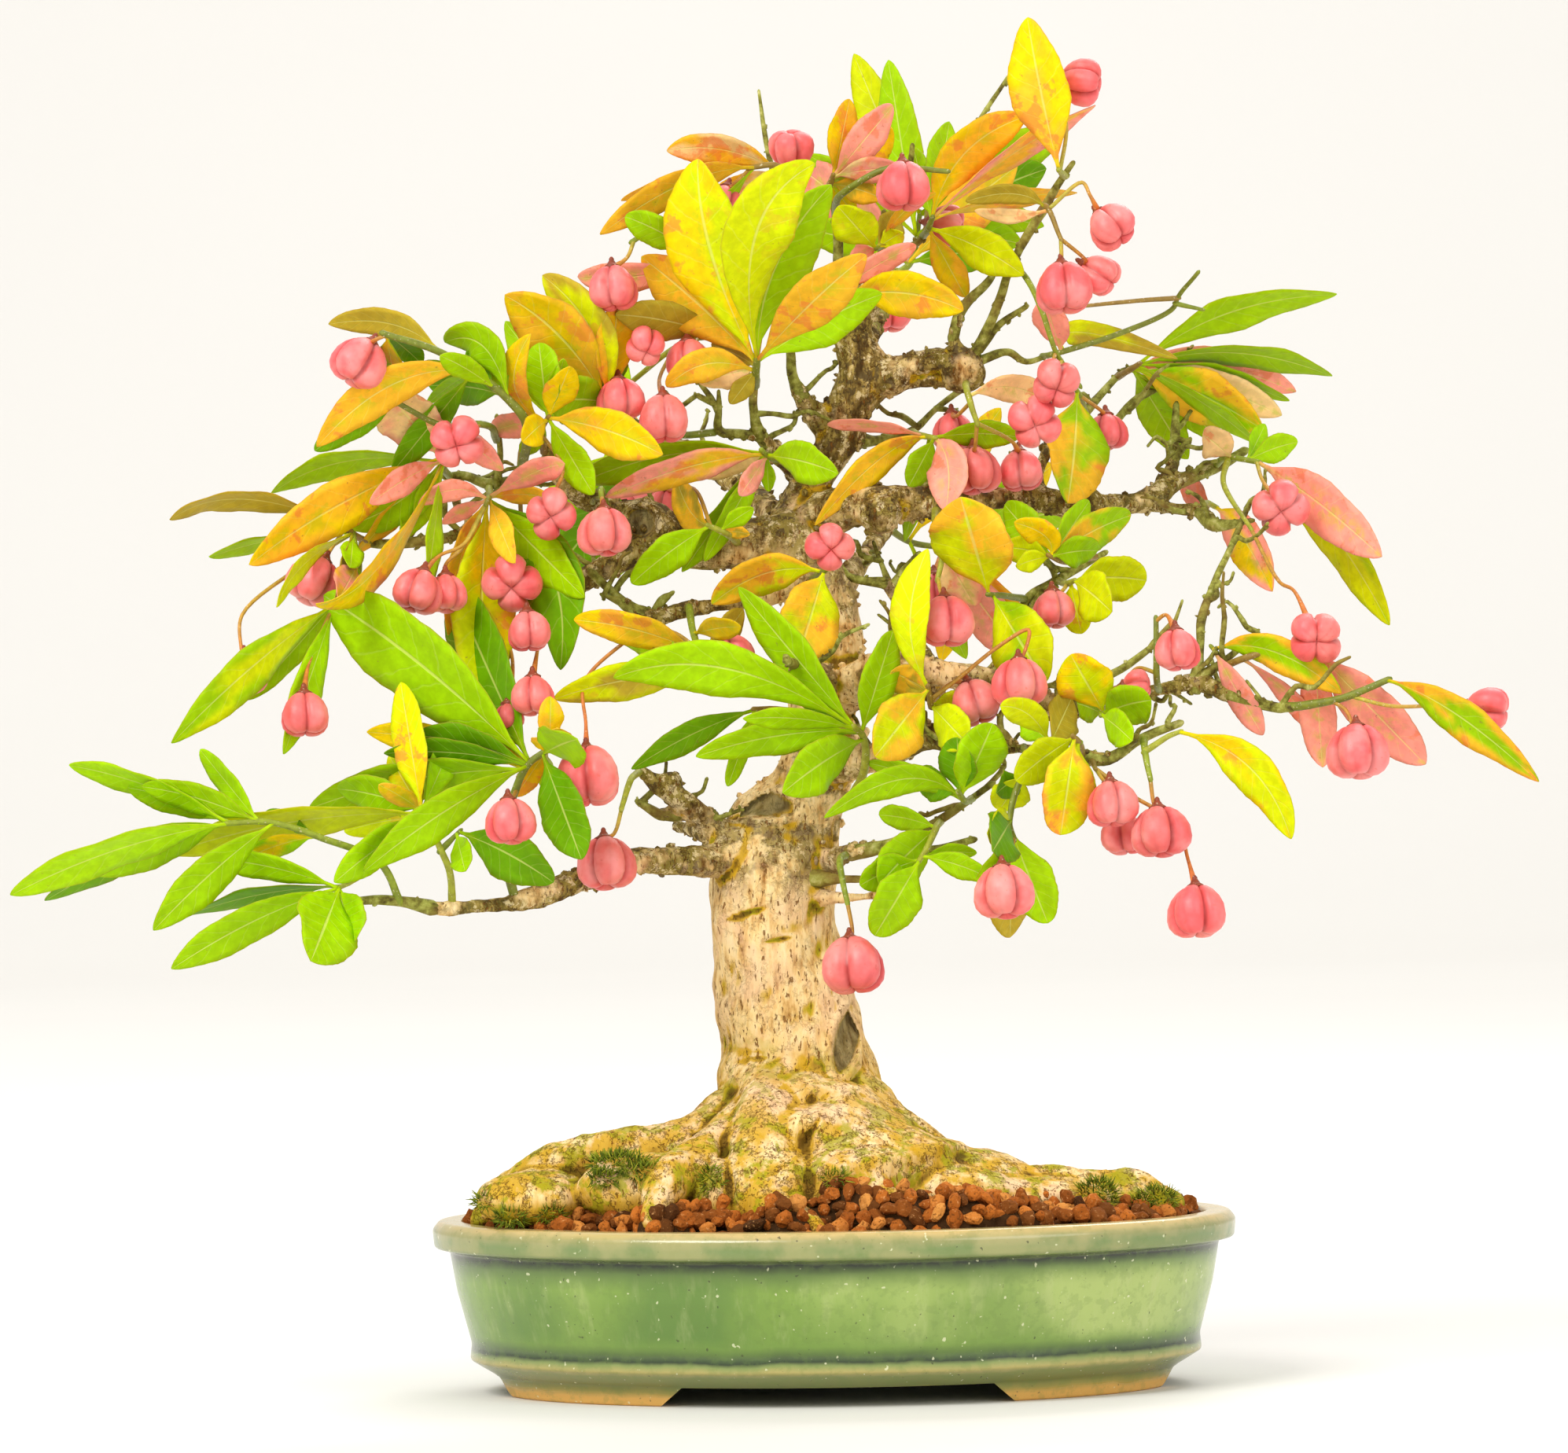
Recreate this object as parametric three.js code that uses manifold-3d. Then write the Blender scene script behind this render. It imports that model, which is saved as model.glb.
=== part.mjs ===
// Spindle tree bonsai: an old spindle tree with leaves turning colour and four-lobed fruits,
// rooted in granular soil in an oval glazed pot. Millimetres, +Z up, standing on its feet at z = 0.
import * as THREE from 'three';
import { mergeVertices } from 'three/addons/utils/BufferGeometryUtils.js';
import Module from 'manifold-3d';

const wasm = await Module();
wasm.setup();

// Driving dimensions
const POT_HALF_LENGTH = 95;
const POT_HALF_DEPTH = 70;
const POT_HEIGHT = 41;
const POT_SIDES = 28;
const FOOT_HEIGHT = 4.5;
const FLOOR_TOP = 9.5;
const DRAIN_RADIUS = 5;
const DRAINS = [-38, 0, 38];
const LONG_ARCH = 78;
const END_ARCH = 24;
const ARCH_SLANT = 3;
const SOIL_RISE = 10;
const SOIL_HALF_LENGTH = 86.8;
const GRAIN = 1.1;
const GAP = 0.32;
const RIB = 1.15;
const STEM_SIDES = 4;
const FRUIT_SIDES = 8;
const STALK_SIDES = 3;

// How far a surface may move when spare triangles are taken out
const POT_DETAIL = 0.03;
const SOIL_DETAIL = 0.1;
const WOOD_DETAIL = 0.25;
const SPRAY_DETAIL = 0.2;

// The tree is set out as it is seen from the front: across and down in a front view that is
// drawn at VIEW.scale units to the millimetre, and by depth in millimetres behind the trunk.
const VIEW = {
  middle: [997, 924],
  scale: 5.374,
  distance: 1850,
  height: 156.5,
  side: -10,
  turn: THREE.MathUtils.degToRad(0.9),
};

// Leaf tints by letter: green, dark green, lime, yellow, orange, pink, straw, bronze
const TINTS = {
  g: 0x9fc404,
  d: 0x6f9603,
  l: 0xcfdc04,
  y: 0xecc806,
  o: 0xe89a1a,
  p: 0xf0746e,
  s: 0xf4cc92,
  b: 0xa3842a,
};
const COLOURS = { glaze: 0x7f9c4c, soil: 0xa8622c, bark: 0xe6c88c, fruit: 0xee6270 };

// Seeded random numbers
function draws(seed) {
  let state = seed;
  return () => {
    state = (state + 0x6d2b79f5) | 0;
    let mixed = Math.imul(state ^ (state >>> 15), 1 | state);
    mixed = (mixed + Math.imul(mixed ^ (mixed >>> 7), 61 | mixed)) ^ mixed;
    return ((mixed ^ (mixed >>> 14)) >>> 0) / 4294967296;
  };
}

// Two tiers of boughs sweep back: [across, down] of the middle, its reach, millimetres back
const SWEEPS = [
  { middle: [480, 620], reach: [330, 230], back: 46 },
  { middle: [1600, 520], reach: [300, 200], back: 46 },
];

function sweptBack(across, down) {
  let back = 0;
  for (const { middle, reach, back: most } of SWEEPS) {
    const sideways = (across - middle[0]) / reach[0];
    const upright = (down - middle[1]) / reach[1];
    back += most * Math.exp(-(sideways ** 2) - upright ** 2);
  }
  return back;
}

// The point at a place in the front view, a given depth behind the trunk
function at(across, down, unswept) {
  const depth = unswept + sweptBack(across, down);
  const right = across - VIEW.middle[0];
  const below = down - VIEW.middle[1];
  const level = right * Math.cos(VIEW.turn) - below * Math.sin(VIEW.turn);
  const drop = right * Math.sin(VIEW.turn) + below * Math.cos(VIEW.turn);
  const spread = (VIEW.distance + depth) / VIEW.distance / VIEW.scale;
  return new THREE.Vector3(VIEW.side + level * spread, depth, VIEW.height - drop * spread);
}

// A closed solid from points and faces; faces of four corners are split in two
function solid(points, faces) {
  const vertProperties = new Float32Array(points.length * 3);
  points.forEach((p, i) => vertProperties.set([p.x, p.y, p.z], i * 3));
  const corners = [];
  for (const f of faces) {
    for (let i = 2; i < f.length; i += 1) corners.push(f[0], f[i - 1], f[i]);
  }
  const mesh = new wasm.Mesh({ numProp: 3, vertProperties, triVerts: new Uint32Array(corners) });
  return new wasm.Manifold(mesh);
}

// A closed solid from a three.js geometry
function fromGeometry(geometry) {
  geometry.deleteAttribute('normal');
  geometry.deleteAttribute('uv');
  const merged = mergeVertices(geometry, 1e-4);
  const mesh = new wasm.Mesh({
    numProp: 3,
    vertProperties: new Float32Array(merged.attributes.position.array),
    triVerts: new Uint32Array(merged.index.array),
  });
  return new wasm.Manifold(mesh);
}

// The one body that a join leaves, without the scraps and without sealed bubbles
function oneBody(joined, detail) {
  const bodies = joined.asOriginal().simplify(detail).decompose();
  bodies.sort((a, b) => b.volume() - a.volume());
  return bodies[0];
}

const group = new THREE.Group();

function addNode(name, body, colour, roughness) {
  const mesh = body.getMesh();
  const geometry = new THREE.BufferGeometry();
  const position = new THREE.BufferAttribute(new Float32Array(mesh.vertProperties), 3);
  geometry.setAttribute('position', position);
  geometry.setIndex(new THREE.BufferAttribute(new Uint32Array(mesh.triVerts), 1));
  geometry.computeVertexNormals();
  const material = new THREE.MeshStandardMaterial({ color: colour, roughness, metalness: 0 });
  const node = new THREE.Mesh(geometry, material);
  node.name = name;
  group.add(node);
}

// A grown limb: a closed tube along smooth points, each with its own radius.
// flute is the depth of its lengthwise furrows as a share of the radius.
function limb(points, radii, sides, perSpan, flute = 0, extra = 0) {
  const curve = new THREE.CatmullRomCurve3(points, false, 'centripetal');
  const spans = points.length - 1;
  const count = spans * perSpan;
  const ring = [];
  const side = new THREE.Vector3(0, -1, 0);
  for (let i = 0; i <= count; i += 1) {
    const along = i / count;
    const centre = curve.getPoint(along);
    const ahead = curve.getTangent(along);
    side.addScaledVector(ahead, -side.dot(ahead));
    if (side.lengthSq() < 1e-6) side.set(1, 0, 0).addScaledVector(ahead, -ahead.x);
    side.normalize();
    const over = new THREE.Vector3().crossVectors(ahead, side);
    const span = Math.min(Math.floor(along * spans), spans - 1);
    const within = along * spans - span;
    const ease = within * within * (3 - 2 * within);
    const radius = radii[span] * (1 - ease) + radii[span + 1] * ease + extra;
    for (let k = 0; k < sides; k += 1) {
      const angle = (k / sides) * Math.PI * 2;
      const furrow = 1 + flute * Math.sin(3 * angle + i * 0.7) * Math.cos(2 * angle - i * 0.45);
      const reach = radius * furrow;
      ring.push(centre.clone()
        .addScaledVector(side, Math.cos(angle) * reach)
        .addScaledVector(over, Math.sin(angle) * reach));
    }
  }
  const faces = [];
  for (let i = 0; i < count; i += 1) {
    for (let k = 0; k < sides; k += 1) {
      const next = (k + 1) % sides;
      const low = i * sides;
      faces.push([low + k, low + next, low + sides + next, low + sides + k]);
    }
  }
  faces.push([...Array(sides).keys()].reverse());
  faces.push([...Array(sides).keys()].map((k) => count * sides + k));
  return solid(ring, faces);
}

// A limb from rows of [across, down, depth, width], the width as it is seen
function seenLimb(rows, sides, perSpan, flute = 0, extra = 0) {
  const points = rows.map(([across, down, depth]) => at(across, down, depth));
  const radii = rows.map(([, , , width]) => width / 2 / VIEW.scale);
  return limb(points, radii, sides, perSpan, flute, extra);
}

// An ellipsoid lump, knot or hollow
function lump(centre, size, turn) {
  const geometry = new THREE.SphereGeometry(1, 6, 4);
  geometry.applyMatrix4(new THREE.Matrix4().compose(
    centre,
    new THREE.Quaternion().setFromEuler(new THREE.Euler(...turn)),
    new THREE.Vector3(...size),
  ));
  return fromGeometry(geometry);
}

// Pot

const POT_OUTSIDE = [
  [72.5, FOOT_HEIGHT], [71.5, 0], [79, 0], [80.4, FOOT_HEIGHT], [86.5, 8.2], [86.1, 12],
  [89.4, 24.5], [91, 33.9], [94.6, 34.8], [95, 39], [93.4, POT_HEIGHT],
];
const POT_INSIDE = [[88, POT_HEIGHT], [85.5, 30], [79, FLOOR_TOP]];

// A turned profile of [half length, height], drawn out to the pot's oval
function oval(profile, sides) {
  const turned = new THREE.LatheGeometry(profile.map((p) => new THREE.Vector2(...p)), sides);
  const inset = POT_HALF_LENGTH - POT_HALF_DEPTH;
  const { position } = turned.attributes;
  for (let i = 0; i < position.count; i += 1) {
    const across = position.getX(i);
    const away = position.getZ(i);
    const reach = Math.hypot(across, away);
    const depth = reach > 1e-6 ? (away / reach) * Math.max(reach - inset, reach * 0.5) : 0;
    position.setXYZ(i, across, -depth, position.getY(i));
  }
  return fromGeometry(turned);
}

function potBody() {
  const profile = [[0, FOOT_HEIGHT], ...POT_OUTSIDE, ...POT_INSIDE, [0, FLOOR_TOP]];
  let pot = oval(profile, POT_SIDES);
  // The foot ring is cut into four feet with slanted ends
  for (let side = 0; side < 4; side += 1) {
    const width = side % 2 ? END_ARCH : LONG_ARCH;
    const arch = new THREE.Shape([
      new THREE.Vector2(-width / 2 - ARCH_SLANT, -1),
      new THREE.Vector2(width / 2 + ARCH_SLANT, -1),
      new THREE.Vector2(width / 2 - ARCH_SLANT, FOOT_HEIGHT),
      new THREE.Vector2(-width / 2 + ARCH_SLANT, FOOT_HEIGHT),
    ]);
    const cutter = new THREE.ExtrudeGeometry(arch, { depth: POT_HALF_LENGTH, bevelEnabled: false });
    cutter.rotateX(Math.PI / 2);
    cutter.rotateZ((side * Math.PI) / 2);
    pot = pot.subtract(fromGeometry(cutter));
  }
  for (const across of DRAINS) {
    const drain = new THREE.CylinderGeometry(DRAIN_RADIUS, DRAIN_RADIUS, 4 * FOOT_HEIGHT, 9);
    drain.rotateX(Math.PI / 2);
    drain.translate(across, 0, FOOT_HEIGHT);
    pot = pot.subtract(fromGeometry(drain));
  }
  return oneBody(pot, POT_DETAIL);
}

// Wood: rows of [across, down, depth, width seen]

const TRUNK = [
  [1008, 1505, 2, 190], [1016, 1440, 2, 200], [1022, 1395, 1, 202], [1013, 1340, 0, 186],
  [1000, 1290, 0, 178], [992, 1240, 0, 168], [984, 1180, 0, 160], [984, 1120, 0, 162],
  [998, 1060, 2, 150], [1030, 1000, 0, 100], [1043, 940, 0, 88], [1045, 880, 0, 88],
  [1048, 820, 0, 104], [1044, 770, 0, 92], [1028, 720, 0, 84], [1012, 680, 0, 82],
  [1020, 640, 2, 58], [1045, 595, 0, 46], [1066, 560, 0, 52], [1082, 515, 0, 60],
  [1100, 478, 0, 72], [1090, 445, 0, 54], [1084, 415, 0, 46], [1098, 385, 0, 46],
  [1108, 345, 0, 36],
];

// Surface roots, which run out of the trunk's foot and down into the soil
const ROOTS = [
  [[965, 1410, -6, 100], [880, 1452, -16, 66], [800, 1462, -20, 58], [715, 1478, -22, 54],
    [655, 1512, -20, 50], [615, 1550, -16, 30]],
  [[960, 1430, -14, 90], [900, 1470, -30, 60], [850, 1505, -44, 56], [830, 1550, -52, 30]],
  [[985, 1400, -14, 100], [968, 1470, -34, 86], [972, 1530, -44, 66], [1030, 1560, -54, 40]],
  [[1075, 1400, -6, 100], [1150, 1446, -12, 66], [1235, 1502, -16, 52], [1330, 1505, -16, 44],
    [1395, 1514, -14, 56], [1450, 1516, -12, 54], [1490, 1560, -8, 26]],
  [[1062, 1420, -18, 90], [1085, 1490, -36, 74], [1130, 1530, -46, 40], [1200, 1532, -48, 30],
    [1275, 1540, -46, 20]],
  [[1060, 1440, 14, 90], [1130, 1475, 34, 56], [1210, 1495, 44, 40], [1260, 1530, 48, 22]],
  [[980, 1440, 18, 96], [930, 1475, 40, 60], [870, 1500, 48, 36], [838, 1526, 44, 22]],
  [[1010, 1440, 20, 90], [1015, 1485, 46, 50], [1000, 1525, 58, 24]],
];

// The foot of the trunk widens like a skirt under the roots: rows as for the trunk
const FLARE = [
  [1005, 1330, 0, 172], [1008, 1390, -2, 198], [1012, 1435, -5, 244], [1022, 1478, -8, 316],
  [1034, 1525, -10, 420],
];

// Swollen wood between the roots: place, half sizes
const SWELLINGS = [
  [[850, 1508, -14], [32, 17, 12]],
  [[740, 1518, -16], [22, 12, 9.5]],
  [[1185, 1515, -12], [27, 19, 11]],
  [[1400, 1530, -12], [20, 10, 6]],
];

// Boughs, each from inside what it grows out of
const BOUGHS = [
  [[990, 1085, -2, 118], [935, 1082, -6, 66], [905, 1095, -10, 44], [840, 1094, -18, 33],
    [800, 1097, -22, 33], [740, 1118, -30, 33], [690, 1138, -36, 32], [640, 1150, -42, 22],
    [600, 1153, -46, 18], [550, 1155, -50, 20], [500, 1145, -54, 13], [452, 1146, -58, 11]],
  [[940, 1075, -6, 56], [905, 1050, -6, 34], [870, 1020, -10, 26], [840, 1000, -12, 24],
    [810, 975, -16, 14]],
  [[880, 1030, -8, 22], [862, 1035, -8, 20], [840, 1036, -10, 14], [812, 1020, -12, 9]],
  [[1010, 690, -2, 84], [960, 690, -6, 66], [880, 702, -14, 44], [830, 665, -20, 58],
    [780, 650, -24, 30], [745, 632, -30, 32], [712, 604, -36, 24], [690, 560, -42, 16]],
  [[835, 690, -20, 40], [790, 712, -24, 34], [742, 738, -28, 30]],
  [[1030, 735, -4, 40], [975, 755, -10, 36], [920, 768, -16, 20], [870, 776, -22, 20],
    [828, 785, -26, 22], [800, 772, -28, 16], [775, 750, -30, 12], [752, 728, -32, 12]],
  [[830, 780, -26, 10], [842, 764, -26, 12], [855, 754, -27, 6]],
  [[800, 772, -28, 12], [785, 764, -30, 10], [765, 756, -32, 5]],
  [[1025, 665, 0, 66], [1080, 645, -4, 56], [1130, 640, -6, 52], [1185, 640, -8, 42],
    [1250, 636, -6, 26], [1310, 632, -4, 38], [1372, 645, -4, 34], [1430, 642, -4, 26],
    [1470, 632, -4, 30], [1500, 612, -4, 20], [1545, 595, -4, 15], [1582, 574, -4, 12]],
  [[1462, 636, -4, 24], [1490, 647, -8, 17], [1526, 650, -12, 20], [1545, 668, -16, 17],
    [1592, 662, -20, 7]],
  [[1475, 625, -4, 20], [1492, 590, -2, 16], [1494, 555, 0, 13], [1496, 515, 2, 9]],
  [[1490, 592, -2, 13], [1502, 572, -4, 10], [1512, 560, -5, 8]],
  [[1318, 640, -4, 28], [1322, 600, -1, 14], [1340, 560, 3, 14], [1375, 530, 8, 14],
    [1410, 490, 12, 10], [1428, 472, 14, 9]],
  [[1378, 640, -4, 24], [1392, 600, 0, 12], [1404, 560, 4, 11], [1440, 512, 6, 11],
    [1480, 490, 8, 8]],
  [[1060, 880, -2, 70], [1110, 862, -10, 60], [1150, 848, -16, 46], [1205, 858, -18, 34],
    [1260, 868, -18, 36], [1310, 888, -20, 26], [1360, 898, -22, 24], [1420, 888, -24, 20],
    [1480, 876, -26, 17], [1525, 868, -28, 24], [1565, 885, -32, 19], [1625, 900, -38, 13],
    [1642, 900, -40, 12]],
  [[1522, 870, -28, 22], [1526, 830, -28, 10], [1528, 788, -26, 12], [1545, 740, -24, 9],
    [1570, 685, -22, 8], [1588, 642, -20, 8]],
  [[1520, 866, -28, 18], [1555, 842, -30, 10], [1582, 820, -32, 7], [1600, 802, -34, 5]],
  [[1360, 898, -22, 18], [1375, 880, -28, 12], [1435, 845, -32, 10], [1478, 812, -34, 7]],
  [[1240, 870, -16, 22], [1262, 852, -12, 14], [1274, 832, -10, 10]],
  [[1175, 870, -14, 40], [1192, 885, -12, 22], [1180, 840, -8, 18], [1150, 800, -4, 17],
    [1140, 762, -2, 15], [1132, 745, -2, 17], [1095, 738, -2, 11], [1050, 724, -2, 12]],
  [[1134, 748, -2, 14], [1150, 725, -4, 10], [1168, 705, -6, 8]],
  [[1132, 745, -2, 10], [1120, 715, 0, 7], [1111, 690, 1, 5]],
  [[1055, 965, -4, 70], [1110, 965, -14, 40], [1180, 935, -24, 38], [1230, 955, -30, 16],
    [1300, 952, -36, 13], [1370, 962, -42, 22], [1410, 965, -44, 16], [1450, 940, -46, 12],
    [1500, 920, -50, 10]],
  [[1290, 952, -36, 11], [1275, 935, -38, 16], [1265, 925, -40, 9]],
  [[1040, 1105, -4, 44], [1080, 1085, -14, 22], [1140, 1072, -20, 16], [1200, 1040, -24, 11],
    [1232, 1018, -26, 9], [1262, 997, -28, 8]],
  [[1130, 1076, -20, 14], [1185, 1080, -24, 9], [1238, 1068, -28, 9]],
  [[1020, 1118, -8, 30], [1075, 1118, -16, 10], [1115, 1118, -20, 9]],
  [[1020, 1140, -8, 30], [1075, 1142, -16, 15], [1125, 1138, -22, 15]],
  [[1100, 480, 0, 52], [1150, 466, -4, 30], [1200, 460, -6, 34], [1225, 468, -8, 44],
    [1212, 430, -8, 15], [1222, 395, -8, 14], [1255, 360, -10, 11], [1266, 345, -10, 8]],
  [[1110, 500, 0, 26], [1160, 486, -4, 18], [1215, 478, -6, 24], [1240, 448, -10, 14],
    [1270, 385, -14, 12], [1285, 340, -16, 10], [1312, 290, -18, 12], [1330, 262, -18, 12],
    [1345, 235, -20, 10], [1364, 208, -22, 7]],
  [[1245, 445, -10, 12], [1272, 412, -12, 9], [1305, 390, -14, 7]],
  [[1228, 470, -8, 20], [1255, 455, -10, 12], [1282, 448, -12, 10], [1305, 460, -14, 8],
    [1338, 450, -16, 6]],
  [[1085, 560, 0, 26], [1115, 560, 3, 14], [1160, 548, 6, 10], [1190, 520, 8, 8],
    [1228, 492, 4, 8]],
  [[1050, 540, 0, 40], [1020, 505, -4, 22], [1008, 480, -6, 14], [1004, 440, -8, 12],
    [985, 400, -10, 9]],
  [[1020, 600, 0, 34], [990, 580, -4, 22], [968, 555, -8, 18], [958, 520, -12, 11],
    [960, 478, -16, 10]],
  [[965, 555, -8, 14], [945, 552, -10, 13], [915, 548, -13, 12], [914, 522, -14, 9],
    [914, 498, -14, 5]],
  [[1092, 420, 0, 30], [1062, 380, 2, 16], [1066, 320, 2, 13], [1062, 262, 2, 12],
    [1058, 240, 2, 9]],
  [[1104, 375, 0, 26], [1120, 330, -4, 15], [1145, 270, -8, 11], [1156, 228, -10, 10],
    [1160, 186, -12, 7]],
  [[1122, 325, -4, 12], [1122, 295, -6, 9], [1124, 270, -8, 7]],
  [[1108, 350, 0, 22], [1140, 325, 4, 12], [1175, 300, 8, 9], [1182, 262, 10, 8],
    [1225, 185, 14, 6], [1282, 98, 18, 6]],
  [[700, 590, -38, 24], [660, 612, -40, 16], [620, 615, -42, 14], [590, 605, -44, 12],
    [566, 606, -46, 10]],
  [[585, 608, -44, 14], [580, 640, -46, 14], [598, 664, -46, 12], [570, 684, -46, 14],
    [500, 692, -50, 14], [462, 691, -52, 10]],
  [[632, 618, -42, 12], [636, 580, -44, 8], [632, 530, -46, 7]],
  [[1310, 888, -20, 26], [1300, 830, -8, 14], [1304, 765, -6, 12], [1345, 738, -8, 12],
    [1405, 703, -10, 8]],
  [[990, 410, -9, 11], [992, 340, -5, 9], [1002, 275, -3, 9], [985, 225, 2, 8], [976, 190, 4, 7],
    [965, 116, 6, 4]],
  // Boughs on the far side
  [[1046, 800, 4, 70], [1070, 745, 22, 34], [1105, 700, 42, 24], [1135, 668, 60, 14]],
  [[1012, 690, 6, 60], [970, 640, 20, 34], [915, 600, 40, 24], [862, 562, 60, 14]],
  [[1090, 470, 6, 44], [1106, 425, 20, 24], [1128, 380, 38, 16], [1140, 345, 52, 11]],
  [[1035, 1000, 6, 60], [1070, 960, 24, 26], [1100, 930, 40, 16]],
  [[955, 1085, 6, 60], [900, 1060, 24, 26], [860, 1050, 38, 16]],
  [[1045, 870, -8, 50], [1020, 850, -30, 20], [1000, 840, -52, 11]],
];

// Short spurs and pruned stubs: [across, down, depth, radius]
const KNOTS = [
  [852, 995, -12, 3], [1130, 482, -4, 5.2], [1380, 640, -6, 4.6], [1120, 655, -10, 5.4],
  [1150, 850, -20, 5], [1225, 475, -8, 5.6],
];

// Old cuts that show their wood: a rolled rim round a hollow face
const SCARS = [
  { at: [952, 1020, -15], wide: 7.6, high: 3.6, turn: -0.12, deep: 2 },
  { at: [1076, 1326, -16.5], wide: 2.3, high: 7.2, turn: -0.22, deep: 2.6 },
  { at: [816, 664, -26], wide: 2.8, high: 3.6, turn: 0, deep: 2 },
];

// Clefts at the foot of the trunk: [across, down, depth], half width, half height, turn
const CLEFTS = [
  [[1026, 1478, -27], 2.2, 9, 0.06],
  [[926, 1490, -27], 2, 8, 0.1],
];

function rimmedScar({ at: place, wide, high, turn }) {
  const rim = new THREE.TorusGeometry(1, 0.3, 4, 8);
  rim.scale(wide, high, 4);
  rim.rotateX(Math.PI / 2);
  rim.rotateY(turn);
  const centre = at(...place);
  rim.translate(centre.x, centre.y, centre.z);
  return fromGeometry(rim);
}

function trunkAndRoots(extra = 0) {
  const parts = [seenLimb(TRUNK, 9, 1, 0.06, extra)];
  parts.push(seenLimb(FLARE, 7, 1, 0, extra));
  for (const root of ROOTS) parts.push(seenLimb(root, 5, 1, 0.05, extra));
  for (const [place, size] of SWELLINGS) {
    parts.push(lump(at(...place), size.map((half) => half + extra), [0, 0, 0]));
  }
  return parts;
}

// A thick bough has more sides than a twig
function bough(rows) {
  const widest = Math.max(...rows.slice(1).map(([, , , width]) => width));
  const sides = THREE.MathUtils.clamp(Math.round(2.6 + widest / 15), 4, 6);
  return seenLimb(rows, sides, 1, 0.04);
}

function woodBody(limbs) {
  let wood = wasm.Manifold.union(limbs);
  for (const scar of SCARS) {
    wood = wood.add(rimmedScar(scar));
    const hollow = at(scar.at[0], scar.at[1], scar.at[2] - 1.5);
    const size = [scar.wide * 0.8, scar.deep, scar.high * 0.8];
    wood = wood.subtract(lump(hollow, size, [0, scar.turn, 0]));
  }
  for (const [place, wide, high, turn] of CLEFTS) {
    wood = wood.subtract(lump(at(...place), [wide, 8, high], [0, turn, 0]));
  }
  return oneBody(wood, WOOD_DETAIL);
}

// Soil: a mound of grains that fills the pot to just under the rim

function soilHeight(across, away) {
  const reach = Math.hypot(across / (POT_HALF_LENGTH - 8), away / (POT_HALF_DEPTH - 8));
  const mound = SOIL_RISE * Math.max(0, 1 - reach ** 2.2);
  return POT_HEIGHT - 2.2 + mound;
}

function soilBody(woodInSoil) {
  const random = draws(11);
  const rings = 8;
  const points = [];
  const inset = POT_HALF_LENGTH - POT_HALF_DEPTH;
  const edge = (half, share, angle, height) => new THREE.Vector3(
    Math.cos(angle) * half * share,
    Math.sin(angle) * (half - inset) * share,
    height,
  );
  for (let r = 1; r <= rings; r += 1) {
    for (let k = 0; k < POT_SIDES; k += 1) {
      const angle = ((k + ((r + rings) % 2) * 0.5) / POT_SIDES) * Math.PI * 2;
      const p = edge(SOIL_HALF_LENGTH, r / rings, angle, 0);
      p.z = soilHeight(p.x, p.y) + (random() - 0.5) * 2 * GRAIN;
      points.push(p);
    }
  }
  // Below the surface the body follows the inside of the pot
  for (const [half, height] of [[79.6, 14], [78.2, FLOOR_TOP + GAP]]) {
    for (let k = 0; k < POT_SIDES; k += 1) {
      points.push(edge(half, 1, (k / POT_SIDES) * Math.PI * 2, height));
    }
  }
  const layers = rings + 2;
  const faces = [];
  for (let r = 0; r + 1 < layers; r += 1) {
    const turned = r + 1 < rings ? (r + rings) % 2 : 0;
    for (let k = 0; k < POT_SIDES; k += 1) {
      const next = (k + 1) % POT_SIDES;
      const inner = r * POT_SIDES;
      const outer = inner + POT_SIDES;
      if (turned === 0) {
        faces.push([inner + k, outer + k, outer + next], [inner + k, outer + next, inner + next]);
      } else {
        faces.push([inner + k, outer + k, inner + next], [outer + k, outer + next, inner + next]);
      }
    }
  }
  points.push(new THREE.Vector3(0, 0, soilHeight(0, 0)));
  points.push(new THREE.Vector3(0, 0, FLOOR_TOP + GAP));
  const last = (layers - 1) * POT_SIDES;
  for (let k = 0; k < POT_SIDES; k += 1) {
    const next = (k + 1) % POT_SIDES;
    faces.push([k, next, points.length - 2]);
    faces.push([last + next, last + k, points.length - 1]);
  }
  return oneBody(solid(points, faces).subtract(woodInSoil), SOIL_DETAIL);
}

// What stands already, so that later stems, leaves and fruits can be bent clear of it
const standing = [];

function boxesMeet(a, b) {
  for (let i = 0; i < 3; i += 1) {
    if (a.min[i] - GAP > b.max[i] || b.min[i] - GAP > a.max[i]) return false;
  }
  return true;
}

function stand(owner, body) {
  standing.push({ owner, body, box: body.boundingBox() });
}

function isClear(owner, body, among = standing) {
  const box = body.boundingBox();
  return among.every((other) => other.owner === owner
    || !boxesMeet(box, other.box)
    || body.minGap(other.body, GAP * 2) >= GAP);
}

const SHIFT_COST = 1.2;
const FREE_STEPS = 1;
const DEPTH_SHIFTS = [0, -3, 3, -6, 6, -9, 9, -13, 13, -17, 17, -22, 22, -28, 28, -34, 34];

// How much a shape would cut into the leaves and fruits of its own spray
function tangle(owner, body) {
  const box = body.boundingBox();
  let seams = 0;
  for (const other of standing) {
    if (other.owner === owner && boxesMeet(box, other.box)) {
      seams += body.intersect(other.body).numTri();
    }
  }
  return seams;
}

// Tries a shape with growing shifts in depth and keeps the one that stands clear of other sprays
// and crosses its own the least
function bentClear(owner, make) {
  let best = null;
  let least = Infinity;
  for (const shift of DEPTH_SHIFTS) {
    const body = make(shift);
    if (isClear(owner, body)) {
      const cost = tangle(owner, body) + Math.abs(shift) * SHIFT_COST;
      if (cost < least) {
        least = cost;
        best = body;
      }
    }
  }
  return best;
}

// Young stems and stalks, from rows of [across, down, depth]

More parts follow.
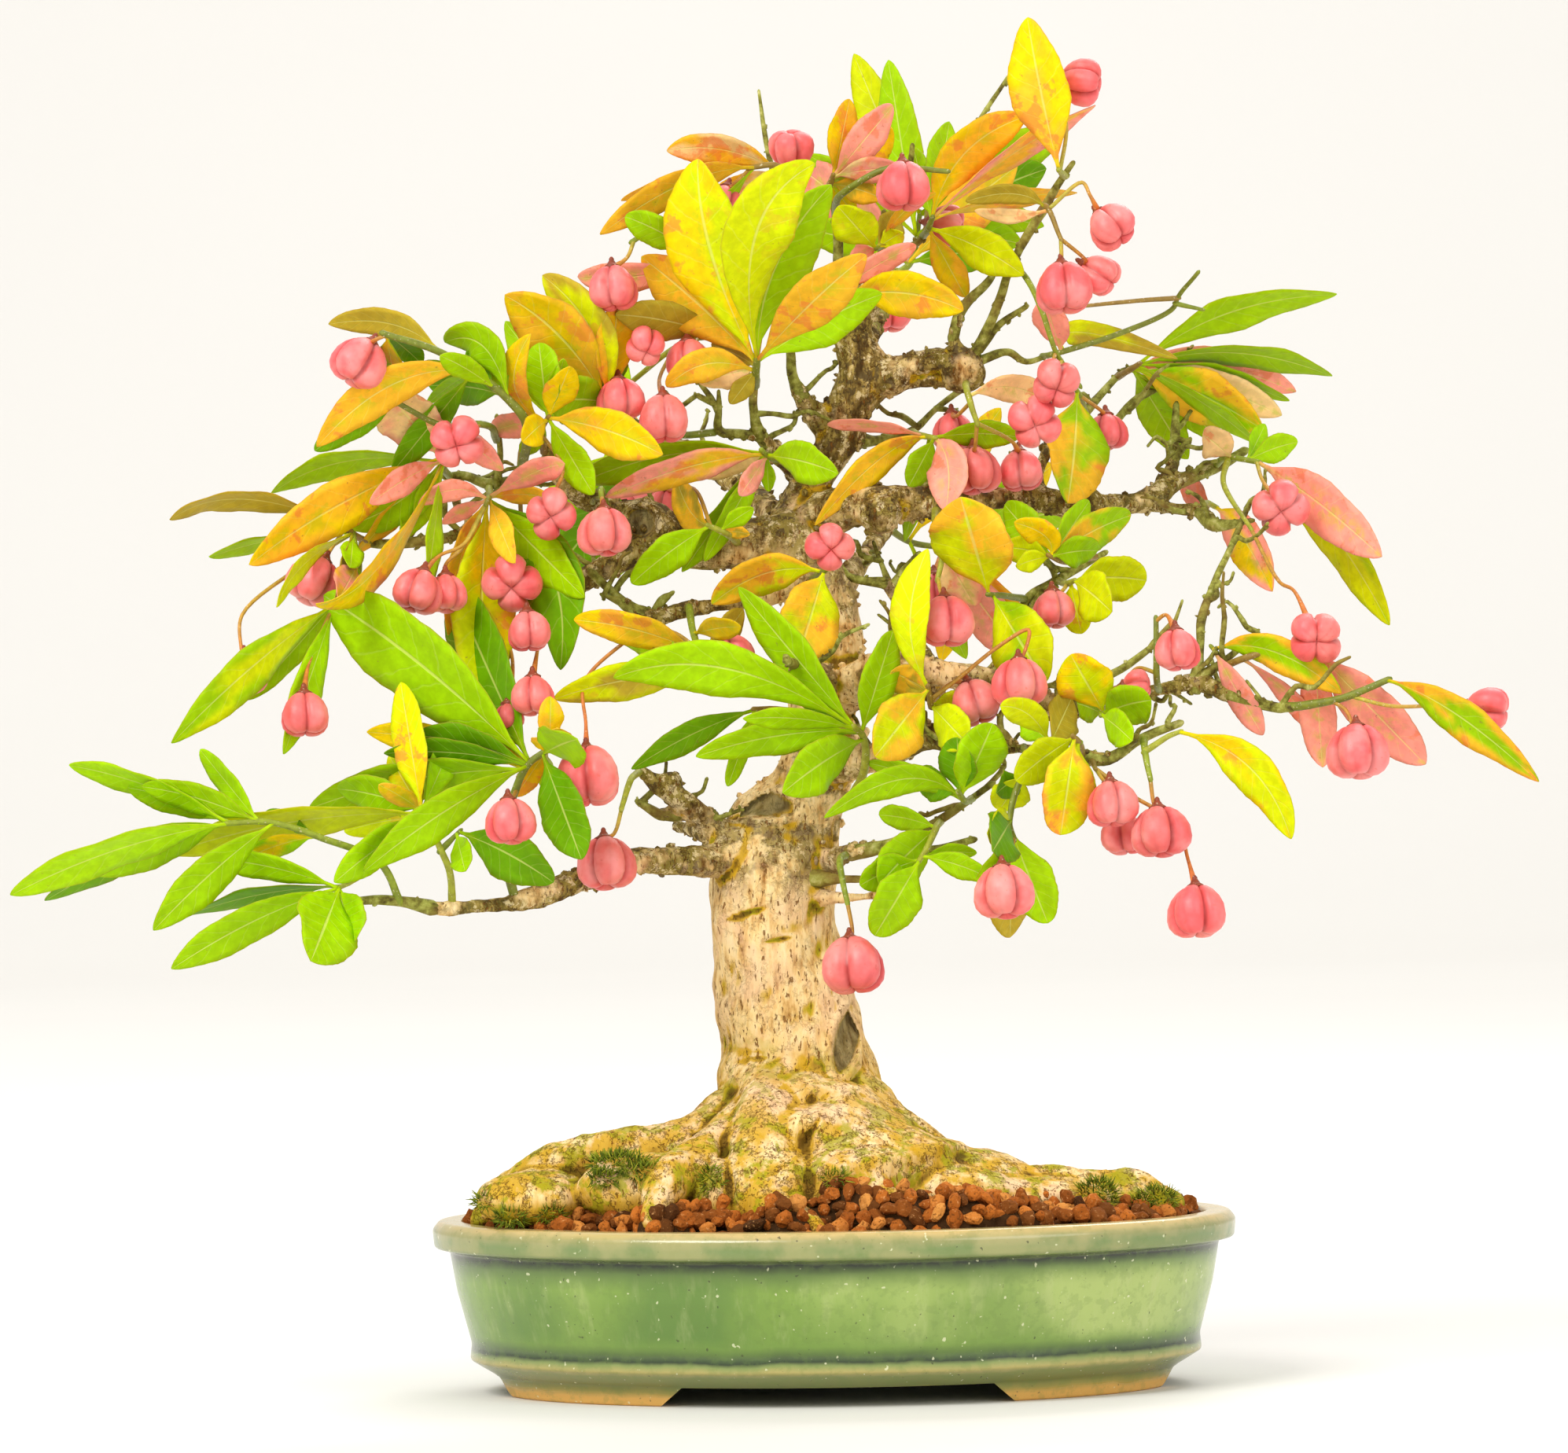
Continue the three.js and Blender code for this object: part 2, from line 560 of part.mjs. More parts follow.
// A stem starts as near to the wood as it can without touching it; where something else is in
// the way there, it is given up
function trimmedStem(owner, rows, radius) {
  const [first, second] = rows;
  const wood = standing.filter((other) => other.owner === 'wood');
  let steps = 0;
  for (let cut = 0; cut < 0.9; cut += 0.02) {
    const start = first.map((value, i) => value + (second[i] - value) * cut);
    const trimmed = [start, ...rows.slice(1)];
    const points = trimmed.map((row) => at(...row));
    const radii = points.map((p, i) => radius * (1 - 0.25 * (i / points.length)));
    const stem = limb(points, radii, STEM_SIDES, 1);
    if (isClear(owner, stem, wood)) {
      if (isClear(owner, stem)) return { stem, rows: trimmed };
      steps += 1;
      if (steps > FREE_STEPS) return null;
    }
  }
  return null;
}

function stemClear(owner, rows, radius) {
  for (const shift of DEPTH_SHIFTS) {
    const moved = rows.map(([across, down, depth], i) => [across, down, i ? depth + shift : depth]);
    const made = trimmedStem(owner, moved, radius);
    if (made) return made;
  }
  return null;
}

// The place on a node's stems that lies nearest to a point of the front view
function nearestOnStems(stems, across, down) {
  let best = { far: Infinity };
  for (const rows of stems) {
    for (let i = 1; i < rows.length; i += 1) {
      const [ax, ay, ad] = rows[i - 1];
      const [bx, by, bd] = rows[i];
      const run = (bx - ax) ** 2 + (by - ay) ** 2;
      const hit = ((across - ax) * (bx - ax) + (down - ay) * (by - ay)) / run;
      const share = THREE.MathUtils.clamp(hit, i === 1 ? 0.12 : 0, 0.96);
      const x = ax + (bx - ax) * share;
      const y = ay + (by - ay) * share;
      const far = Math.hypot(across - x, down - y);
      if (far < best.far) best = { far, row: [x, y, ad + (bd - ad) * share] };
    }
  }
  return best.row;
}

// Leaves. A blade tapers from a short stalk to a pointed tip, stands on a raised rib, and its
// edge waves up and down. along: share of the length; half: share of the half width.
const LONG_BLADE = { along: [0.13, 0.4, 0.74], half: [0.3, 1, 0.7] };
const SHORT_BLADE = { along: [0.2, 0.6], half: [0.62, 1] };
const LONG_FROM = 26;
const STALK_REACH = 0.5;
const LEAF_RATIO = 0.3;

function blade(base, middle, tip, halfWidth, roll, waveStart) {
  const length = base.distanceTo(tip);
  const control = middle.clone().multiplyScalar(2).addScaledVector(base, -0.5).addScaledVector(tip, -0.5);
  const curve = new THREE.QuadraticBezierCurve3(base, control, tip);
  const { along, half } = length > LONG_FROM ? LONG_BLADE : SHORT_BLADE;
  const points = [];
  const section = (t, reach, rib, wave) => {
    const centre = curve.getPoint(t);
    const ahead = curve.getTangent(t);
    const front = new THREE.Vector3(0, -1, 0).addScaledVector(ahead, ahead.y).normalize();
    front.applyAxisAngle(ahead, roll);
    const side = new THREE.Vector3().crossVectors(ahead, front);
    const lift = reach * 0.14;
    points.push(
      centre.clone().addScaledVector(side, -reach).addScaledVector(front, lift + wave),
      centre.clone().addScaledVector(front, rib),
      centre.clone().addScaledVector(side, reach).addScaledVector(front, lift - wave),
      centre.clone().addScaledVector(front, -rib),
    );
  };
  const start = curve.getPoint(0).addScaledVector(curve.getTangent(0), -STALK_REACH);
  along.forEach((t, i) => {
    const wave = Math.sin(waveStart + i * 2.2) * halfWidth * half[i] * 0.13;
    section(t, Math.max(halfWidth * half[i], 0.6), RIB / 2, i ? wave : 0);
  });
  points.push(tip.clone(), start);
  const faces = [];
  const rings = along.length;
  for (let i = 0; i + 1 < rings; i += 1) {
    for (let k = 0; k < 4; k += 1) {
      const next = (k + 1) % 4;
      faces.push([i * 4 + k, i * 4 + next, i * 4 + 4 + next, i * 4 + 4 + k]);
    }
  }
  const last = (rings - 1) * 4;
  for (let k = 0; k < 4; k += 1) {
    faces.push([last + k, last + ((k + 1) % 4), last + 4]);
    faces.push([(k + 1) % 4, k, last + 5]);
  }
  return solid(points, faces);
}

// A leaf row: [base across, down, tip across, down, width seen, tint, lean, middle across, down].
// lean is how far the tip lies behind the base, in millimetres; where it is missing, a leaf that
// looks short for its width points at the viewer.
function leafSolid(row, stems, shift, random) {
  const [bx, by, tx, ty, width, , lean, mx, my] = row;
  const [x, y, depth] = nearestOnStems(stems, bx, by);
  const seenLength = Math.hypot(tx - x, ty - y) / VIEW.scale;
  const seenWidth = width / VIEW.scale;
  const wide = Math.max(seenWidth / 0.86, seenLength * LEAF_RATIO * 0.8);
  const trueLength = Math.max(seenLength, seenWidth * 1.9);
  const toward = -Math.min(Math.sqrt(trueLength ** 2 - seenLength ** 2), 24);
  const tipDepth = depth + (lean ?? toward - 2) + shift;
  const roll = Math.acos(Math.min(seenWidth / wide, 0.95));
  const level = Math.abs(tx - x) > Math.abs(ty - y) ? 0.05 : 0;
  const middleAcross = mx ?? (x + tx) / 2;
  const middleDown = my ?? (y + ty) / 2 - level * Math.abs(tx - x);
  const middleDepth = (depth + tipDepth) / 2 - 0.05 * seenLength + shift * 0.25;
  const heading = tx > x ? 1 : -1;
  return blade(
    at(x, y, depth),
    at(middleAcross, middleDown, middleDepth),
    at(tx, ty, tipDepth),
    wide / 2,
    heading * roll,
    random * 6,
  );
}

// Fruits: a capsule of four rounded lobes round its stalk, with a small calyx at the stalk

const CAPSULE = { up: [0.17, -0.22], out: [0.98, 0.86], stalkEnd: 0.36, tipEnd: 0.26, crease: 0.66 };

function capsule(centre, width, aim, spin) {
  const axis = aim.clone().normalize();
  const front = new THREE.Vector3(0.31, -0.9, 0.2).cross(axis).normalize();
  const over = new THREE.Vector3().crossVectors(axis, front);
  const radius = width / 2;
  const points = [];
  CAPSULE.out.forEach((out, ring) => {
    for (let k = 0; k < FRUIT_SIDES; k += 1) {
      const angle = (k / FRUIT_SIDES) * Math.PI * 2;
      const lobe = k % 2 ? CAPSULE.crease : 1;
      const reach = radius * out * lobe;
      points.push(centre.clone()
        .addScaledVector(front, Math.cos(angle + spin) * reach)
        .addScaledVector(over, Math.sin(angle + spin) * reach)
        .addScaledVector(axis, -CAPSULE.up[ring] * width));
    }
  });
  points.push(centre.clone().addScaledVector(axis, -CAPSULE.stalkEnd * width));
  points.push(centre.clone().addScaledVector(axis, CAPSULE.tipEnd * width));
  const faces = [];
  for (let k = 0; k < FRUIT_SIDES; k += 1) {
    const next = (k + 1) % FRUIT_SIDES;
    const last = FRUIT_SIDES;
    faces.push([k, last + k, last + next, next].reverse());
    faces.push([k, next, points.length - 2].reverse());
    faces.push([last + next, last + k, points.length - 1].reverse());
  }
  return solid(points, faces);
}

const STALK_RADIUS = 0.75;

// A fruit row: [across, down, depth, width seen, aim, stalk], where aim is the way from the stalk
// to the fruit's end as [right, up, toward the viewer] and stalk lists its bends from the stem
function fruitSolid(row, stems, shift, spin) {
  const [across, down, depth, width, aim, stalk] = row;
  const wide = width / VIEW.scale;
  const centre = at(across, down, depth + shift);
  const direction = new THREE.Vector3(aim[0], -aim[2], aim[1]).normalize();
  const body = capsule(centre, wide, direction, spin);
  const first = nearestOnStems(stems, ...(stalk[0] ?? [across, down]));
  const startPoint = at(...first);
  const bends = stalk.slice(1).map(([x, y], i) => {
    const share = (i + 1) / (stalk.length + 0.5);
    return at(x, y, first[2] + (depth + shift - first[2]) * share);
  });
  const points = [startPoint, ...bends, centre];
  const radii = points.map(() => STALK_RADIUS);
  return body.add(limb(points, radii, STALK_SIDES, 1));
}

// A spray: young stems that start at the wood, with the leaves and fruits that they carry
const SPRAY_SEED = 7919;
const SIDE_STEM = 0.85;

function spray({ name, colour, thick = 1.0, stems, leaves = [], fruits = [] }) {
  const random = draws(name.length * SPRAY_SEED + stems[0][0][0]);
  const bodies = [];
  const kept = [];
  stems.forEach((rows, i) => {
    const radius = i ? thick * SIDE_STEM : thick;
    const made = stemClear(name, rows, radius);
    if (!made) return;
    kept.push(made.rows);
    bodies.push(made.stem);
    stand(name, made.stem);
  });
  const grow = (make) => {
    const body = bentClear(name, make);
    if (body) {
      bodies.push(body);
      stand(name, body);
    }
  };
  fruits.forEach((row) => {
    const spin = random() * 1.6;
    grow((shift) => fruitSolid(row, kept, shift, spin));
  });
  leaves.forEach((row) => {
    const draw = random();
    grow((shift) => leafSolid(row, kept, shift, draw));
  });
  addNode(name, oneBody(wasm.Manifold.union(bodies), SPRAY_DETAIL), colour ?? meanTint(leaves), 0.5);
}

function meanTint(leaves) {
  const mean = new THREE.Color(0, 0, 0);
  for (const row of leaves) {
    for (const letter of row[5]) {
      const share = 1 / leaves.length / row[5].length;
      mean.add(new THREE.Color(TINTS[letter]).multiplyScalar(share));
    }
  }
  return mean;
}

// Sprays: young stems, leaves and fruits, read off the front view.
// stems: [across, down, depth]; leaves: see leafSolid; fruits: see fruitSolid.

const HANGS = [0.05, -1, 0.25];
const FACES = [0.05, -0.35, 1];
const POINTS_RIGHT = [1, -0.15, 0.2];

const SPRAYS = [
  {
    name: 'leafy_stem_low_left_outer',
    stems: [
      [[508, 1146, -54], [484, 1098, -58], [410, 1066, -62], [345, 1046, -64], [288, 1047, -67]],
      [[484, 1098, -58], [445, 1122, -62], [430, 1130, -63]],
    ],
    leaves: [
      [330, 1040, 180, 1000, 40, 'g'],
      [292, 1047, 13, 1138, 45, 'g'],
      [290, 1046, 120, 1113, 50, 'g', 10],
      [288, 1048, 57, 1145, 28, 'd', 16],
      [345, 1056, 195, 1183, 48, 'g'],
      [400, 1070, 305, 1095, 30, 'yg'],
      [430, 1128, 218, 1232, 48, 'g'],
      [434, 1126, 233, 1165, 20, 'd', 10],
      [432, 1130, 395, 1222, 80, 'g'],
    ],
  },
  {
    name: 'leafy_stem_low_left_middle',
    stems: [
      [[575, 1152, -48], [572, 1110, -52], [552, 1062, -54], [536, 1030, -56]],
      [[560, 1082, -53], [586, 1056, -50]],
    ],
    leaves: [
      [540, 1034, 212, 1086, 46, 'l'],
      [542, 1040, 425, 1122, 46, 'g', -10],
      [536, 1030, 430, 1003, 46, 'g', 8],
      [536, 1030, 510, 868, 46, 'yl'],
      [536, 1032, 482, 998, 26, 'yo', -12],
      [583, 1057, 704, 1122, 60, 'd'],
      [580, 1060, 592, 1108, 32, 'g'],
    ],
  },
  {
    name: 'leafy_stem_low_left_upper',
    thick: 1.2,
    stems: [[[655, 1145, -40], [642, 1080, -46], [652, 1015, -52], [672, 972, -56], [702, 950, -58]]],
    leaves: [
      [672, 968, 412, 757, 100, 'g', -16],
      [668, 978, 393, 1028, 56, 'g', 8],
      [672, 974, 462, 1108, 46, 'g', -6],
      [670, 970, 530, 935, 46, 'd', 2],
      [690, 958, 740, 1093, 62, 'd'],
      [690, 955, 734, 940, 60, 'g'],
      [698, 952, 700, 886, 30, 'yo'],
      [694, 955, 655, 1012, 26, 'y', -14],
    ],
    fruits: [[648, 1048, -70, 66, HANGS, [[656, 1005], [650, 1018]]]],
  },
  {
    name: 'leafy_stem_trunk_left',
    stems: [[[1012, 905, -4], [980, 902, -14], [958, 902, -18]]],
    leaves: [
      [962, 900, 803, 978, 34, 'd', -8],
      [960, 902, 925, 1000, 24, 'g', -4],
    ],
  },
  {
    name: 'leafy_stem_centre_left',
    stems: [[[876, 772, -24], [882, 806, -34], [892, 838, -40], [902, 862, -44]]],
    leaves: [
      [880, 832, 730, 788, 44, 'oy'],
      [882, 806, 942, 797, 30, 'y', -10],
      [898, 842, 945, 775, 36, 'b', 12],
      [898, 858, 704, 889, 46, 'bl'],
    ],
    fruits: [
      [
        748, 992, -54, 88, HANGS,
        [[888, 826], [855, 804], [820, 803], [785, 824], [743, 868], [745, 920]],
      ],
      [936, 832, -38, 50, [0.4, -1, 0.2], [[892, 838], [925, 812]]],
    ],
  },
  {
    name: 'leafy_stem_centre',
    thick: 1.2,
    stems: [[[1080, 1020, -14], [1100, 975, -30], [1098, 938, -36], [1086, 924, -40]]],
    leaves: [
      [1088, 926, 780, 862, 62, 'g', -12, 925, 850],
      [1088, 928, 945, 914, 28, 'g', -18],
      [1090, 930, 885, 962, 44, 'g', -2],
      [1092, 932, 935, 956, 36, 'd', -10],
      [1096, 940, 995, 1008, 58, 'g', -24],
      [1097, 932, 1135, 802, 46, 'g', -4],
    ],
  },
  {
    name: 'leafy_stem_trunk_front',
    stems: [[[1032, 738, -6], [1045, 728, -26], [1054, 722, -30]]],
    leaves: [
      [1046, 727, 905, 768, 52, 'lo', 2, 975, 728],
      [1048, 726, 1014, 838, 82, 'lo', -8],
    ],
    fruits: [[1056, 694, -42, 62, FACES, [[1052, 722], [1058, 712]]]],
  },
  {
    name: 'leafy_stem_right_inner',
    stems: [[[1190, 884, -12], [1184, 898, -34], [1180, 872, -42]]],
    leaves: [
      [1180, 876, 1112, 962, 66, 'lo', -10],
      [1180, 874, 1180, 698, 46, 'l', -4, 1158, 792],
      [1183, 896, 1233, 948, 50, 'l', -10],
      [1181, 880, 1108, 888, 58, 'bo', 6],
    ],
    fruits: [
      [1298, 872, -48, 72, HANGS, [[1183, 890], [1215, 866], [1270, 822], [1308, 801], [1301, 834]]],
      [1240, 897, -40, 66, [0.3, -1, 0.3], [[1183, 892], [1212, 868]]],
    ],
  },
  {
    name: 'leafy_stem_right_arching',
    stems: [[[1236, 1016, -26], [1226, 1018, -36], [1218, 1006, -40]]],
    leaves: [
      [1222, 1012, 1262, 920, 62, 'g', -4],
      [1220, 1010, 1158, 990, 40, 'd', 12],
      [1226, 1018, 1048, 1040, 36, 'g', -14, 1150, 990],
    ],
  },
  {
    name: 'leafy_stem_right_lowest',
    stems: [[[1196, 1045, -23], [1190, 1054, -34], [1178, 1080, -38], [1168, 1096, -38]]],
    leaves: [
      [1190, 1054, 1118, 1124, 60, 'g', -8],
      [1170, 1094, 1112, 1190, 62, 'g', -2],
      [1174, 1090, 1262, 1118, 30, 'g', -6],
      [1190, 1052, 1118, 1036, 32, 'g', 8],
    ],
  },
  {
    name: 'leafy_stem_right_hanging',
    stems: [[
      [1302, 950, -36], [1306, 972, -48], [1290, 1012, -52], [1284, 1048, -54], [1290, 1068, -55],
    ]],
    leaves: [
      [1288, 1056, 1333, 1174, 62, 'g', -2],
      [1284, 1044, 1262, 1082, 58, 'd', -14],
      [1288, 1060, 1284, 1192, 60, 'b', 14],
      [1300, 985, 1270, 1030, 46, 'l', 2],
    ],
    fruits: [[1277, 1138, -66, 78, HANGS, [[1288, 1066], [1284, 1095]]]],
  },
  {
    name: 'leafy_stem_right_pair',
    stems: [
      [[1376, 962, -42], [1372, 944, -56], [1364, 936, -60]],
      [[1372, 944, -56], [1332, 944, -52]],
    ],
    leaves: [
      [1366, 938, 1348, 1062, 70, 'lo', -2],
      [1371, 942, 1368, 1050, 42, 'l', 8],
      [1334, 944, 1272, 898, 38, 'l', -8, 1308, 908],
      [1336, 944, 1362, 888, 46, 'b', 8],
      [1334, 946, 1300, 908, 36, 'g', 6],
    ],
  },
  {
    name: 'leafy_stem_right_bright',
    stems: [[[1406, 892, -24], [1406, 904, -38], [1400, 910, -41]]],
    leaves: [
      [1404, 906, 1362, 832, 64, 'ly', -6],
      [1403, 908, 1464, 890, 58, 'g', -8],
      [1401, 909, 1440, 942, 40, 'g', -14],
      [1402, 908, 1370, 894, 36, 'g', 4],
    ],
  },
  {
    name: 'leafy_stem_right_twin',
    stems: [[[1345, 738, -8], [1358, 742, -24], [1367, 738, -28]]],
    leaves: [
      [1366, 740, 1458, 738, 62, 'l', -2],
      [1366, 738, 1414, 778, 56, 'l', -12],
      [1362, 742, 1376, 806, 42, 'l', -2],
    ],
    fruits: [[1340, 778, -28, 56, HANGS, [[1358, 743], [1350, 752]]]],
  },
  {
    name: 'leafy_stem_right_large',
    stems: [[[1304, 762, -6], [1280, 758, -20], [1256, 756, -28]]],
    leaves: [
      [1262, 757, 1330, 868, 78, 'gl', -4],
      [1258, 756, 1222, 632, 102, 'lo', -16],
    ],
  },
  {
    name: 'leafy_stem_right_orange',
    stems: [[[1392, 708, -10], [1352, 714, -24], [1333, 706, -28]]],
    leaves: [
      [1337, 706, 1438, 655, 46, 'og', -4],
      [1337, 707, 1396, 700, 40, 'g', 6],
      [1336, 708, 1290, 664, 36, 'y', -8, 1330, 682],
      [1336, 708, 1292, 720, 26, 'l', -6],
      [1337, 706, 1278, 642, 46, 'g', 10],
    ],
  },
  {
    name: 'leafy_stem_right_hanging_leaf',
    stems: [[[1380, 526, 8], [1374, 506, -10], [1369, 496, -16]]],
    leaves: [[1369, 497, 1357, 640, 84, 'go', -6, 1366, 568]],
    fruits: [[1408, 552, -4, 54, HANGS, [[1372, 503], [1400, 522]]]],
  },
  {
    name: 'leafy_stem_centre_right',
    stems: [[[1160, 549, 6], [1172, 554, -12], [1190, 557, -18]]],
    leaves: [
      [1188, 556, 1297, 556, 34, 'g', -4],
      [1188, 557, 1203, 650, 50, 'p', -8, 1206, 590],
      [1174, 555, 1052, 540, 17, 'p', 2],
      [1182, 556, 1036, 668, 34, 'yo', -12, 1120, 582],
    ],
  },
  {
    name: 'bare_stalks_right',
    thick: 0.8,
    stems: [
      [
        [1325, 453, -15], [1345, 449, -26], [1440, 418, -28], [1492, 392, -30], [1498, 378, -30],
        [1524, 346, -32],
      ],
      [[1498, 379, -30], [1440, 383, -29], [1345, 393, -28]],
      [[1495, 386, -30], [1530, 394, -32]],
    ],
    leaves: [
      [1350, 447, 1328, 380, 42, 'p', -4],
      [1352, 446, 1497, 456, 32, 'lb', 6, 1375, 422],
    ],
  },
  {
    name: 'leafy_stem_right_top',
    stems: [[[1420, 480, 14], [1434, 472, 6], [1450, 462, 2]]],
    leaves: [
      [1448, 462, 1700, 374, 38, 'g', -6, 1560, 398],
      [1440, 468, 1606, 546, 66, 'go', -12],
      [1436, 471, 1648, 498, 52, 'p', 10, 1530, 462],
      [1446, 464, 1694, 478, 26, 'g', 20, 1570, 448],
      [1438, 470, 1630, 528, 52, 's', 2],
    ],
  },
  {
    name: 'leafy_stem_right_upper',
    stems: [
      [[1545, 592, -4], [1562, 582, -16], [1602, 588, -20]],
      [[1562, 582, -16], [1556, 615, -22], [1592, 674, -30]],
    ],
    leaves: [
      [1586, 584, 1650, 562, 34, 'g', 4],
      [1566, 582, 1530, 552, 42, 's', 8],
      [1600, 588, 1757, 708, 62, 'p', -8],
      [1600, 588, 1767, 795, 46, 'gl', 10, 1690, 672],
    ],
    fruits: [
      [1627, 645, -32, 74, FACES, [[1598, 588], [1606, 612]]],
      [1672, 810, -44, 70, FACES, [[1590, 670], [1627, 740], [1646, 752]]],
    ],
  },
  {
    name: 'leafy_stem_right_under',
    stems: [[[1528, 650, -12], [1536, 640, 2], [1548, 646, 6]]],
    leaves: [
      [1546, 645, 1618, 752, 50, 'yp', -2, 1580, 682],
      [1540, 642, 1500, 617, 34, 'p', 6],
    ],
  },
  {
    name: 'leafy_stem_right_end',
    thick: 1.25,
    stems: [[[1630, 900, -38], [1660, 897, -42], [1710, 887, -46], [1766, 864, -48]]],
    leaves: [[1764, 866, 1957, 994, 42, 'go', -4, 1850, 906]],
    fruits: [
      [1728, 960, -54, 80, HANGS, [[1692, 890], [1712, 904], [1722, 928]]],
      [1895, 903, -52, 62, POINTS_RIGHT, [[1716, 886], [1770, 898], [1838, 897]]],
    ],
  },
  {
    name: 'leafy_stem_right_pink',
    stems: [
      [[1552, 850, -28], [1580, 838, -38], [1640, 822, -42], [1674, 826, -44]],
      [[1560, 846, -30], [1540, 822, -40]],
    ],
    leaves: [
      [1672, 826, 1813, 972, 64, 'p', -8],
      [1545, 824, 1706, 882, 44, 'go', -2, 1620, 828],
      [1580, 838, 1682, 944, 22, 'p', 10, 1640, 885],
    ],
  },
  {
    name: 'leafy_stem_right_yellow',
    stems: [
      [[1455, 940, -46], [1456, 956, -58], [1463, 992, -62]],
      [[1456, 956, -58], [1485, 937, -60], [1502, 930, -60]],
    ],
    leaves: [[1500, 931, 1642, 1067, 52, 'yl', -4, 1590, 976]],
    fruits: [[1475, 1062, -66, 74, HANGS, [[1463, 990], [1468, 1024]]]],
  },
  {
    name: 'leafy_stem_top_right',
    stems: [[[1354, 224, -21], [1346, 216, -32]]],
    leaves: [[1347, 217, 1307, 22, 70, 'oy', -6, 1325, 120]],
    fruits: [[1378, 104, -30, 60, POINTS_RIGHT, [[1348, 218], [1356, 160], [1342, 106]]]],
  },
  {
    name: 'leafy_stem_top_middle',
    stems: [[[1174, 300, 8], [1180, 292, -8], [1186, 276, -12]]],
    leaves: [
      [1185, 280, 1306, 147, 58, 'yo', -10, 1225, 196],
      [1185, 279, 1393, 134, 20, 'op', -20, 1280, 200],
      [1184, 278, 1207, 155, 44, 'g', 10],
      [1181, 290, 1302, 350, 48, 'l', -14, 1245, 314],
    ],
    fruits: [[1206, 286, 2, 54, POINTS_RIGHT, [[1183, 285]]]],
  },
  {
    name: 'leafy_stem_top_orange',
    stems: [[[1059, 250, 2], [1055, 236, -10], [1060, 222, -13]]],
    leaves: [
      [1060, 228, 1134, 162, 56, 'oy', -8],
      [1060, 224, 1080, 126, 36, 'oy', 0],
      [1060, 225, 1135, 134, 42, 'p', 8],
      [1058, 230, 1085, 165, 38, 'sp', -14],
      [1058, 232, 1124, 220, 40, 'ly', 4],
      [1057, 234, 1122, 252, 32, 'bo', -6],
    ],
  },
  {
    name: 'leafy_stem_top_small',
    stems: [[[1122, 312, -5], [1114, 316, -18]]],
    leaves: [
      [1114, 316, 1066, 262, 50, 'l', -6],
      [1116, 315, 1142, 272, 36, 'b', 4],
      [1115, 316, 1078, 336, 30, 'p', -8],
      [1118, 314, 1190, 246, 16, 'o', -4, 1150, 268],
    ],
  },
  {
    name: 'leafy_stem_top_yellow',
    stems: [[[1084, 402, 0], [1072, 386, -14], [1066, 370, -18]]],
    leaves: [
      [1070, 378, 1225, 395, 58, 'oy', -12, 1150, 372],
      [1067, 370, 1165, 312, 30, 'p', -4],
    ],
  },
  {
    name: 'leafy_stem_crown_middle',
    thick: 1.3,
    stems: [[[960, 490, -15], [961, 474, -28], [963, 456, -32]]],
    leaves: [
      [963, 462, 888, 202, 94, 'ly', -12, 905, 322],
      [963, 460, 1057, 235, 78, 'g', -22, 985, 340],
      [963, 458, 1036, 208, 78, 'l', 6, 960, 300],
      [962, 470, 890, 488, 34, 's', 8],
      [962, 466, 905, 438, 38, 'b', 6],
      [961, 472, 848, 492, 40, 'o', -4, 900, 462],
    ],
    fruits: [[962, 332, -34, 50, FACES, [[962, 460], [972, 380]]]],
  },
  {
    name: 'leafy_stem_top_left',
    stems: [[[993, 250, -1], [1004, 226, -18], [985, 210, -22], [952, 214, -24]]],
    leaves: [
      [1000, 212, 848, 192, 40, 'so', -4, 920, 190],
      [960, 213, 763, 298, 38, 'o', -8, 870, 232],
      [958, 213, 790, 255, 20, 'o', 6, 880, 222],
    ],
    fruits: [
      [1005, 187, -12, 58, [0, 1, 0.3], [[1004, 214]]],
      [918, 262, -28, 54, [-0.3, -1, 0.3], [[955, 214], [932, 236]]],
    ],
  },
  {
    name: 'leafy_stem_upper_left',
    stems: [[
      [992, 345, -5], [945, 352, -20], [900, 335, -26], [870, 312, -28], [822, 298, -30],
      [803, 308, -30],
    ]],
    leaves: [
      [885, 322, 795, 275, 42, 'g', -4],
      [900, 335, 735, 352, 38, 'p', 8, 800, 352],
    ],
    fruits: [[780, 370, -38, 66, HANGS, [[806, 306], [797, 328]]]],
  },
  {
    name: 'leafy_stem_upper_left_olive',
    stems: [[
      [958, 500, -14], [940, 450, -36], [925, 430, -40], [885, 430, -38], [860, 441, -38],
      [800, 488, -38],
    ]],
    leaves: [[920, 430, 782, 400, 48, 'b', -10]],
    fruits: [
      [822, 440, -38, 52, [0, -0.6, 0.8], [[880, 431], [850, 420]]],
      [876, 462, -40, 62, HANGS, [[888, 430], [882, 438]]],
      [788, 512, -42, 64, HANGS, [[802, 486]]],
      [845, 536, -42, 70, HANGS, [[858, 443], [839, 480]]],
    ],
  },
  {
    name: 'leafy_stem_left_yellow_top',
    stems: [[[908, 550, -13], [860, 553, -24], [815, 540, -32], [770, 510, -38]]],
    leaves: [
      [772, 512, 642, 375, 74, 'yo', -10, 715, 430],
      [774, 512, 690, 350, 62, 'lb', 6, 752, 420],
      [778, 514, 775, 432, 46, 'd', 10],
      [772, 512, 690, 455, 84, 'g', 14],
    ],
  },
  {
    name: 'leafy_stem_left_orange',
    stems: [[[692, 575, -42], [688, 548, -50], [698, 530, -54]]],
    leaves: [
      [698, 532, 843, 578, 54, 'oy', -6, 770, 546],
      [696, 534, 664, 562, 34, 'y', -10],
      [694, 536, 625, 548, 34, 'p', 6],
      [697, 532, 686, 436, 52, 'g', 10],
      [694, 538, 675, 425, 36, 'oy', -4, 655, 490],
    ],
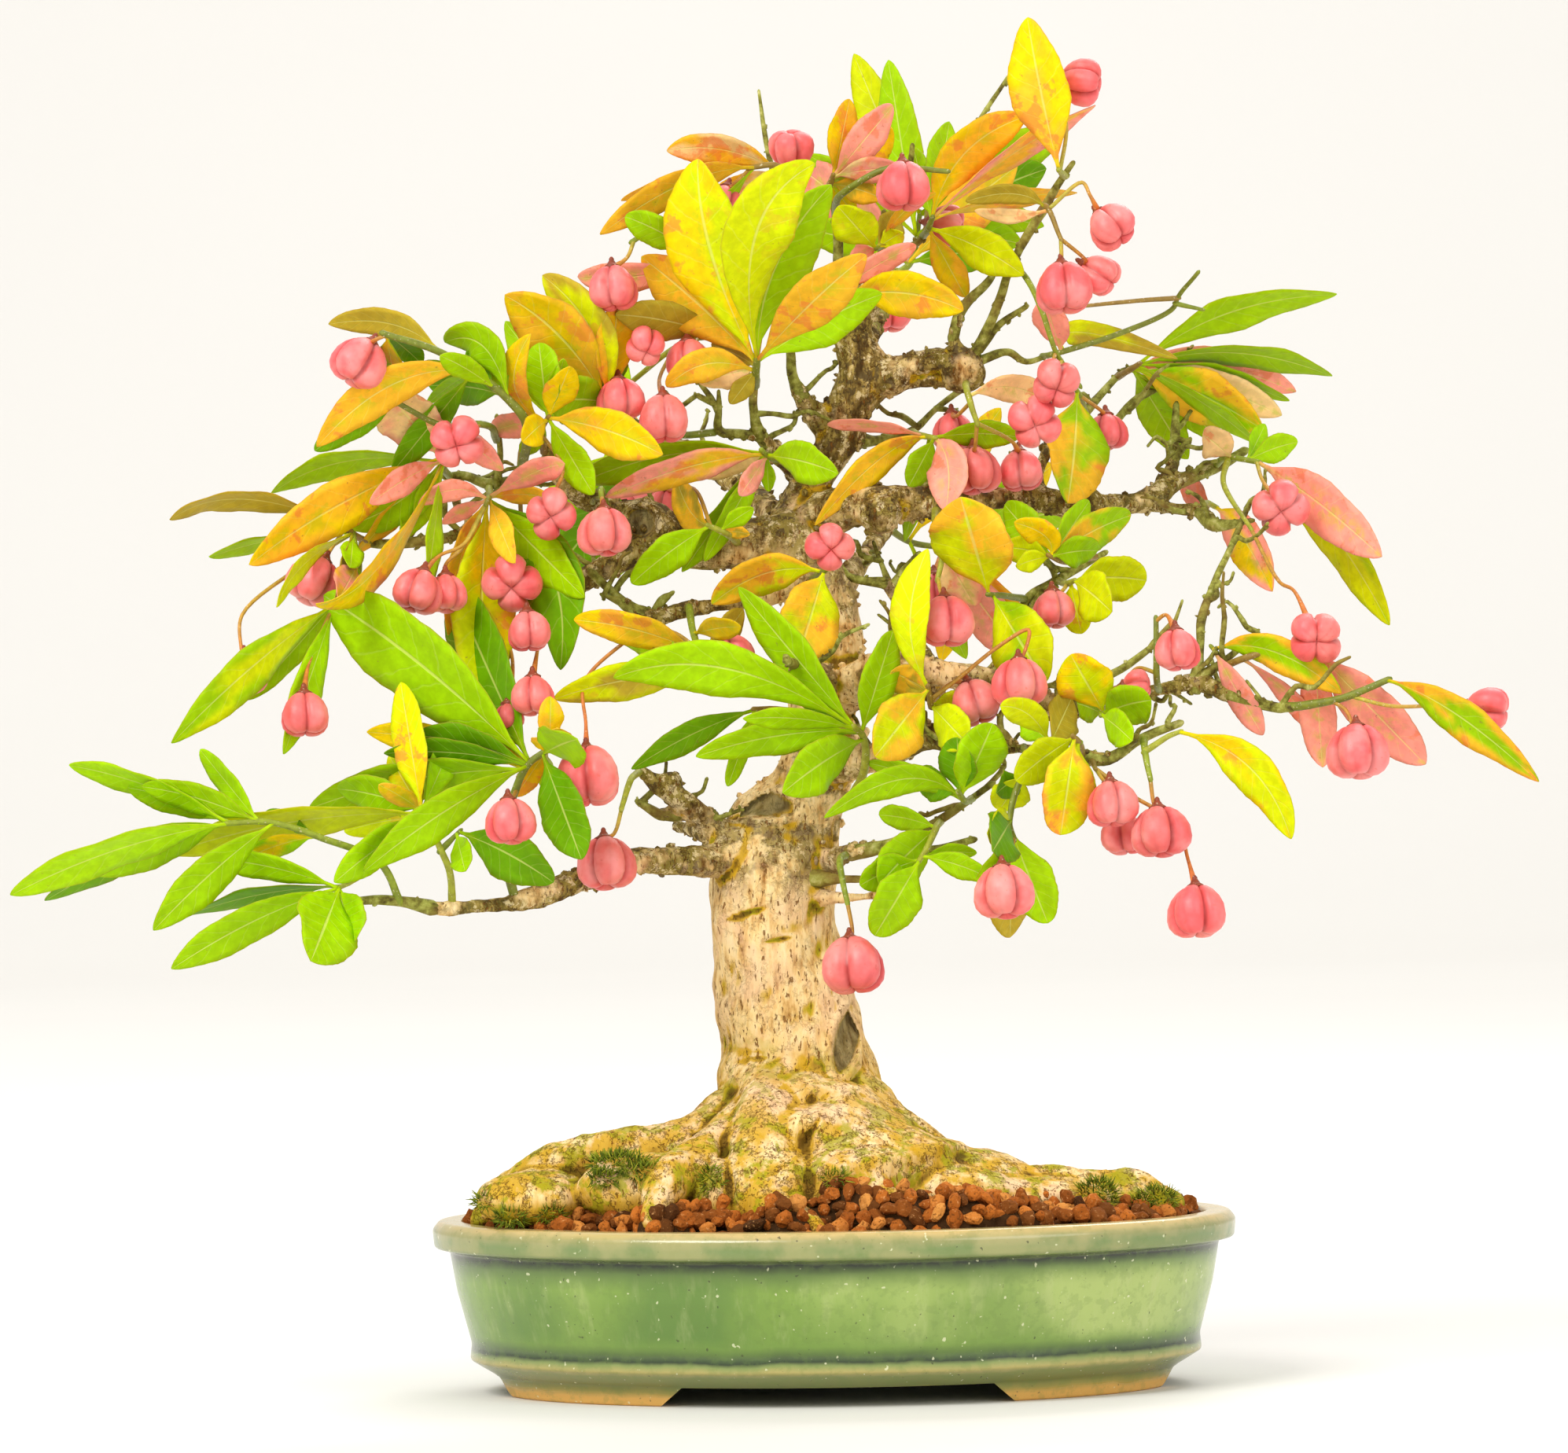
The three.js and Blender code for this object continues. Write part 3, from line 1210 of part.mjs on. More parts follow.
    fruits: [[700, 652, -62, 66, FACES, [[690, 552], [716, 596], [706, 625]]]],
  },
  {
    name: 'leafy_stem_centre_long',
    stems: [[[990, 584, -4], [976, 580, -22], [968, 572, -26]]],
    leaves: [
      [972, 577, 728, 618, 42, 'g', -4, 850, 578],
      [973, 579, 770, 632, 40, 'op', -12, 880, 592],
      [974, 580, 890, 606, 30, 's', 8],
      [975, 580, 940, 630, 26, 'p', -10],
      [975, 579, 1066, 602, 48, 'g', -12],
    ],
  },
  {
    name: 'leafy_stem_left_inner',
    stems: [[[940, 692, -10], [922, 678, -30], [900, 668, -34]]],
    leaves: [
      [902, 669, 803, 742, 46, 'g', -6],
      [906, 670, 862, 612, 40, 'bo', 6, 880, 652],
      [916, 675, 958, 646, 22, 'g', -2],
    ],
    fruits: [[850, 648, 4, 60, [0, -1, -0.3], [[904, 670], [886, 625], [866, 620]]]],
  },
  {
    name: 'leafy_stem_left_long',
    thick: 1.25,
    stems: [[
      [660, 612, -40], [668, 535, -56], [640, 502, -58], [600, 471, -60], [555, 446, -62],
      [487, 424, -64],
    ]],
    leaves: [
      [600, 475, 403, 568, 50, 'o', -8, 500, 488],
      [560, 449, 418, 412, 38, 'b', 8, 500, 412],
      [492, 426, 505, 502, 40, 'yg', -6],
      [650, 508, 566, 435, 44, 'g', 8, 615, 440],
      [640, 502, 545, 490, 46, 'd', 6],
      [600, 474, 505, 476, 24, 'd', -4],
      [630, 494, 560, 452, 30, 'g', -12],
    ],
    fruits: [[455, 464, -70, 72, [-0.6, -1, 0.3], [[492, 426], [478, 432]]]],
  },
  {
    name: 'leafy_stem_left_outer',
    stems: [
      [[470, 691, -51], [448, 678, -60], [436, 666, -62]],
      [[448, 678, -60], [456, 730, -64], [424, 770, -66]],
    ],
    leaves: [
      [446, 680, 266, 708, 18, 'g', -6],
      [440, 670, 216, 661, 24, 'b', 4, 310, 634],
      [450, 684, 445, 722, 28, 'g', -8],
      [446, 680, 352, 772, 14, 'l', -4, 385, 718],
      [426, 768, 218, 945, 44, 'lg', -8],
      [430, 764, 315, 890, 32, 'g', 6],
      [452, 720, 430, 762, 40, 'op', -12],
    ],
    fruits: [
      [398, 742, -68, 72, [-0.5, -1, 0.3], [[440, 670], [420, 700]]],
      [312, 862, -58, 60, HANGS, [[446, 680], [380, 722], [308, 782], [306, 818]]],
      [388, 912, -72, 64, HANGS, [[426, 768], [411, 800], [392, 846]]],
    ],
  },
  {
    name: 'leafy_stem_left_yellow',
    stems: [[[572, 606, -45], [563, 592, -58], [562, 578, -60]]],
    leaves: [
      [562, 582, 317, 718, 60, 'yo', -8, 430, 642],
      [562, 586, 470, 640, 32, 'p', -14],
      [563, 588, 345, 627, 28, 'g', 8, 440, 586],
      [563, 590, 438, 668, 46, 'g', 2, 500, 642],
      [562, 582, 470, 510, 40, 'g', 10],
      [562, 580, 492, 498, 76, 'ps', -8],
      [563, 590, 402, 768, 20, 'oy', -10, 480, 722],
    ],
  },
  {
    name: 'leafy_stem_left_large_yellow',
    stems: [[[622, 620, -42], [622, 632, -56], [618, 642, -60]]],
    leaves: [
      [620, 640, 612, 892, 78, 'yl', -10, 612, 760],
      [619, 640, 570, 808, 30, 'o', 6, 588, 700],
      [620, 636, 532, 642, 26, 'p', -6, 580, 622],
      [623, 632, 718, 590, 34, 'p', -8, 680, 600],
      [622, 634, 655, 716, 32, 'o', -8],
      [622, 636, 713, 852, 72, 'd', 14, 700, 720],
    ],
    fruits: [
      [530, 755, -72, 64, [-0.3, -1, 0.3], [[618, 641], [590, 692], [560, 706]]],
      [568, 758, -62, 56, HANGS, [[619, 641], [588, 696], [568, 716]]],
    ],
  },
  {
    name: 'leafy_stem_left_dark',
    stems: [[[632, 560, -45], [616, 540, -60], [560, 540, -64], [505, 512, -66]]],
    leaves: [
      [505, 512, 400, 573, 34, 'd', -2],
      [560, 540, 640, 598, 30, 'p', 2],
    ],
    fruits: [[580, 562, -76, 70, FACES, [[612, 540], [600, 546]]]],
  },
  {
    name: 'fruits_left_cluster',
    thick: 0.85,
    stems: [[[694, 566, -42], [664, 568, -66], [663, 690, -68]]],
    fruits: [
      [650, 742, -78, 76, FACES, [[663, 688], [656, 702]]],
      [698, 752, -70, 66, [0.5, -0.8, 0.3], [[663, 686], [680, 712]]],
      [672, 806, -76, 58, HANGS, [[663, 688], [682, 730], [668, 770]]],
      [679, 888, -78, 58, HANGS, [[663, 689], [692, 780], [684, 824]]],
      [648, 914, -68, 40, HANGS, [[663, 689], [640, 780], [652, 842]]],
    ],
  },
  {
    name: 'fruit_left_single',
    stems: [[[772, 648, -26], [764, 622, -46], [765, 634, -50]]],
    fruits: [[770, 680, -56, 70, HANGS, [[765, 630]]]],
  },
  {
    name: 'fruit_right_red_stalk',
    stems: [[[1190, 645, -8], [1190, 668, -28], [1199, 700, -32], [1192, 738, -34]]],
    leaves: [[1198, 700, 1240, 770, 46, 'sp', 8]],
    fruits: [[1203, 794, -42, 74, HANGS, [[1192, 735], [1196, 752]]]],
  },
  {
    name: 'fruit_top_twig',
    stems: [[[1062, 272, 2], [1074, 244, -12], [1130, 214, -16], [1205, 218, -18]]],
    fruits: [[1150, 240, 2, 72, HANGS, [[1148, 214], [1150, 222]]]],
  },
  {
    name: 'fruits_top_right',
    thick: 0.85,
    stems: [[[1320, 272, -18], [1332, 264, -30], [1350, 306, -36]]],
    leaves: [
      [1331, 266, 1228, 256, 26, 'b', 6, 1290, 246],
      [1332, 268, 1240, 268, 18, 's', 12, 1285, 274],
    ],
    fruits: [
      [1352, 370, -44, 76, HANGS, [[1349, 304], [1350, 338]]],
      [1400, 350, -38, 56, [0.7, -0.5, 0.3], [[1349, 304], [1380, 330]]],
      [1415, 290, -38, 62, [0.5, -0.6, 0.4], [[1334, 266], [1376, 232], [1386, 248]]],
    ],
  },
  {
    name: 'fruits_right_hanging',
    thick: 0.85,
    stems: [[[1288, 335, -16], [1304, 352, -30], [1325, 395, -42], [1343, 448, -46], [1374, 492, -46]]],
    fruits: [
      [1343, 488, -50, 64, [0, -0.5, 0.9], [[1350, 458], [1346, 468]]],
      [1315, 537, -52, 70, FACES, [[1343, 448], [1328, 490]]],
    ],
  },
  {
    name: 'fruits_centre_right',
    stems: [[[1228, 485, -8], [1231, 502, -26], [1243, 540, -28]]],
    leaves: [[1232, 504, 1340, 516, 36, 's', 4, 1285, 492]],
    fruits: [
      [1212, 552, -12, 56, HANGS, [[1234, 512], [1218, 528]]],
      [1240, 602, -14, 70, HANGS, [[1243, 538], [1240, 570]]],
      [1298, 602, -12, 60, HANGS, [[1243, 538], [1285, 560]]],
    ],
  },
  {
    name: 'fruit_right_side_stalk',
    stems: [[[1474, 878, -26], [1471, 862, -40], [1470, 786, -44]]],
    fruits: [
      [1497, 830, -50, 60, HANGS, [[1470, 790], [1482, 782]]],
      [1448, 872, -42, 40, [1, 0.1, 0.2], [[1470, 856], [1446, 850]]],
    ],
  },
  {
    name: 'fruits_right_low',
    thick: 0.85,
    stems: [[[1388, 966, -42], [1393, 978, -60]]],
    fruits: [
      [1414, 1026, -64, 66, HANGS, [[1392, 976], [1403, 992]]],
      [1430, 1064, -52, 60, HANGS, [[1393, 978], [1426, 1020]]],
      [1523, 1163, -70, 76, HANGS, [[1393, 977], [1440, 1012], [1496, 1048], [1511, 1094]]],
    ],
  },
  {
    name: 'fruit_trunk_front',
    stems: [[[1078, 1086, -12], [1068, 1100, -30], [1078, 1150, -34]]],
    fruits: [[1083, 1232, -42, 84, HANGS, [[1077, 1145], [1084, 1185]]]],
  },
  {
    name: 'fruit_low_left',
    stems: [[[815, 980, -14], [801, 994, -26], [790, 1030, -32]]],
    fruits: [[770, 1102, -38, 78, HANGS, [[791, 1026], [781, 1060]]]],
  },
];

// On the far side the sprays follow a rule: pairs of leaves along a stem, and a fruit
const FAR_PAIRS = 3;
const FAR_TURN = 0.9;
const FAR_LEAF = { reach: 150, spare: 90, width: 44, extra: 26, lean: 2, swing: 16 };
const FAR_TINTS = 'ggldyop';
const FAR_SEED = 131;

function farSpray(name, rows, fruit) {
  const random = draws(name.length * FAR_SEED);
  const leaves = [];
  const [ax, ay] = rows[0];
  const [bx, by] = rows[rows.length - 1];
  for (let i = 0; i < FAR_PAIRS; i += 1) {
    const share = 0.3 + (0.7 * i) / (FAR_PAIRS - 1);
    const across = ax + (bx - ax) * share;
    const down = ay + (by - ay) * share;
    for (const turn of [FAR_TURN, -FAR_TURN]) {
      const heading = Math.atan2(by - ay, bx - ax) + turn + (random() - 0.5) * 0.8;
      const reach = FAR_LEAF.reach + random() * FAR_LEAF.spare;
      const tint = FAR_TINTS[Math.floor(random() * FAR_TINTS.length)];
      const tip = [across + Math.cos(heading) * reach, down + Math.sin(heading) * reach];
      const width = FAR_LEAF.width + random() * FAR_LEAF.extra;
      leaves.push([across, down, ...tip, width, tint, FAR_LEAF.lean + random() * FAR_LEAF.swing]);
    }
  }
  return { name, stems: [rows], leaves, fruits: [[...fruit, HANGS, [fruit.slice(0, 2)]]] };
}

SPRAYS.push(
  farSpray(
    'leafy_stem_far_right',
    [[1130, 672, 55], [1160, 690, 64], [1230, 700, 70]],
    [1190, 760, 60, 66],
  ),
  farSpray(
    'leafy_stem_far_left',
    [[866, 565, 55], [830, 560, 63], [770, 575, 70]],
    [815, 620, 62, 66],
  ),
  farSpray(
    'leafy_stem_far_top',
    [[1138, 350, 47], [1160, 330, 56], [1170, 270, 62]],
    [1130, 400, 52, 62],
  ),
);

// The whole, standing on its feet with the middle of its outline over the origin

const woodLimbs = [...trunkAndRoots(), ...BOUGHS.map(bough)];
for (const [across, down, depth, radius] of KNOTS) {
  const knot = new THREE.IcosahedronGeometry(radius, 0);
  knot.translate(...at(across, down, depth));
  woodLimbs.push(fromGeometry(knot));
}
const pot = potBody();
const soil = soilBody(wasm.Manifold.union(trunkAndRoots(2 * GAP)));
const wood = woodBody(woodLimbs);
addNode('pot', pot, COLOURS.glaze, 0.25);
addNode('soil', soil, COLOURS.soil, 1);
addNode('wood', wood, COLOURS.bark, 0.85);
stand('pot', pot);
stand('soil', soil);
for (const part of woodLimbs) stand('wood', part);

for (const row of SPRAYS) spray(row);

const outline = new THREE.Box3().setFromObject(group);
const middle = outline.getCenter(new THREE.Vector3());
group.position.set(-middle.x, -middle.y, -outline.min.z);

export default group;
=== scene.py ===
# %% [markdown]
# # Spindle tree bonsai
#
# An old spindle tree in an oval glazed pot is dressed here, piece by piece, over its packed
# solids: fine wood, soil grains, moss, leaves that turn colour, and four-lobed fruits.
# Lengths are in metres once they are in Blender. The tables hold places as they are seen from
# the front, which the function `at` turns into points in space.

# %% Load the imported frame
import math
import bmesh
import bpy
import numpy as np
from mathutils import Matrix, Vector
from mathutils.bvhtree import BVHTree
from mathutils.kdtree import KDTree


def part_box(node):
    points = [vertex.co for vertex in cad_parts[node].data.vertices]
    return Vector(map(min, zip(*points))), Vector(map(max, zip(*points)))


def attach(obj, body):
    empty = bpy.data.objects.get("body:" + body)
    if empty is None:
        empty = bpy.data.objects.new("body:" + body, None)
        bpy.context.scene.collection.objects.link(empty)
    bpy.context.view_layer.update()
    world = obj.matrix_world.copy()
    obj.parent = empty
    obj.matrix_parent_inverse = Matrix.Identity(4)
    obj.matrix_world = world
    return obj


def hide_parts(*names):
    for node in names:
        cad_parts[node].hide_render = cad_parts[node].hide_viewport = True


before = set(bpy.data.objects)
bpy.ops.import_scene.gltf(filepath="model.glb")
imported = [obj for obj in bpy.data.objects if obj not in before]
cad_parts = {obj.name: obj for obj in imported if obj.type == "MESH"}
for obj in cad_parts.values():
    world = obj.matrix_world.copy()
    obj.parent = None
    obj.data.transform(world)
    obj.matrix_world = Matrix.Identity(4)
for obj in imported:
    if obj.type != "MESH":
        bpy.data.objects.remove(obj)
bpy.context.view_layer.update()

# %% [markdown]
# ## Names for the sizes
#
# These are the same numbers that drive the solids. One unit of the front view is
# 1/5.374 mm at the trunk.

# %% Sizes
MM = 0.001
VIEW_MIDDLE = (997, 924)
VIEW_SCALE = 5.374
VIEW_DISTANCE = 1850
VIEW_HEIGHT = 156.5
VIEW_SIDE = -10
VIEW_TURN = math.radians(0.9)
PHOTO_WIDTH = 1994
# Parts of the crown that lie farther back: across, down, two reaches, millimetres
SWEEPS = [(480, 620, 330, 230, 46), (1600, 520, 300, 200, 46)]
POT_INSET = 25
POT_HEIGHT = 41
FOOT_HEIGHT = 4.5
FLOOR_TOP = 9.5
LEAF_RATIO = 0.3
DEPTH_SHIFTS = [0, -3, 3, -6, 6, -9, 9, -13, 13, -17, 17, -22, 22, -28, 28, -34, 34]
# Ways that a fruit points: to the right, up, and towards the front
HANGS = [0.05, -1, 0.25]
AIMS = dict(hangs=HANGS, faces=[0.05, -0.35, 1], right=[1, -0.15, 0.2])

# The trunk leans to the right as it rises. Kinds of bark begin and end between two heights
LEAN, LEAN_FROM = 0.124, 0.105
ROOT_ZONE, LOW_BOUGHS = (0.096, 0.056), (0.085, 0.1)
ROUGH_BAND, OLD_BARK = (0.112, 0.126), (0.178, 0.205)

pot_low, pot_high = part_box("pot")
POT_CENTRE = np.array([(pot_low[0] + pot_high[0]) / 2, (pot_low[1] + pot_high[1]) / 2, 0])
print("pot centre", POT_CENTRE.round(4))

# %% [markdown]
# ## Where the wood grows
#
# Each row is across, down, depth behind the trunk in millimetres, and the width that is seen.
# The long tables are text: spaces part the numbers, commas the rows, and slashes the paths.

# %% Tables of the wood
def rows_in(table):
    """Rows of numbers from a table. Tints and ways to point stay words."""
    return [[word if word[0].isalpha() else float(word) for word in row.split()]
            for row in table.split(",") if row.strip()]


def paths_in(table):
    """Several paths, parted by slashes."""
    return [rows_in(path) for path in table.split("/") if path]


TRUNK = rows_in("""
  1008 1505 2 190, 1016 1440 2 200, 1022 1395 1 202, 1013 1340 0 186, 1000 1290 0 178,
  992 1240 0 168, 984 1180 0 160, 984 1120 0 162, 998 1060 2 150, 1030 1000 0 100, 1043 940 0 88,
  1045 880 0 88, 1048 820 0 104, 1044 770 0 92, 1028 720 0 84, 1012 680 0 82, 1020 640 2 58,
  1045 595 0 46, 1066 560 0 52, 1082 515 0 60, 1100 478 0 72, 1090 445 0 54, 1084 415 0 46,
  1098 385 0 46, 1108 345 0 36""")

ROOTS = paths_in("""
  965 1410 -6 100, 880 1452 -16 66, 800 1462 -20 58, 715 1478 -22 54, 655 1512 -20 50, 615 1550 -16 30 /
  960 1430 -14 90, 900 1470 -30 60, 850 1505 -44 56, 830 1550 -52 30 /
  985 1400 -14 100, 968 1470 -34 86, 972 1530 -44 66, 1030 1560 -54 40 /
  1075 1400 -6 100, 1150 1446 -12 66, 1235 1502 -16 52, 1330 1505 -16 44, 1395 1514 -14 56,
  1450 1516 -12 54, 1490 1560 -8 26 /
  1062 1420 -18 90, 1085 1490 -36 74, 1130 1530 -46 40, 1200 1532 -48 30, 1275 1540 -46 20 /
  1060 1440 14 90, 1130 1475 34 56, 1210 1495 44 40, 1260 1530 48 22 /
  980 1440 18 96, 930 1475 40 60, 870 1500 48 36, 838 1526 44 22 /
  1010 1440 20 90, 1015 1485 46 50, 1000 1525 58 24""")

FLARE = rows_in("""
  1005 1330 0 172, 1008 1390 -2 198, 1012 1435 -5 244, 1022 1478 -8 316, 1034 1525 -10 420""")

SWELLINGS = [
  [[850, 1508, -14], [32, 17, 12]],
  [[740, 1518, -16], [22, 12, 9.5]],
  [[1185, 1515, -12], [27, 19, 11]],
  [[1400, 1530, -12], [20, 10, 6]],
]

BOUGHS = paths_in("""
  990 1085 -2 118, 935 1082 -6 66, 905 1095 -10 44, 840 1094 -18 33, 800 1097 -22 33, 740 1118 -30 33,
  690 1138 -36 32, 640 1150 -42 22, 600 1153 -46 18, 550 1155 -50 20, 500 1145 -54 13, 452 1146 -58 11 /
  940 1075 -6 56, 905 1050 -6 34, 870 1020 -10 26, 840 1000 -12 24, 810 975 -16 14 /
  880 1030 -8 22, 862 1035 -8 20, 840 1036 -10 14, 812 1020 -12 9 /
  1010 690 -2 84, 960 690 -6 66, 880 702 -14 44, 830 665 -20 58, 780 650 -24 30, 745 632 -30 32,
  712 604 -36 24, 690 560 -42 16 /
  835 690 -20 40, 790 712 -24 34, 742 738 -28 30 /
  1030 735 -4 40, 975 755 -10 36, 920 768 -16 20, 870 776 -22 20, 828 785 -26 22, 800 772 -28 16,
  775 750 -30 12, 752 728 -32 12 /
  830 780 -26 10, 842 764 -26 12, 855 754 -27 6 /
  800 772 -28 12, 785 764 -30 10, 765 756 -32 5 /
  1025 665 0 66, 1080 645 -4 56, 1130 640 -6 52, 1185 640 -8 42, 1250 636 -6 26, 1310 632 -4 38,
  1372 645 -4 34, 1430 642 -4 26, 1470 632 -4 30, 1500 612 -4 20, 1545 595 -4 15, 1582 574 -4 12 /
  1462 636 -4 24, 1490 647 -8 17, 1526 650 -12 20, 1545 668 -16 17, 1592 662 -20 7 /
  1475 625 -4 20, 1492 590 -2 16, 1494 555 0 13, 1496 515 2 9 /
  1490 592 -2 13, 1502 572 -4 10, 1512 560 -5 8 /
  1318 640 -4 28, 1322 600 -1 14, 1340 560 3 14, 1375 530 8 14, 1410 490 12 10, 1428 472 14 9 /
  1378 640 -4 24, 1392 600 0 12, 1404 560 4 11, 1440 512 6 11, 1480 490 8 8 /
  1060 880 -2 70, 1110 862 -10 60, 1150 848 -16 46, 1205 858 -18 34, 1260 868 -18 36, 1310 888 -20 26,
  1360 898 -22 24, 1420 888 -24 20, 1480 876 -26 17, 1525 868 -28 24, 1565 885 -32 19,
  1625 900 -38 13, 1642 900 -40 12 /
  1522 870 -28 22, 1526 830 -28 10, 1528 788 -26 12, 1545 740 -24 9, 1570 685 -22 8, 1588 642 -20 8 /
  1520 866 -28 18, 1555 842 -30 10, 1582 820 -32 7, 1600 802 -34 5 /
  1360 898 -22 18, 1375 880 -28 12, 1435 845 -32 10, 1478 812 -34 7 /
  1240 870 -16 22, 1262 852 -12 14, 1274 832 -10 10 /
  1175 870 -14 40, 1192 885 -12 22, 1180 840 -8 18, 1150 800 -4 17, 1140 762 -2 15, 1132 745 -2 17,
  1095 738 -2 11, 1050 724 -2 12 /
  1134 748 -2 14, 1150 725 -4 10, 1168 705 -6 8 /
  1132 745 -2 10, 1120 715 0 7, 1111 690 1 5 /
  1055 965 -4 70, 1110 965 -14 40, 1180 935 -24 38, 1230 955 -30 16, 1300 952 -36 13, 1370 962 -42 22,
  1410 965 -44 16, 1450 940 -46 12, 1500 920 -50 10 /
  1290 952 -36 11, 1275 935 -38 16, 1265 925 -40 9 /
  1040 1105 -4 44, 1080 1085 -14 22, 1140 1072 -20 16, 1200 1040 -24 11, 1232 1018 -26 9,
  1262 997 -28 8 /
  1130 1076 -20 14, 1185 1080 -24 9, 1238 1068 -28 9 /
  1020 1118 -8 30, 1075 1118 -16 10, 1115 1118 -20 9 /
  1020 1140 -8 30, 1075 1142 -16 15, 1125 1138 -22 15 /
  1100 480 0 52, 1150 466 -4 30, 1200 460 -6 34, 1225 468 -8 44, 1212 430 -8 15, 1222 395 -8 14,
  1255 360 -10 11, 1266 345 -10 8 /
  1110 500 0 26, 1160 486 -4 18, 1215 478 -6 24, 1240 448 -10 14, 1270 385 -14 12, 1285 340 -16 10,
  1312 290 -18 12, 1330 262 -18 12, 1345 235 -20 10, 1364 208 -22 7 /
  1245 445 -10 12, 1272 412 -12 9, 1305 390 -14 7 /
  1228 470 -8 20, 1255 455 -10 12, 1282 448 -12 10, 1305 460 -14 8, 1338 450 -16 6 /
  1085 560 0 26, 1115 560 3 14, 1160 548 6 10, 1190 520 8 8, 1228 492 4 8 /
  1050 540 0 40, 1020 505 -4 22, 1008 480 -6 14, 1004 440 -8 12, 985 400 -10 9 /
  1020 600 0 34, 990 580 -4 22, 968 555 -8 18, 958 520 -12 11, 960 478 -16 10 /
  965 555 -8 14, 945 552 -10 13, 915 548 -13 12, 914 522 -14 9, 914 498 -14 5 /
  1092 420 0 30, 1062 380 2 16, 1066 320 2 13, 1062 262 2 12, 1058 240 2 9 /
  1104 375 0 26, 1120 330 -4 15, 1145 270 -8 11, 1156 228 -10 10, 1160 186 -12 7 /
  1122 325 -4 12, 1122 295 -6 9, 1124 270 -8 7 /
  1108 350 0 22, 1140 325 4 12, 1175 300 8 9, 1182 262 10 8, 1225 185 14 6, 1282 98 18 6 /
  700 590 -38 24, 660 612 -40 16, 620 615 -42 14, 590 605 -44 12, 566 606 -46 10 /
  585 608 -44 14, 580 640 -46 14, 598 664 -46 12, 570 684 -46 14, 500 692 -50 14, 462 691 -52 10 /
  632 618 -42 12, 636 580 -44 8, 632 530 -46 7 /
  1310 888 -20 26, 1300 830 -8 14, 1304 765 -6 12, 1345 738 -8 12, 1405 703 -10 8 /
  990 410 -9 11, 992 340 -5 9, 1002 275 -3 9, 985 225 2 8, 976 190 4 7, 965 116 6 4""")
# Boughs on the far side
BOUGHS += paths_in("""
  1046 800 4 70, 1070 745 22 34, 1105 700 42 24, 1135 668 60 14 /
  1012 690 6 60, 970 640 20 34, 915 600 40 24, 862 562 60 14 /
  1090 470 6 44, 1106 425 20 24, 1128 380 38 16, 1140 345 52 11 /
  1035 1000 6 60, 1070 960 24 26, 1100 930 40 16 /
  955 1085 6 60, 900 1060 24 26, 860 1050 38 16 /
  1045 870 -8 50, 1020 850 -30 20, 1000 840 -52 11""")

KNOTS = [
  [852, 995, -12, 3], [1130, 482, -4, 5.2], [1380, 640, -6, 4.6], [1120, 655, -10, 5.4],
  [1150, 850, -20, 5], [1225, 475, -8, 5.6],
]

SCARS = [
  dict(at=[952, 1020, -15], wide=7.6, high=3.6, turn=-0.12, deep=2),
  dict(at=[1076, 1326, -16.5], wide=2.3, high=7.2, turn=-0.22, deep=2.6),
  dict(at=[816, 664, -26], wide=2.8, high=3.6, turn=0, deep=2),
]

CLEFTS = [
  [[1026, 1478, -27], 2.2, 9, 0.06],
  [[926, 1490, -27], 2, 8, 0.1],
]
print(len(ROOTS), "roots and", len(BOUGHS), "boughs")

# %% [markdown]
# ## Where leaves and fruits grow
#
# A spray has a table of stems, one of leaves and one of fruits. Stems are rows of across, down
# and depth. A leaf row is base, tip, width seen, tints, lean in millimetres and the middle of the
# blade. A fruit starts with place, depth, width and the way that it points. The bends of its
# stalk follow.

# %% Tables of the sprays
def spray(name, stems, leaves="", fruits="", thick=1.0):
    """One spray of stems, leaves and fruits from its tables."""
    fruit_rows = [[*first[:4], AIMS[first[4]] if len(first) == 5 else first[4:], bends]
                  for first, *bends in paths_in(fruits)]
    return dict(name=name, stems=paths_in(stems), leaves=rows_in(leaves), fruits=fruit_rows, thick=thick)


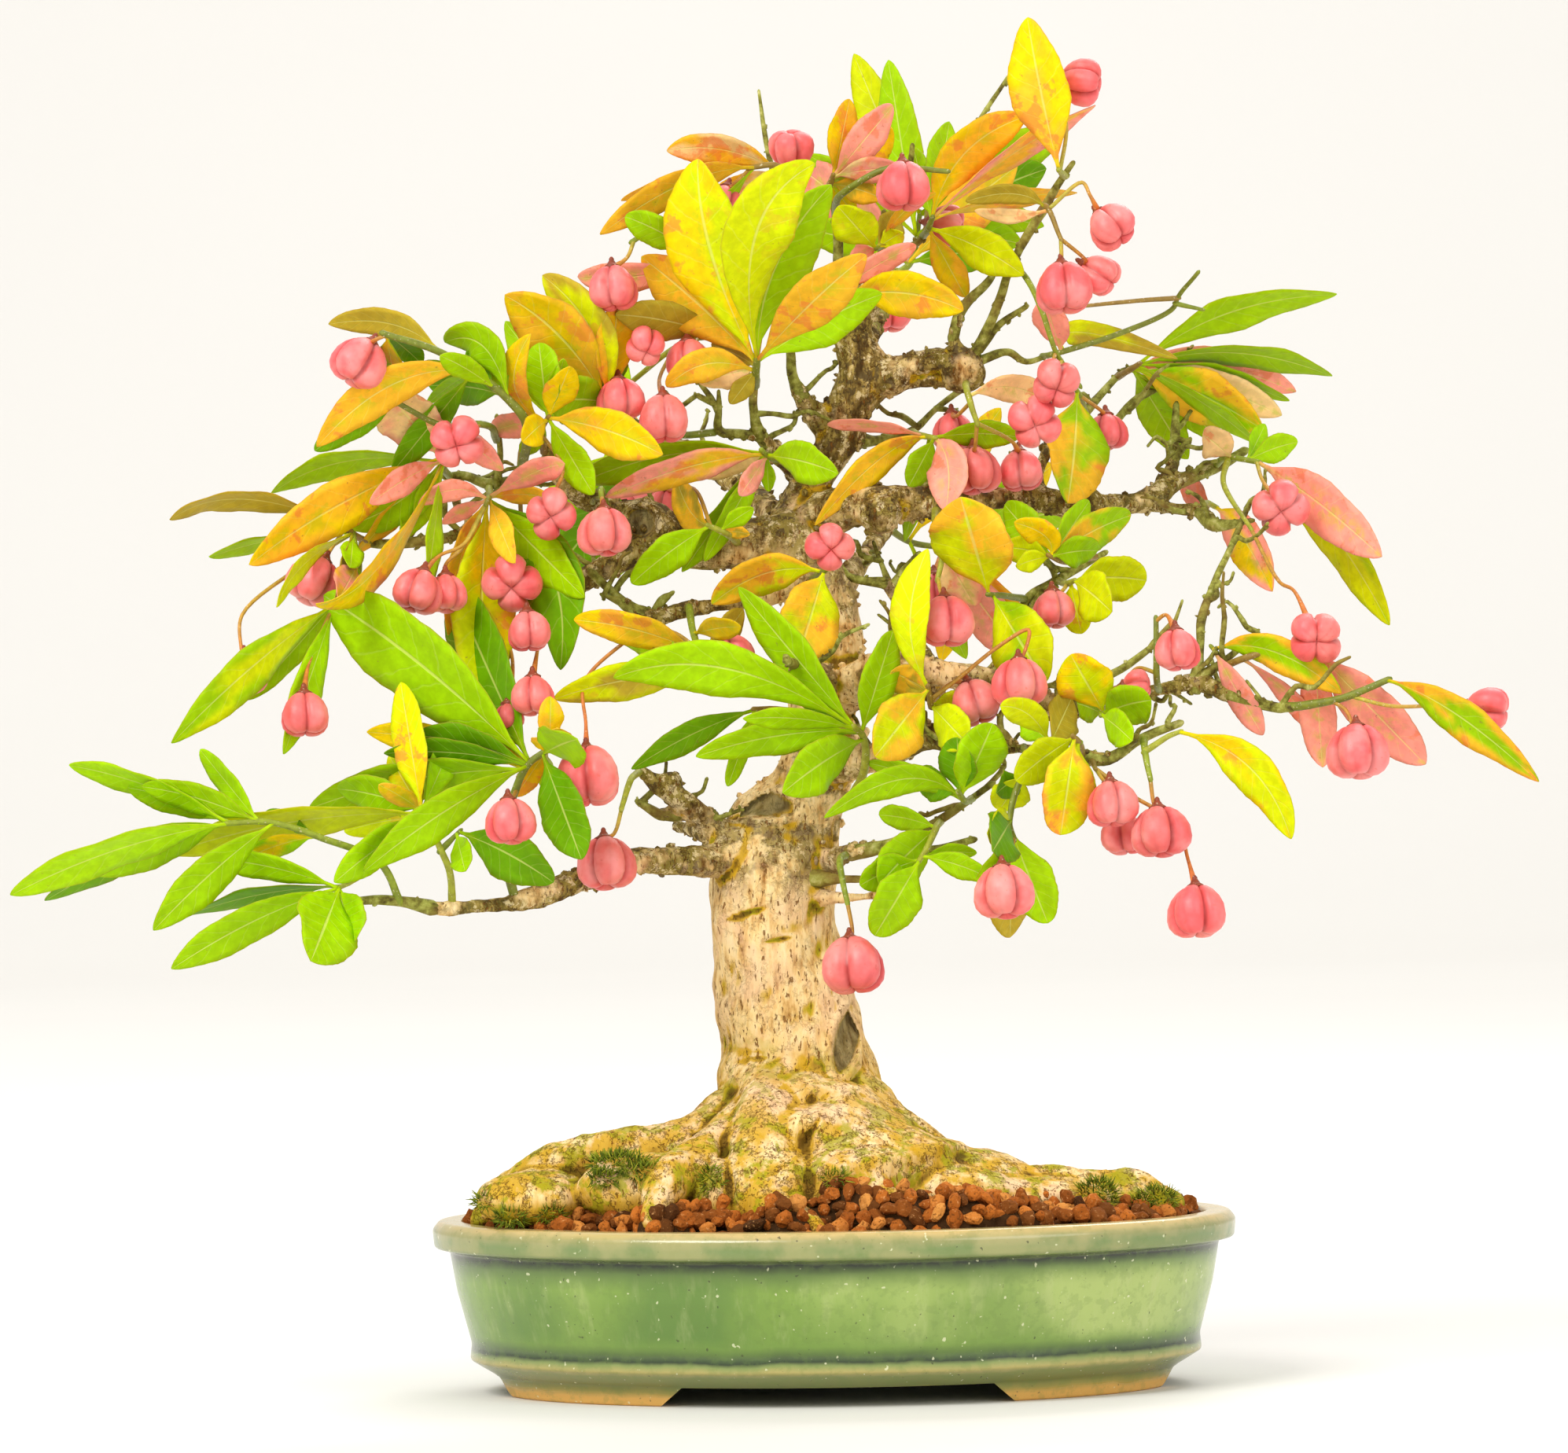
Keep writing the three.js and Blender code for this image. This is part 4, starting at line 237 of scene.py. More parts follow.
SPRAYS = [
spray("leafy_stem_low_left_outer", """
  508 1146 -54, 484 1098 -58, 410 1066 -62, 345 1046 -64, 288 1047 -67 / 484 1098 -58, 445 1122 -62,
  430 1130 -63""", """
  330 1040 180 1000 40 g, 292 1047 13 1138 45 g, 290 1046 120 1113 50 g 10, 288 1048 57 1145 28 d 16,
  345 1056 195 1183 48 g, 400 1070 305 1095 30 yg, 430 1128 218 1232 48 g, 434 1126 233 1165 20 d 10,
  432 1130 395 1222 80 g"""),
spray("leafy_stem_low_left_middle", """
  575 1152 -48, 572 1110 -52, 552 1062 -54, 536 1030 -56 / 560 1082 -53, 586 1056 -50""", """
  540 1034 212 1086 46 l, 542 1040 425 1122 46 g -10, 536 1030 430 1003 46 g 8,
  536 1030 510 868 46 yl, 536 1032 482 998 26 yo -12, 583 1057 704 1122 60 d, 580 1060 592 1108 32 g"""),
spray("leafy_stem_low_left_upper", """
  655 1145 -40, 642 1080 -46, 652 1015 -52, 672 972 -56, 702 950 -58""", """
  672 968 412 757 100 g -16, 668 978 393 1028 56 g 8, 672 974 462 1108 46 g -6,
  670 970 530 935 46 d 2, 690 958 740 1093 62 d, 690 955 734 940 60 g, 698 952 700 886 30 yo,
  694 955 655 1012 26 y -14""", """
  648 1048 -70 66 hangs, 656 1005, 650 1018""", thick=1.2),
spray("leafy_stem_trunk_left", """
  1012 905 -4, 980 902 -14, 958 902 -18""", """
  962 900 803 978 34 d -8, 960 902 925 1000 24 g -4"""),
spray("leafy_stem_centre_left", """
  876 772 -24, 882 806 -34, 892 838 -40, 902 862 -44""", """
  880 832 730 788 44 oy, 882 806 942 797 30 y -10, 898 842 945 775 36 b 12, 898 858 704 889 46 bl""", """
  748 992 -54 88 hangs, 888 826, 855 804, 820 803, 785 824, 743 868, 745 920 /
  936 832 -38 50 0.4 -1 0.2, 892 838, 925 812"""),
spray("leafy_stem_centre", """
  1080 1020 -14, 1100 975 -30, 1098 938 -36, 1086 924 -40""", """
  1088 926 780 862 62 g -12 925 850, 1088 928 945 914 28 g -18, 1090 930 885 962 44 g -2,
  1092 932 935 956 36 d -10, 1096 940 995 1008 58 g -24, 1097 932 1135 802 46 g -4""", thick=1.2),
spray("leafy_stem_trunk_front", """
  1032 738 -6, 1045 728 -26, 1054 722 -30""", """
  1046 727 905 768 52 lo 2 975 728, 1048 726 1014 838 82 lo -8""", """
  1056 694 -42 62 faces, 1052 722, 1058 712"""),
spray("leafy_stem_right_inner", """
  1190 884 -12, 1184 898 -34, 1180 872 -42""", """
  1180 876 1112 962 66 lo -10, 1180 874 1180 698 46 l -4 1158 792, 1183 896 1233 948 50 l -10,
  1181 880 1108 888 58 bo 6""", """
  1298 872 -48 72 hangs, 1183 890, 1215 866, 1270 822, 1308 801, 1301 834 /
  1240 897 -40 66 0.3 -1 0.3, 1183 892, 1212 868"""),
spray("leafy_stem_right_arching", """
  1236 1016 -26, 1226 1018 -36, 1218 1006 -40""", """
  1222 1012 1262 920 62 g -4, 1220 1010 1158 990 40 d 12, 1226 1018 1048 1040 36 g -14 1150 990"""),
spray("leafy_stem_right_lowest", """
  1196 1045 -23, 1190 1054 -34, 1178 1080 -38, 1168 1096 -38""", """
  1190 1054 1118 1124 60 g -8, 1170 1094 1112 1190 62 g -2, 1174 1090 1262 1118 30 g -6,
  1190 1052 1118 1036 32 g 8"""),
spray("leafy_stem_right_hanging", """
  1302 950 -36, 1306 972 -48, 1290 1012 -52, 1284 1048 -54, 1290 1068 -55""", """
  1288 1056 1333 1174 62 g -2, 1284 1044 1262 1082 58 d -14, 1288 1060 1284 1192 60 b 14,
  1300 985 1270 1030 46 l 2""", """
  1277 1138 -66 78 hangs, 1288 1066, 1284 1095"""),
spray("leafy_stem_right_pair", """
  1376 962 -42, 1372 944 -56, 1364 936 -60 / 1372 944 -56, 1332 944 -52""", """
  1366 938 1348 1062 70 lo -2, 1371 942 1368 1050 42 l 8, 1334 944 1272 898 38 l -8 1308 908,
  1336 944 1362 888 46 b 8, 1334 946 1300 908 36 g 6"""),
spray("leafy_stem_right_bright", """
  1406 892 -24, 1406 904 -38, 1400 910 -41""", """
  1404 906 1362 832 64 ly -6, 1403 908 1464 890 58 g -8, 1401 909 1440 942 40 g -14,
  1402 908 1370 894 36 g 4"""),
spray("leafy_stem_right_twin", """
  1345 738 -8, 1358 742 -24, 1367 738 -28""", """
  1366 740 1458 738 62 l -2, 1366 738 1414 778 56 l -12, 1362 742 1376 806 42 l -2""", """
  1340 778 -28 56 hangs, 1358 743, 1350 752"""),
spray("leafy_stem_right_large", """
  1304 762 -6, 1280 758 -20, 1256 756 -28""", """
  1262 757 1330 868 78 gl -4, 1258 756 1222 632 102 lo -16"""),
spray("leafy_stem_right_orange", """
  1392 708 -10, 1352 714 -24, 1333 706 -28""", """
  1337 706 1438 655 46 og -4, 1337 707 1396 700 40 g 6, 1336 708 1290 664 36 y -8 1330 682,
  1336 708 1292 720 26 l -6, 1337 706 1278 642 46 g 10"""),
spray("leafy_stem_right_hanging_leaf", """
  1380 526 8, 1374 506 -10, 1369 496 -16""", """
  1369 497 1357 640 84 go -6 1366 568""", """
  1408 552 -4 54 hangs, 1372 503, 1400 522"""),
spray("leafy_stem_centre_right", """
  1160 549 6, 1172 554 -12, 1190 557 -18""", """
  1188 556 1297 556 34 g -4, 1188 557 1203 650 50 p -8 1206 590, 1174 555 1052 540 17 p 2,
  1182 556 1036 668 34 yo -12 1120 582"""),
spray("bare_stalks_right", """
  1325 453 -15, 1345 449 -26, 1440 418 -28, 1492 392 -30, 1498 378 -30, 1524 346 -32 / 1498 379 -30,
  1440 383 -29, 1345 393 -28 / 1495 386 -30, 1530 394 -32""", """
  1350 447 1328 380 42 p -4, 1352 446 1497 456 32 lb 6 1375 422""", thick=0.8),
spray("leafy_stem_right_top", """
  1420 480 14, 1434 472 6, 1450 462 2""", """
  1448 462 1700 374 38 g -6 1560 398, 1440 468 1606 546 66 go -12,
  1436 471 1648 498 52 p 10 1530 462, 1446 464 1694 478 26 g 20 1570 448, 1438 470 1630 528 52 s 2"""),
spray("leafy_stem_right_upper", """
  1545 592 -4, 1562 582 -16, 1602 588 -20 / 1562 582 -16, 1556 615 -22, 1592 674 -30""", """
  1586 584 1650 562 34 g 4, 1566 582 1530 552 42 s 8, 1600 588 1757 708 62 p -8,
  1600 588 1767 795 46 gl 10 1690 672""", """
  1627 645 -32 74 faces, 1598 588, 1606 612 / 1672 810 -44 70 faces, 1590 670, 1627 740, 1646 752"""),
spray("leafy_stem_right_under", """
  1528 650 -12, 1536 640 2, 1548 646 6""", """
  1546 645 1618 752 50 yp -2 1580 682, 1540 642 1500 617 34 p 6"""),
spray("leafy_stem_right_end", """
  1630 900 -38, 1660 897 -42, 1710 887 -46, 1766 864 -48""", """
  1764 866 1957 994 42 go -4 1850 906""", """
  1728 960 -54 80 hangs, 1692 890, 1712 904, 1722 928 / 1895 903 -52 62 right, 1716 886, 1770 898,
  1838 897""", thick=1.25),
spray("leafy_stem_right_pink", """
  1552 850 -28, 1580 838 -38, 1640 822 -42, 1674 826 -44 / 1560 846 -30, 1540 822 -40""", """
  1672 826 1813 972 64 p -8, 1545 824 1706 882 44 go -2 1620 828, 1580 838 1682 944 22 p 10 1640 885"""),
spray("leafy_stem_right_yellow", """
  1455 940 -46, 1456 956 -58, 1463 992 -62 / 1456 956 -58, 1485 937 -60, 1502 930 -60""", """
  1500 931 1642 1067 52 yl -4 1590 976""", """
  1475 1062 -66 74 hangs, 1463 990, 1468 1024"""),
spray("leafy_stem_top_right", """
  1354 224 -21, 1346 216 -32""", """
  1347 217 1307 22 70 oy -6 1325 120""", """
  1378 104 -30 60 right, 1348 218, 1356 160, 1342 106"""),
spray("leafy_stem_top_middle", """
  1174 300 8, 1180 292 -8, 1186 276 -12""", """
  1185 280 1306 147 58 yo -10 1225 196, 1185 279 1393 134 20 op -20 1280 200,
  1184 278 1207 155 44 g 10, 1181 290 1302 350 48 l -14 1245 314""", """
  1206 286 2 54 right, 1183 285"""),
spray("leafy_stem_top_orange", """
  1059 250 2, 1055 236 -10, 1060 222 -13""", """
  1060 228 1134 162 56 oy -8, 1060 224 1080 126 36 oy 0, 1060 225 1135 134 42 p 8,
  1058 230 1085 165 38 sp -14, 1058 232 1124 220 40 ly 4, 1057 234 1122 252 32 bo -6"""),
spray("leafy_stem_top_small", """
  1122 312 -5, 1114 316 -18""", """
  1114 316 1066 262 50 l -6, 1116 315 1142 272 36 b 4, 1115 316 1078 336 30 p -8,
  1118 314 1190 246 16 o -4 1150 268"""),
spray("leafy_stem_top_yellow", """
  1084 402 0, 1072 386 -14, 1066 370 -18""", """
  1070 378 1225 395 58 oy -12 1150 372, 1067 370 1165 312 30 p -4"""),
spray("leafy_stem_crown_middle", """
  960 490 -15, 961 474 -28, 963 456 -32""", """
  963 462 888 202 94 ly -12 905 322, 963 460 1057 235 78 g -22 985 340,
  963 458 1036 208 78 l 6 960 300, 962 470 890 488 34 s 8, 962 466 905 438 38 b 6,
  961 472 848 492 40 o -4 900 462""", """
  962 332 -34 50 faces, 962 460, 972 380""", thick=1.3),
spray("leafy_stem_top_left", """
  993 250 -1, 1004 226 -18, 985 210 -22, 952 214 -24""", """
  1000 212 848 192 40 so -4 920 190, 960 213 763 298 38 o -8 870 232, 958 213 790 255 20 o 6 880 222""", """
  1005 187 -12 58 0 1 0.3, 1004 214 / 918 262 -28 54 -0.3 -1 0.3, 955 214, 932 236"""),
spray("leafy_stem_upper_left", """
  992 345 -5, 945 352 -20, 900 335 -26, 870 312 -28, 822 298 -30, 803 308 -30""", """
  885 322 795 275 42 g -4, 900 335 735 352 38 p 8 800 352""", """
  780 370 -38 66 hangs, 806 306, 797 328"""),
spray("leafy_stem_upper_left_olive", """
  958 500 -14, 940 450 -36, 925 430 -40, 885 430 -38, 860 441 -38, 800 488 -38""", """
  920 430 782 400 48 b -10""", """
  822 440 -38 52 0 -0.6 0.8, 880 431, 850 420 / 876 462 -40 62 hangs, 888 430, 882 438 /
  788 512 -42 64 hangs, 802 486 / 845 536 -42 70 hangs, 858 443, 839 480"""),
spray("leafy_stem_left_yellow_top", """
  908 550 -13, 860 553 -24, 815 540 -32, 770 510 -38""", """
  772 512 642 375 74 yo -10 715 430, 774 512 690 350 62 lb 6 752 420, 778 514 775 432 46 d 10,
  772 512 690 455 84 g 14"""),
spray("leafy_stem_left_orange", """
  692 575 -42, 688 548 -50, 698 530 -54""", """
  698 532 843 578 54 oy -6 770 546, 696 534 664 562 34 y -10, 694 536 625 548 34 p 6,
  697 532 686 436 52 g 10, 694 538 675 425 36 oy -4 655 490""", """
  700 652 -62 66 faces, 690 552, 716 596, 706 625"""),
spray("leafy_stem_centre_long", """
  990 584 -4, 976 580 -22, 968 572 -26""", """
  972 577 728 618 42 g -4 850 578, 973 579 770 632 40 op -12 880 592, 974 580 890 606 30 s 8,
  975 580 940 630 26 p -10, 975 579 1066 602 48 g -12"""),
spray("leafy_stem_left_inner", """
  940 692 -10, 922 678 -30, 900 668 -34""", """
  902 669 803 742 46 g -6, 906 670 862 612 40 bo 6 880 652, 916 675 958 646 22 g -2""", """
  850 648 4 60 0 -1 -0.3, 904 670, 886 625, 866 620"""),
spray("leafy_stem_left_long", """
  660 612 -40, 668 535 -56, 640 502 -58, 600 471 -60, 555 446 -62, 487 424 -64""", """
  600 475 403 568 50 o -8 500 488, 560 449 418 412 38 b 8 500 412, 492 426 505 502 40 yg -6,
  650 508 566 435 44 g 8 615 440, 640 502 545 490 46 d 6, 600 474 505 476 24 d -4,
  630 494 560 452 30 g -12""", """
  455 464 -70 72 -0.6 -1 0.3, 492 426, 478 432""", thick=1.25),
spray("leafy_stem_left_outer", """
  470 691 -51, 448 678 -60, 436 666 -62 / 448 678 -60, 456 730 -64, 424 770 -66""", """
  446 680 266 708 18 g -6, 440 670 216 661 24 b 4 310 634, 450 684 445 722 28 g -8,
  446 680 352 772 14 l -4 385 718, 426 768 218 945 44 lg -8, 430 764 315 890 32 g 6,
  452 720 430 762 40 op -12""", """
  398 742 -68 72 -0.5 -1 0.3, 440 670, 420 700 / 312 862 -58 60 hangs, 446 680, 380 722, 308 782,
  306 818 / 388 912 -72 64 hangs, 426 768, 411 800, 392 846"""),
spray("leafy_stem_left_yellow", """
  572 606 -45, 563 592 -58, 562 578 -60""", """
  562 582 317 718 60 yo -8 430 642, 562 586 470 640 32 p -14, 563 588 345 627 28 g 8 440 586,
  563 590 438 668 46 g 2 500 642, 562 582 470 510 40 g 10, 562 580 492 498 76 ps -8,
  563 590 402 768 20 oy -10 480 722"""),
spray("leafy_stem_left_large_yellow", """
  622 620 -42, 622 632 -56, 618 642 -60""", """
  620 640 612 892 78 yl -10 612 760, 619 640 570 808 30 o 6 588 700, 620 636 532 642 26 p -6 580 622,
  623 632 718 590 34 p -8 680 600, 622 634 655 716 32 o -8, 622 636 713 852 72 d 14 700 720""", """
  530 755 -72 64 -0.3 -1 0.3, 618 641, 590 692, 560 706 / 568 758 -62 56 hangs, 619 641, 588 696,
  568 716"""),
spray("leafy_stem_left_dark", """
  632 560 -45, 616 540 -60, 560 540 -64, 505 512 -66""", """
  505 512 400 573 34 d -2, 560 540 640 598 30 p 2""", """
  580 562 -76 70 faces, 612 540, 600 546"""),
spray("fruits_left_cluster", """
  694 566 -42, 664 568 -66, 663 690 -68""", fruits="""
  650 742 -78 76 faces, 663 688, 656 702 / 698 752 -70 66 0.5 -0.8 0.3, 663 686, 680 712 /
  672 806 -76 58 hangs, 663 688, 682 730, 668 770 / 679 888 -78 58 hangs, 663 689, 692 780, 684 824 /
  648 914 -68 40 hangs, 663 689, 640 780, 652 842""", thick=0.85),
spray("fruit_left_single", """
  772 648 -26, 764 622 -46, 765 634 -50""", fruits="""
  770 680 -56 70 hangs, 765 630"""),
spray("fruit_right_red_stalk", """
  1190 645 -8, 1190 668 -28, 1199 700 -32, 1192 738 -34""", """
  1198 700 1240 770 46 sp 8""", """
  1203 794 -42 74 hangs, 1192 735, 1196 752"""),
spray("fruit_top_twig", """
  1062 272 2, 1074 244 -12, 1130 214 -16, 1205 218 -18""", fruits="""
  1150 240 2 72 hangs, 1148 214, 1150 222"""),
spray("fruits_top_right", """
  1320 272 -18, 1332 264 -30, 1350 306 -36""", """
  1331 266 1228 256 26 b 6 1290 246, 1332 268 1240 268 18 s 12 1285 274""", """
  1352 370 -44 76 hangs, 1349 304, 1350 338 / 1400 350 -38 56 0.7 -0.5 0.3, 1349 304, 1380 330 /
  1415 290 -38 62 0.5 -0.6 0.4, 1334 266, 1376 232, 1386 248""", thick=0.85),
spray("fruits_right_hanging", """
  1288 335 -16, 1304 352 -30, 1325 395 -42, 1343 448 -46, 1374 492 -46""", fruits="""
  1343 488 -50 64 0 -0.5 0.9, 1350 458, 1346 468 / 1315 537 -52 70 faces, 1343 448, 1328 490""", thick=0.85),
spray("fruits_centre_right", """
  1228 485 -8, 1231 502 -26, 1243 540 -28""", """
  1232 504 1340 516 36 s 4 1285 492""", """
  1212 552 -12 56 hangs, 1234 512, 1218 528 / 1240 602 -14 70 hangs, 1243 538, 1240 570 /
  1298 602 -12 60 hangs, 1243 538, 1285 560"""),
spray("fruit_right_side_stalk", """
  1474 878 -26, 1471 862 -40, 1470 786 -44""", fruits="""
  1497 830 -50 60 hangs, 1470 790, 1482 782 / 1448 872 -42 40 1 0.1 0.2, 1470 856, 1446 850"""),
spray("fruits_right_low", """
  1388 966 -42, 1393 978 -60""", fruits="""
  1414 1026 -64 66 hangs, 1392 976, 1403 992 / 1430 1064 -52 60 hangs, 1393 978, 1426 1020 /
  1523 1163 -70 76 hangs, 1393 977, 1440 1012, 1496 1048, 1511 1094""", thick=0.85),
spray("fruit_trunk_front", """
  1078 1086 -12, 1068 1100 -30, 1078 1150 -34""", fruits="""
  1083 1232 -42 84 hangs, 1077 1145, 1084 1185"""),
spray("fruit_low_left", """
  815 980 -14, 801 994 -26, 790 1030 -32""", fruits="""
  770 1102 -38 78 hangs, 791 1026, 781 1060"""),
]


# On the far side the sprays follow a rule: pairs of leaves along a stem, and a fruit
def draws(seed):
    """A function that returns the next random number of a seed, as for the solids."""
    state = int(seed) & 0xFFFFFFFF

    def draw():
        nonlocal state
        state = (state + 0x6D2B79F5) & 0xFFFFFFFF
        mixed = ((state ^ (state >> 15)) * (1 | state)) & 0xFFFFFFFF
        mixed = (mixed + (((mixed ^ (mixed >> 7)) * (61 | mixed)) & 0xFFFFFFFF)) & 0xFFFFFFFF ^ mixed
        return ((mixed ^ (mixed >> 14)) & 0xFFFFFFFF) / 4294967296

    return draw


def far_spray(name, stem, fruit, pairs=3):
    random = draws(len(name) * 131)
    stem = rows_in(stem)
    (ax, ay, _), (bx, by, _) = stem[0], stem[-1]
    leaves = []
    for i in range(pairs):
        share = 0.3 + 0.7 * i / (pairs - 1)
        across, down = ax + (bx - ax) * share, ay + (by - ay) * share
        for turn in (0.9, -0.9):
            heading = math.atan2(by - ay, bx - ax) + turn + (random() - 0.5) * 0.8
            reach = 150 + random() * 90
            tint = "ggldyop"[int(random() * 7)]
            tip = [across + math.cos(heading) * reach, down + math.sin(heading) * reach]
            leaves.append([across, down, *tip, 44 + random() * 26, tint, 2 + random() * 16])
    return dict(name=name, stems=[stem], leaves=leaves, fruits=[[*fruit, HANGS, [fruit[:2]]]],
                thick=1.0)


SPRAYS += [
  far_spray("leafy_stem_far_right", "1130 672 55, 1160 690 64, 1230 700 70", [1190, 760, 60, 66]),
  far_spray("leafy_stem_far_left", "866 565 55, 830 560 63, 770 575 70", [815, 620, 62, 66]),
  far_spray("leafy_stem_far_top", "1138 350 47, 1160 330 56, 1170 270 62", [1130, 400, 52, 62]),
]
print(len(SPRAYS), "sprays,", sum(len(row["leaves"]) for row in SPRAYS), "leaves,",
      sum(len(row["fruits"]) for row in SPRAYS), "fruits")

# %% [markdown]
# ## From the front view to space
#
# `at` undoes the perspective of the front view: a point that is farther back is spread wider.
# The lowest tier on the left and the long boughs on the right also sweep backward.

# %% Places and curves
def at(rows):
    """Points in metres for rows of across, down, depth."""
    rows = np.atleast_2d(np.array(rows, float))
    right, below = rows[:, 0] - VIEW_MIDDLE[0], rows[:, 1] - VIEW_MIDDLE[1]
    depth = rows[:, 2] + sum(
        back * np.exp(-((rows[:, 0] - mx) / rx) ** 2 - ((rows[:, 1] - my) / ry) ** 2)
        for mx, my, rx, ry, back in SWEEPS)
    level = right * math.cos(VIEW_TURN) - below * math.sin(VIEW_TURN)
    drop = right * math.sin(VIEW_TURN) + below * math.cos(VIEW_TURN)
    spread = (VIEW_DISTANCE + depth) / VIEW_DISTANCE / VIEW_SCALE
    points = np.stack([VIEW_SIDE + level * spread, depth, VIEW_HEIGHT - drop * spread], 1)
    return points * MM + POT_CENTRE


def unit(v):
    return v / np.maximum(np.linalg.norm(v, axis=-1, keepdims=True), 1e-12)


def smooth_path(points, values, per_span):
    """A centripetal Catmull-Rom curve through points, with values eased along it."""
    p = np.vstack([2 * points[0] - points[1], points, 2 * points[-1] - points[-2]])
    out, eased = [], []
    for i in range(len(points) - 1):
        p0, p1, p2, p3 = p[i:i + 4]
        d0, d1, d2 = (max(np.linalg.norm(b - a), 1e-6) ** 0.5 for a, b in
                      ((p0, p1), (p1, p2), (p2, p3)))
        m1 = ((p1 - p0) / d0 - (p2 - p0) / (d0 + d1) + (p2 - p1) / d1) * d1
        m2 = ((p2 - p1) / d1 - (p3 - p1) / (d1 + d2) + (p3 - p2) / d2) * d1
        last = i == len(points) - 2
        for s in np.linspace(0, 1, per_span + 1)[: None if last else -1]:
            out.append((2 * s**3 - 3 * s**2 + 1) * p1 + (s**3 - 2 * s**2 + s) * m1
                       + (3 * s**2 - 2 * s**3) * p2 + (s**3 - s**2) * m2)
            ease = s * s * (3 - 2 * s)
            eased.append(values[i] * (1 - ease) + values[i + 1] * ease)
    return np.array(out), np.array(eased)


def frames_along(path):
    """Tangent and two cross directions at each point of a path, without twist."""
    ahead = unit(np.gradient(path, axis=0))
    side = np.zeros_like(path)
    current = np.array([0.0, -1.0, 0.0])
    for i, a in enumerate(ahead):
        current = current - a * current.dot(a)
        if np.linalg.norm(current) < 1e-3:
            current = np.array([1.0, 0, 0]) - a * a[0]
        current = unit(current)
        side[i] = current
    return ahead, side, np.cross(ahead, side)


print("front view centre lies at", at([997, 924, 0]).round(4))

# %% [markdown]
# ## Mesh helpers
#
# Most shapes here are rings of points with faces between them, closed by a flat lid or a point
# at each end.

# %% Objects, points and faces
def placed(name, data):
    """A new object in the scene."""
    thing = bpy.data.objects.new(name, data)
    bpy.context.scene.collection.objects.link(thing)
    return thing


def plain_object(name, points, faces):
    mesh = bpy.data.meshes.new(name)
    mesh.from_pydata(np.asarray(points).tolist(), [], faces)
    return placed(name, mesh)


def points_of(thing, value="co"):
    """The points of a mesh object as rows, or its normals."""
    points = np.empty(len(thing.data.vertices) * 3)
    thing.data.vertices.foreach_get(value, points)
    return points.reshape(-1, 3)


def faces_of(thing):
    return [tuple(face.vertices) for face in thing.data.polygons]


def surface_of(thing):
    """A tree for rays and nearest places on a mesh object."""
    return BVHTree.FromPolygons(points_of(thing).tolist(), faces_of(thing))


def joined(shapes):
    """One set of points and faces from many."""
    points, faces, start = [], [], 0
    for shape_points, shape_faces, *_ in shapes:
        points.append(shape_points)
        faces += [tuple(i + start for i in face) for face in shape_faces]
        start += len(shape_points)
    return np.concatenate(points), faces


def ring_faces(rings, sides):
    """Faces between rings of points that follow each other."""
    return [(i * sides + k, i * sides + m, (i + 1) * sides + m, (i + 1) * sides + k)
            for i in range(rings - 1) for k, m in neighbours(sides)]


def neighbours(sides):
    return [(k, (k + 1) % sides) for k in range(sides)]


def closed_rings(rings, sides):
    """Faces of rings whose first and last one draw in to a point: those two points come last."""
    faces = ring_faces(rings, sides)
    last = (rings - 1) * sides
    for k, m in neighbours(sides):
        faces += [(m, k, rings * sides), (last + k, last + m, rings * sides + 1)]
    return faces


def circle(sides):
    return np.arange(sides) / sides * 2 * math.pi


print("a closed body of 3 rings with 4 sides has", len(closed_rings(3, 4)), "faces")

# %% [markdown]
# ## A body that collects shapes
#
# Each spray becomes one mesh. Its shapes bring a UV map for veins, a colour for each point, and
# one of three materials: leaf, stem or fruit.

# %% The collector
LEAF, STEM, FRUIT = 0, 1, 2


class Body:
    def __init__(self):
        self.points, self.faces, self.uvs, self.colours, self.slots = [], [], [], [], []
        self.count = 0

    def add(self, points, faces, uv, colour, slot):
        self.points.append(points)
        self.faces += [tuple(i + self.count for i in f) for f in faces]
        self.uvs.append(uv)
        self.colours.append(np.broadcast_to(colour, (len(points), 3)))
        self.slots += [slot] * len(faces)
        self.count += len(points)

    def object(self, name, materials):
        mesh = bpy.data.meshes.new(name)
        points = np.concatenate(self.points)
        mesh.from_pydata(points.tolist(), [], self.faces)
        corners = np.empty(len(mesh.loops), int)
        mesh.loops.foreach_get("vertex_index", corners)
        uv = mesh.uv_layers.new(name="UVMap")
        uv.data.foreach_set("uv", np.concatenate(self.uvs)[corners].astype("f4").ravel())
        tint = mesh.attributes.new("Tint", "FLOAT_COLOR", "POINT")
        colours = np.concatenate(self.colours)
        colours = np.hstack([colours, np.ones((len(colours), 1))])
        tint.data.foreach_set("color", colours.astype("f4").ravel())
        for material in materials:
            mesh.materials.append(material)
        mesh.polygons.foreach_set("material_index", self.slots)
        mesh.polygons.foreach_set("use_smooth", [True] * len(mesh.polygons))
        mesh.update()
        return placed(name, mesh)


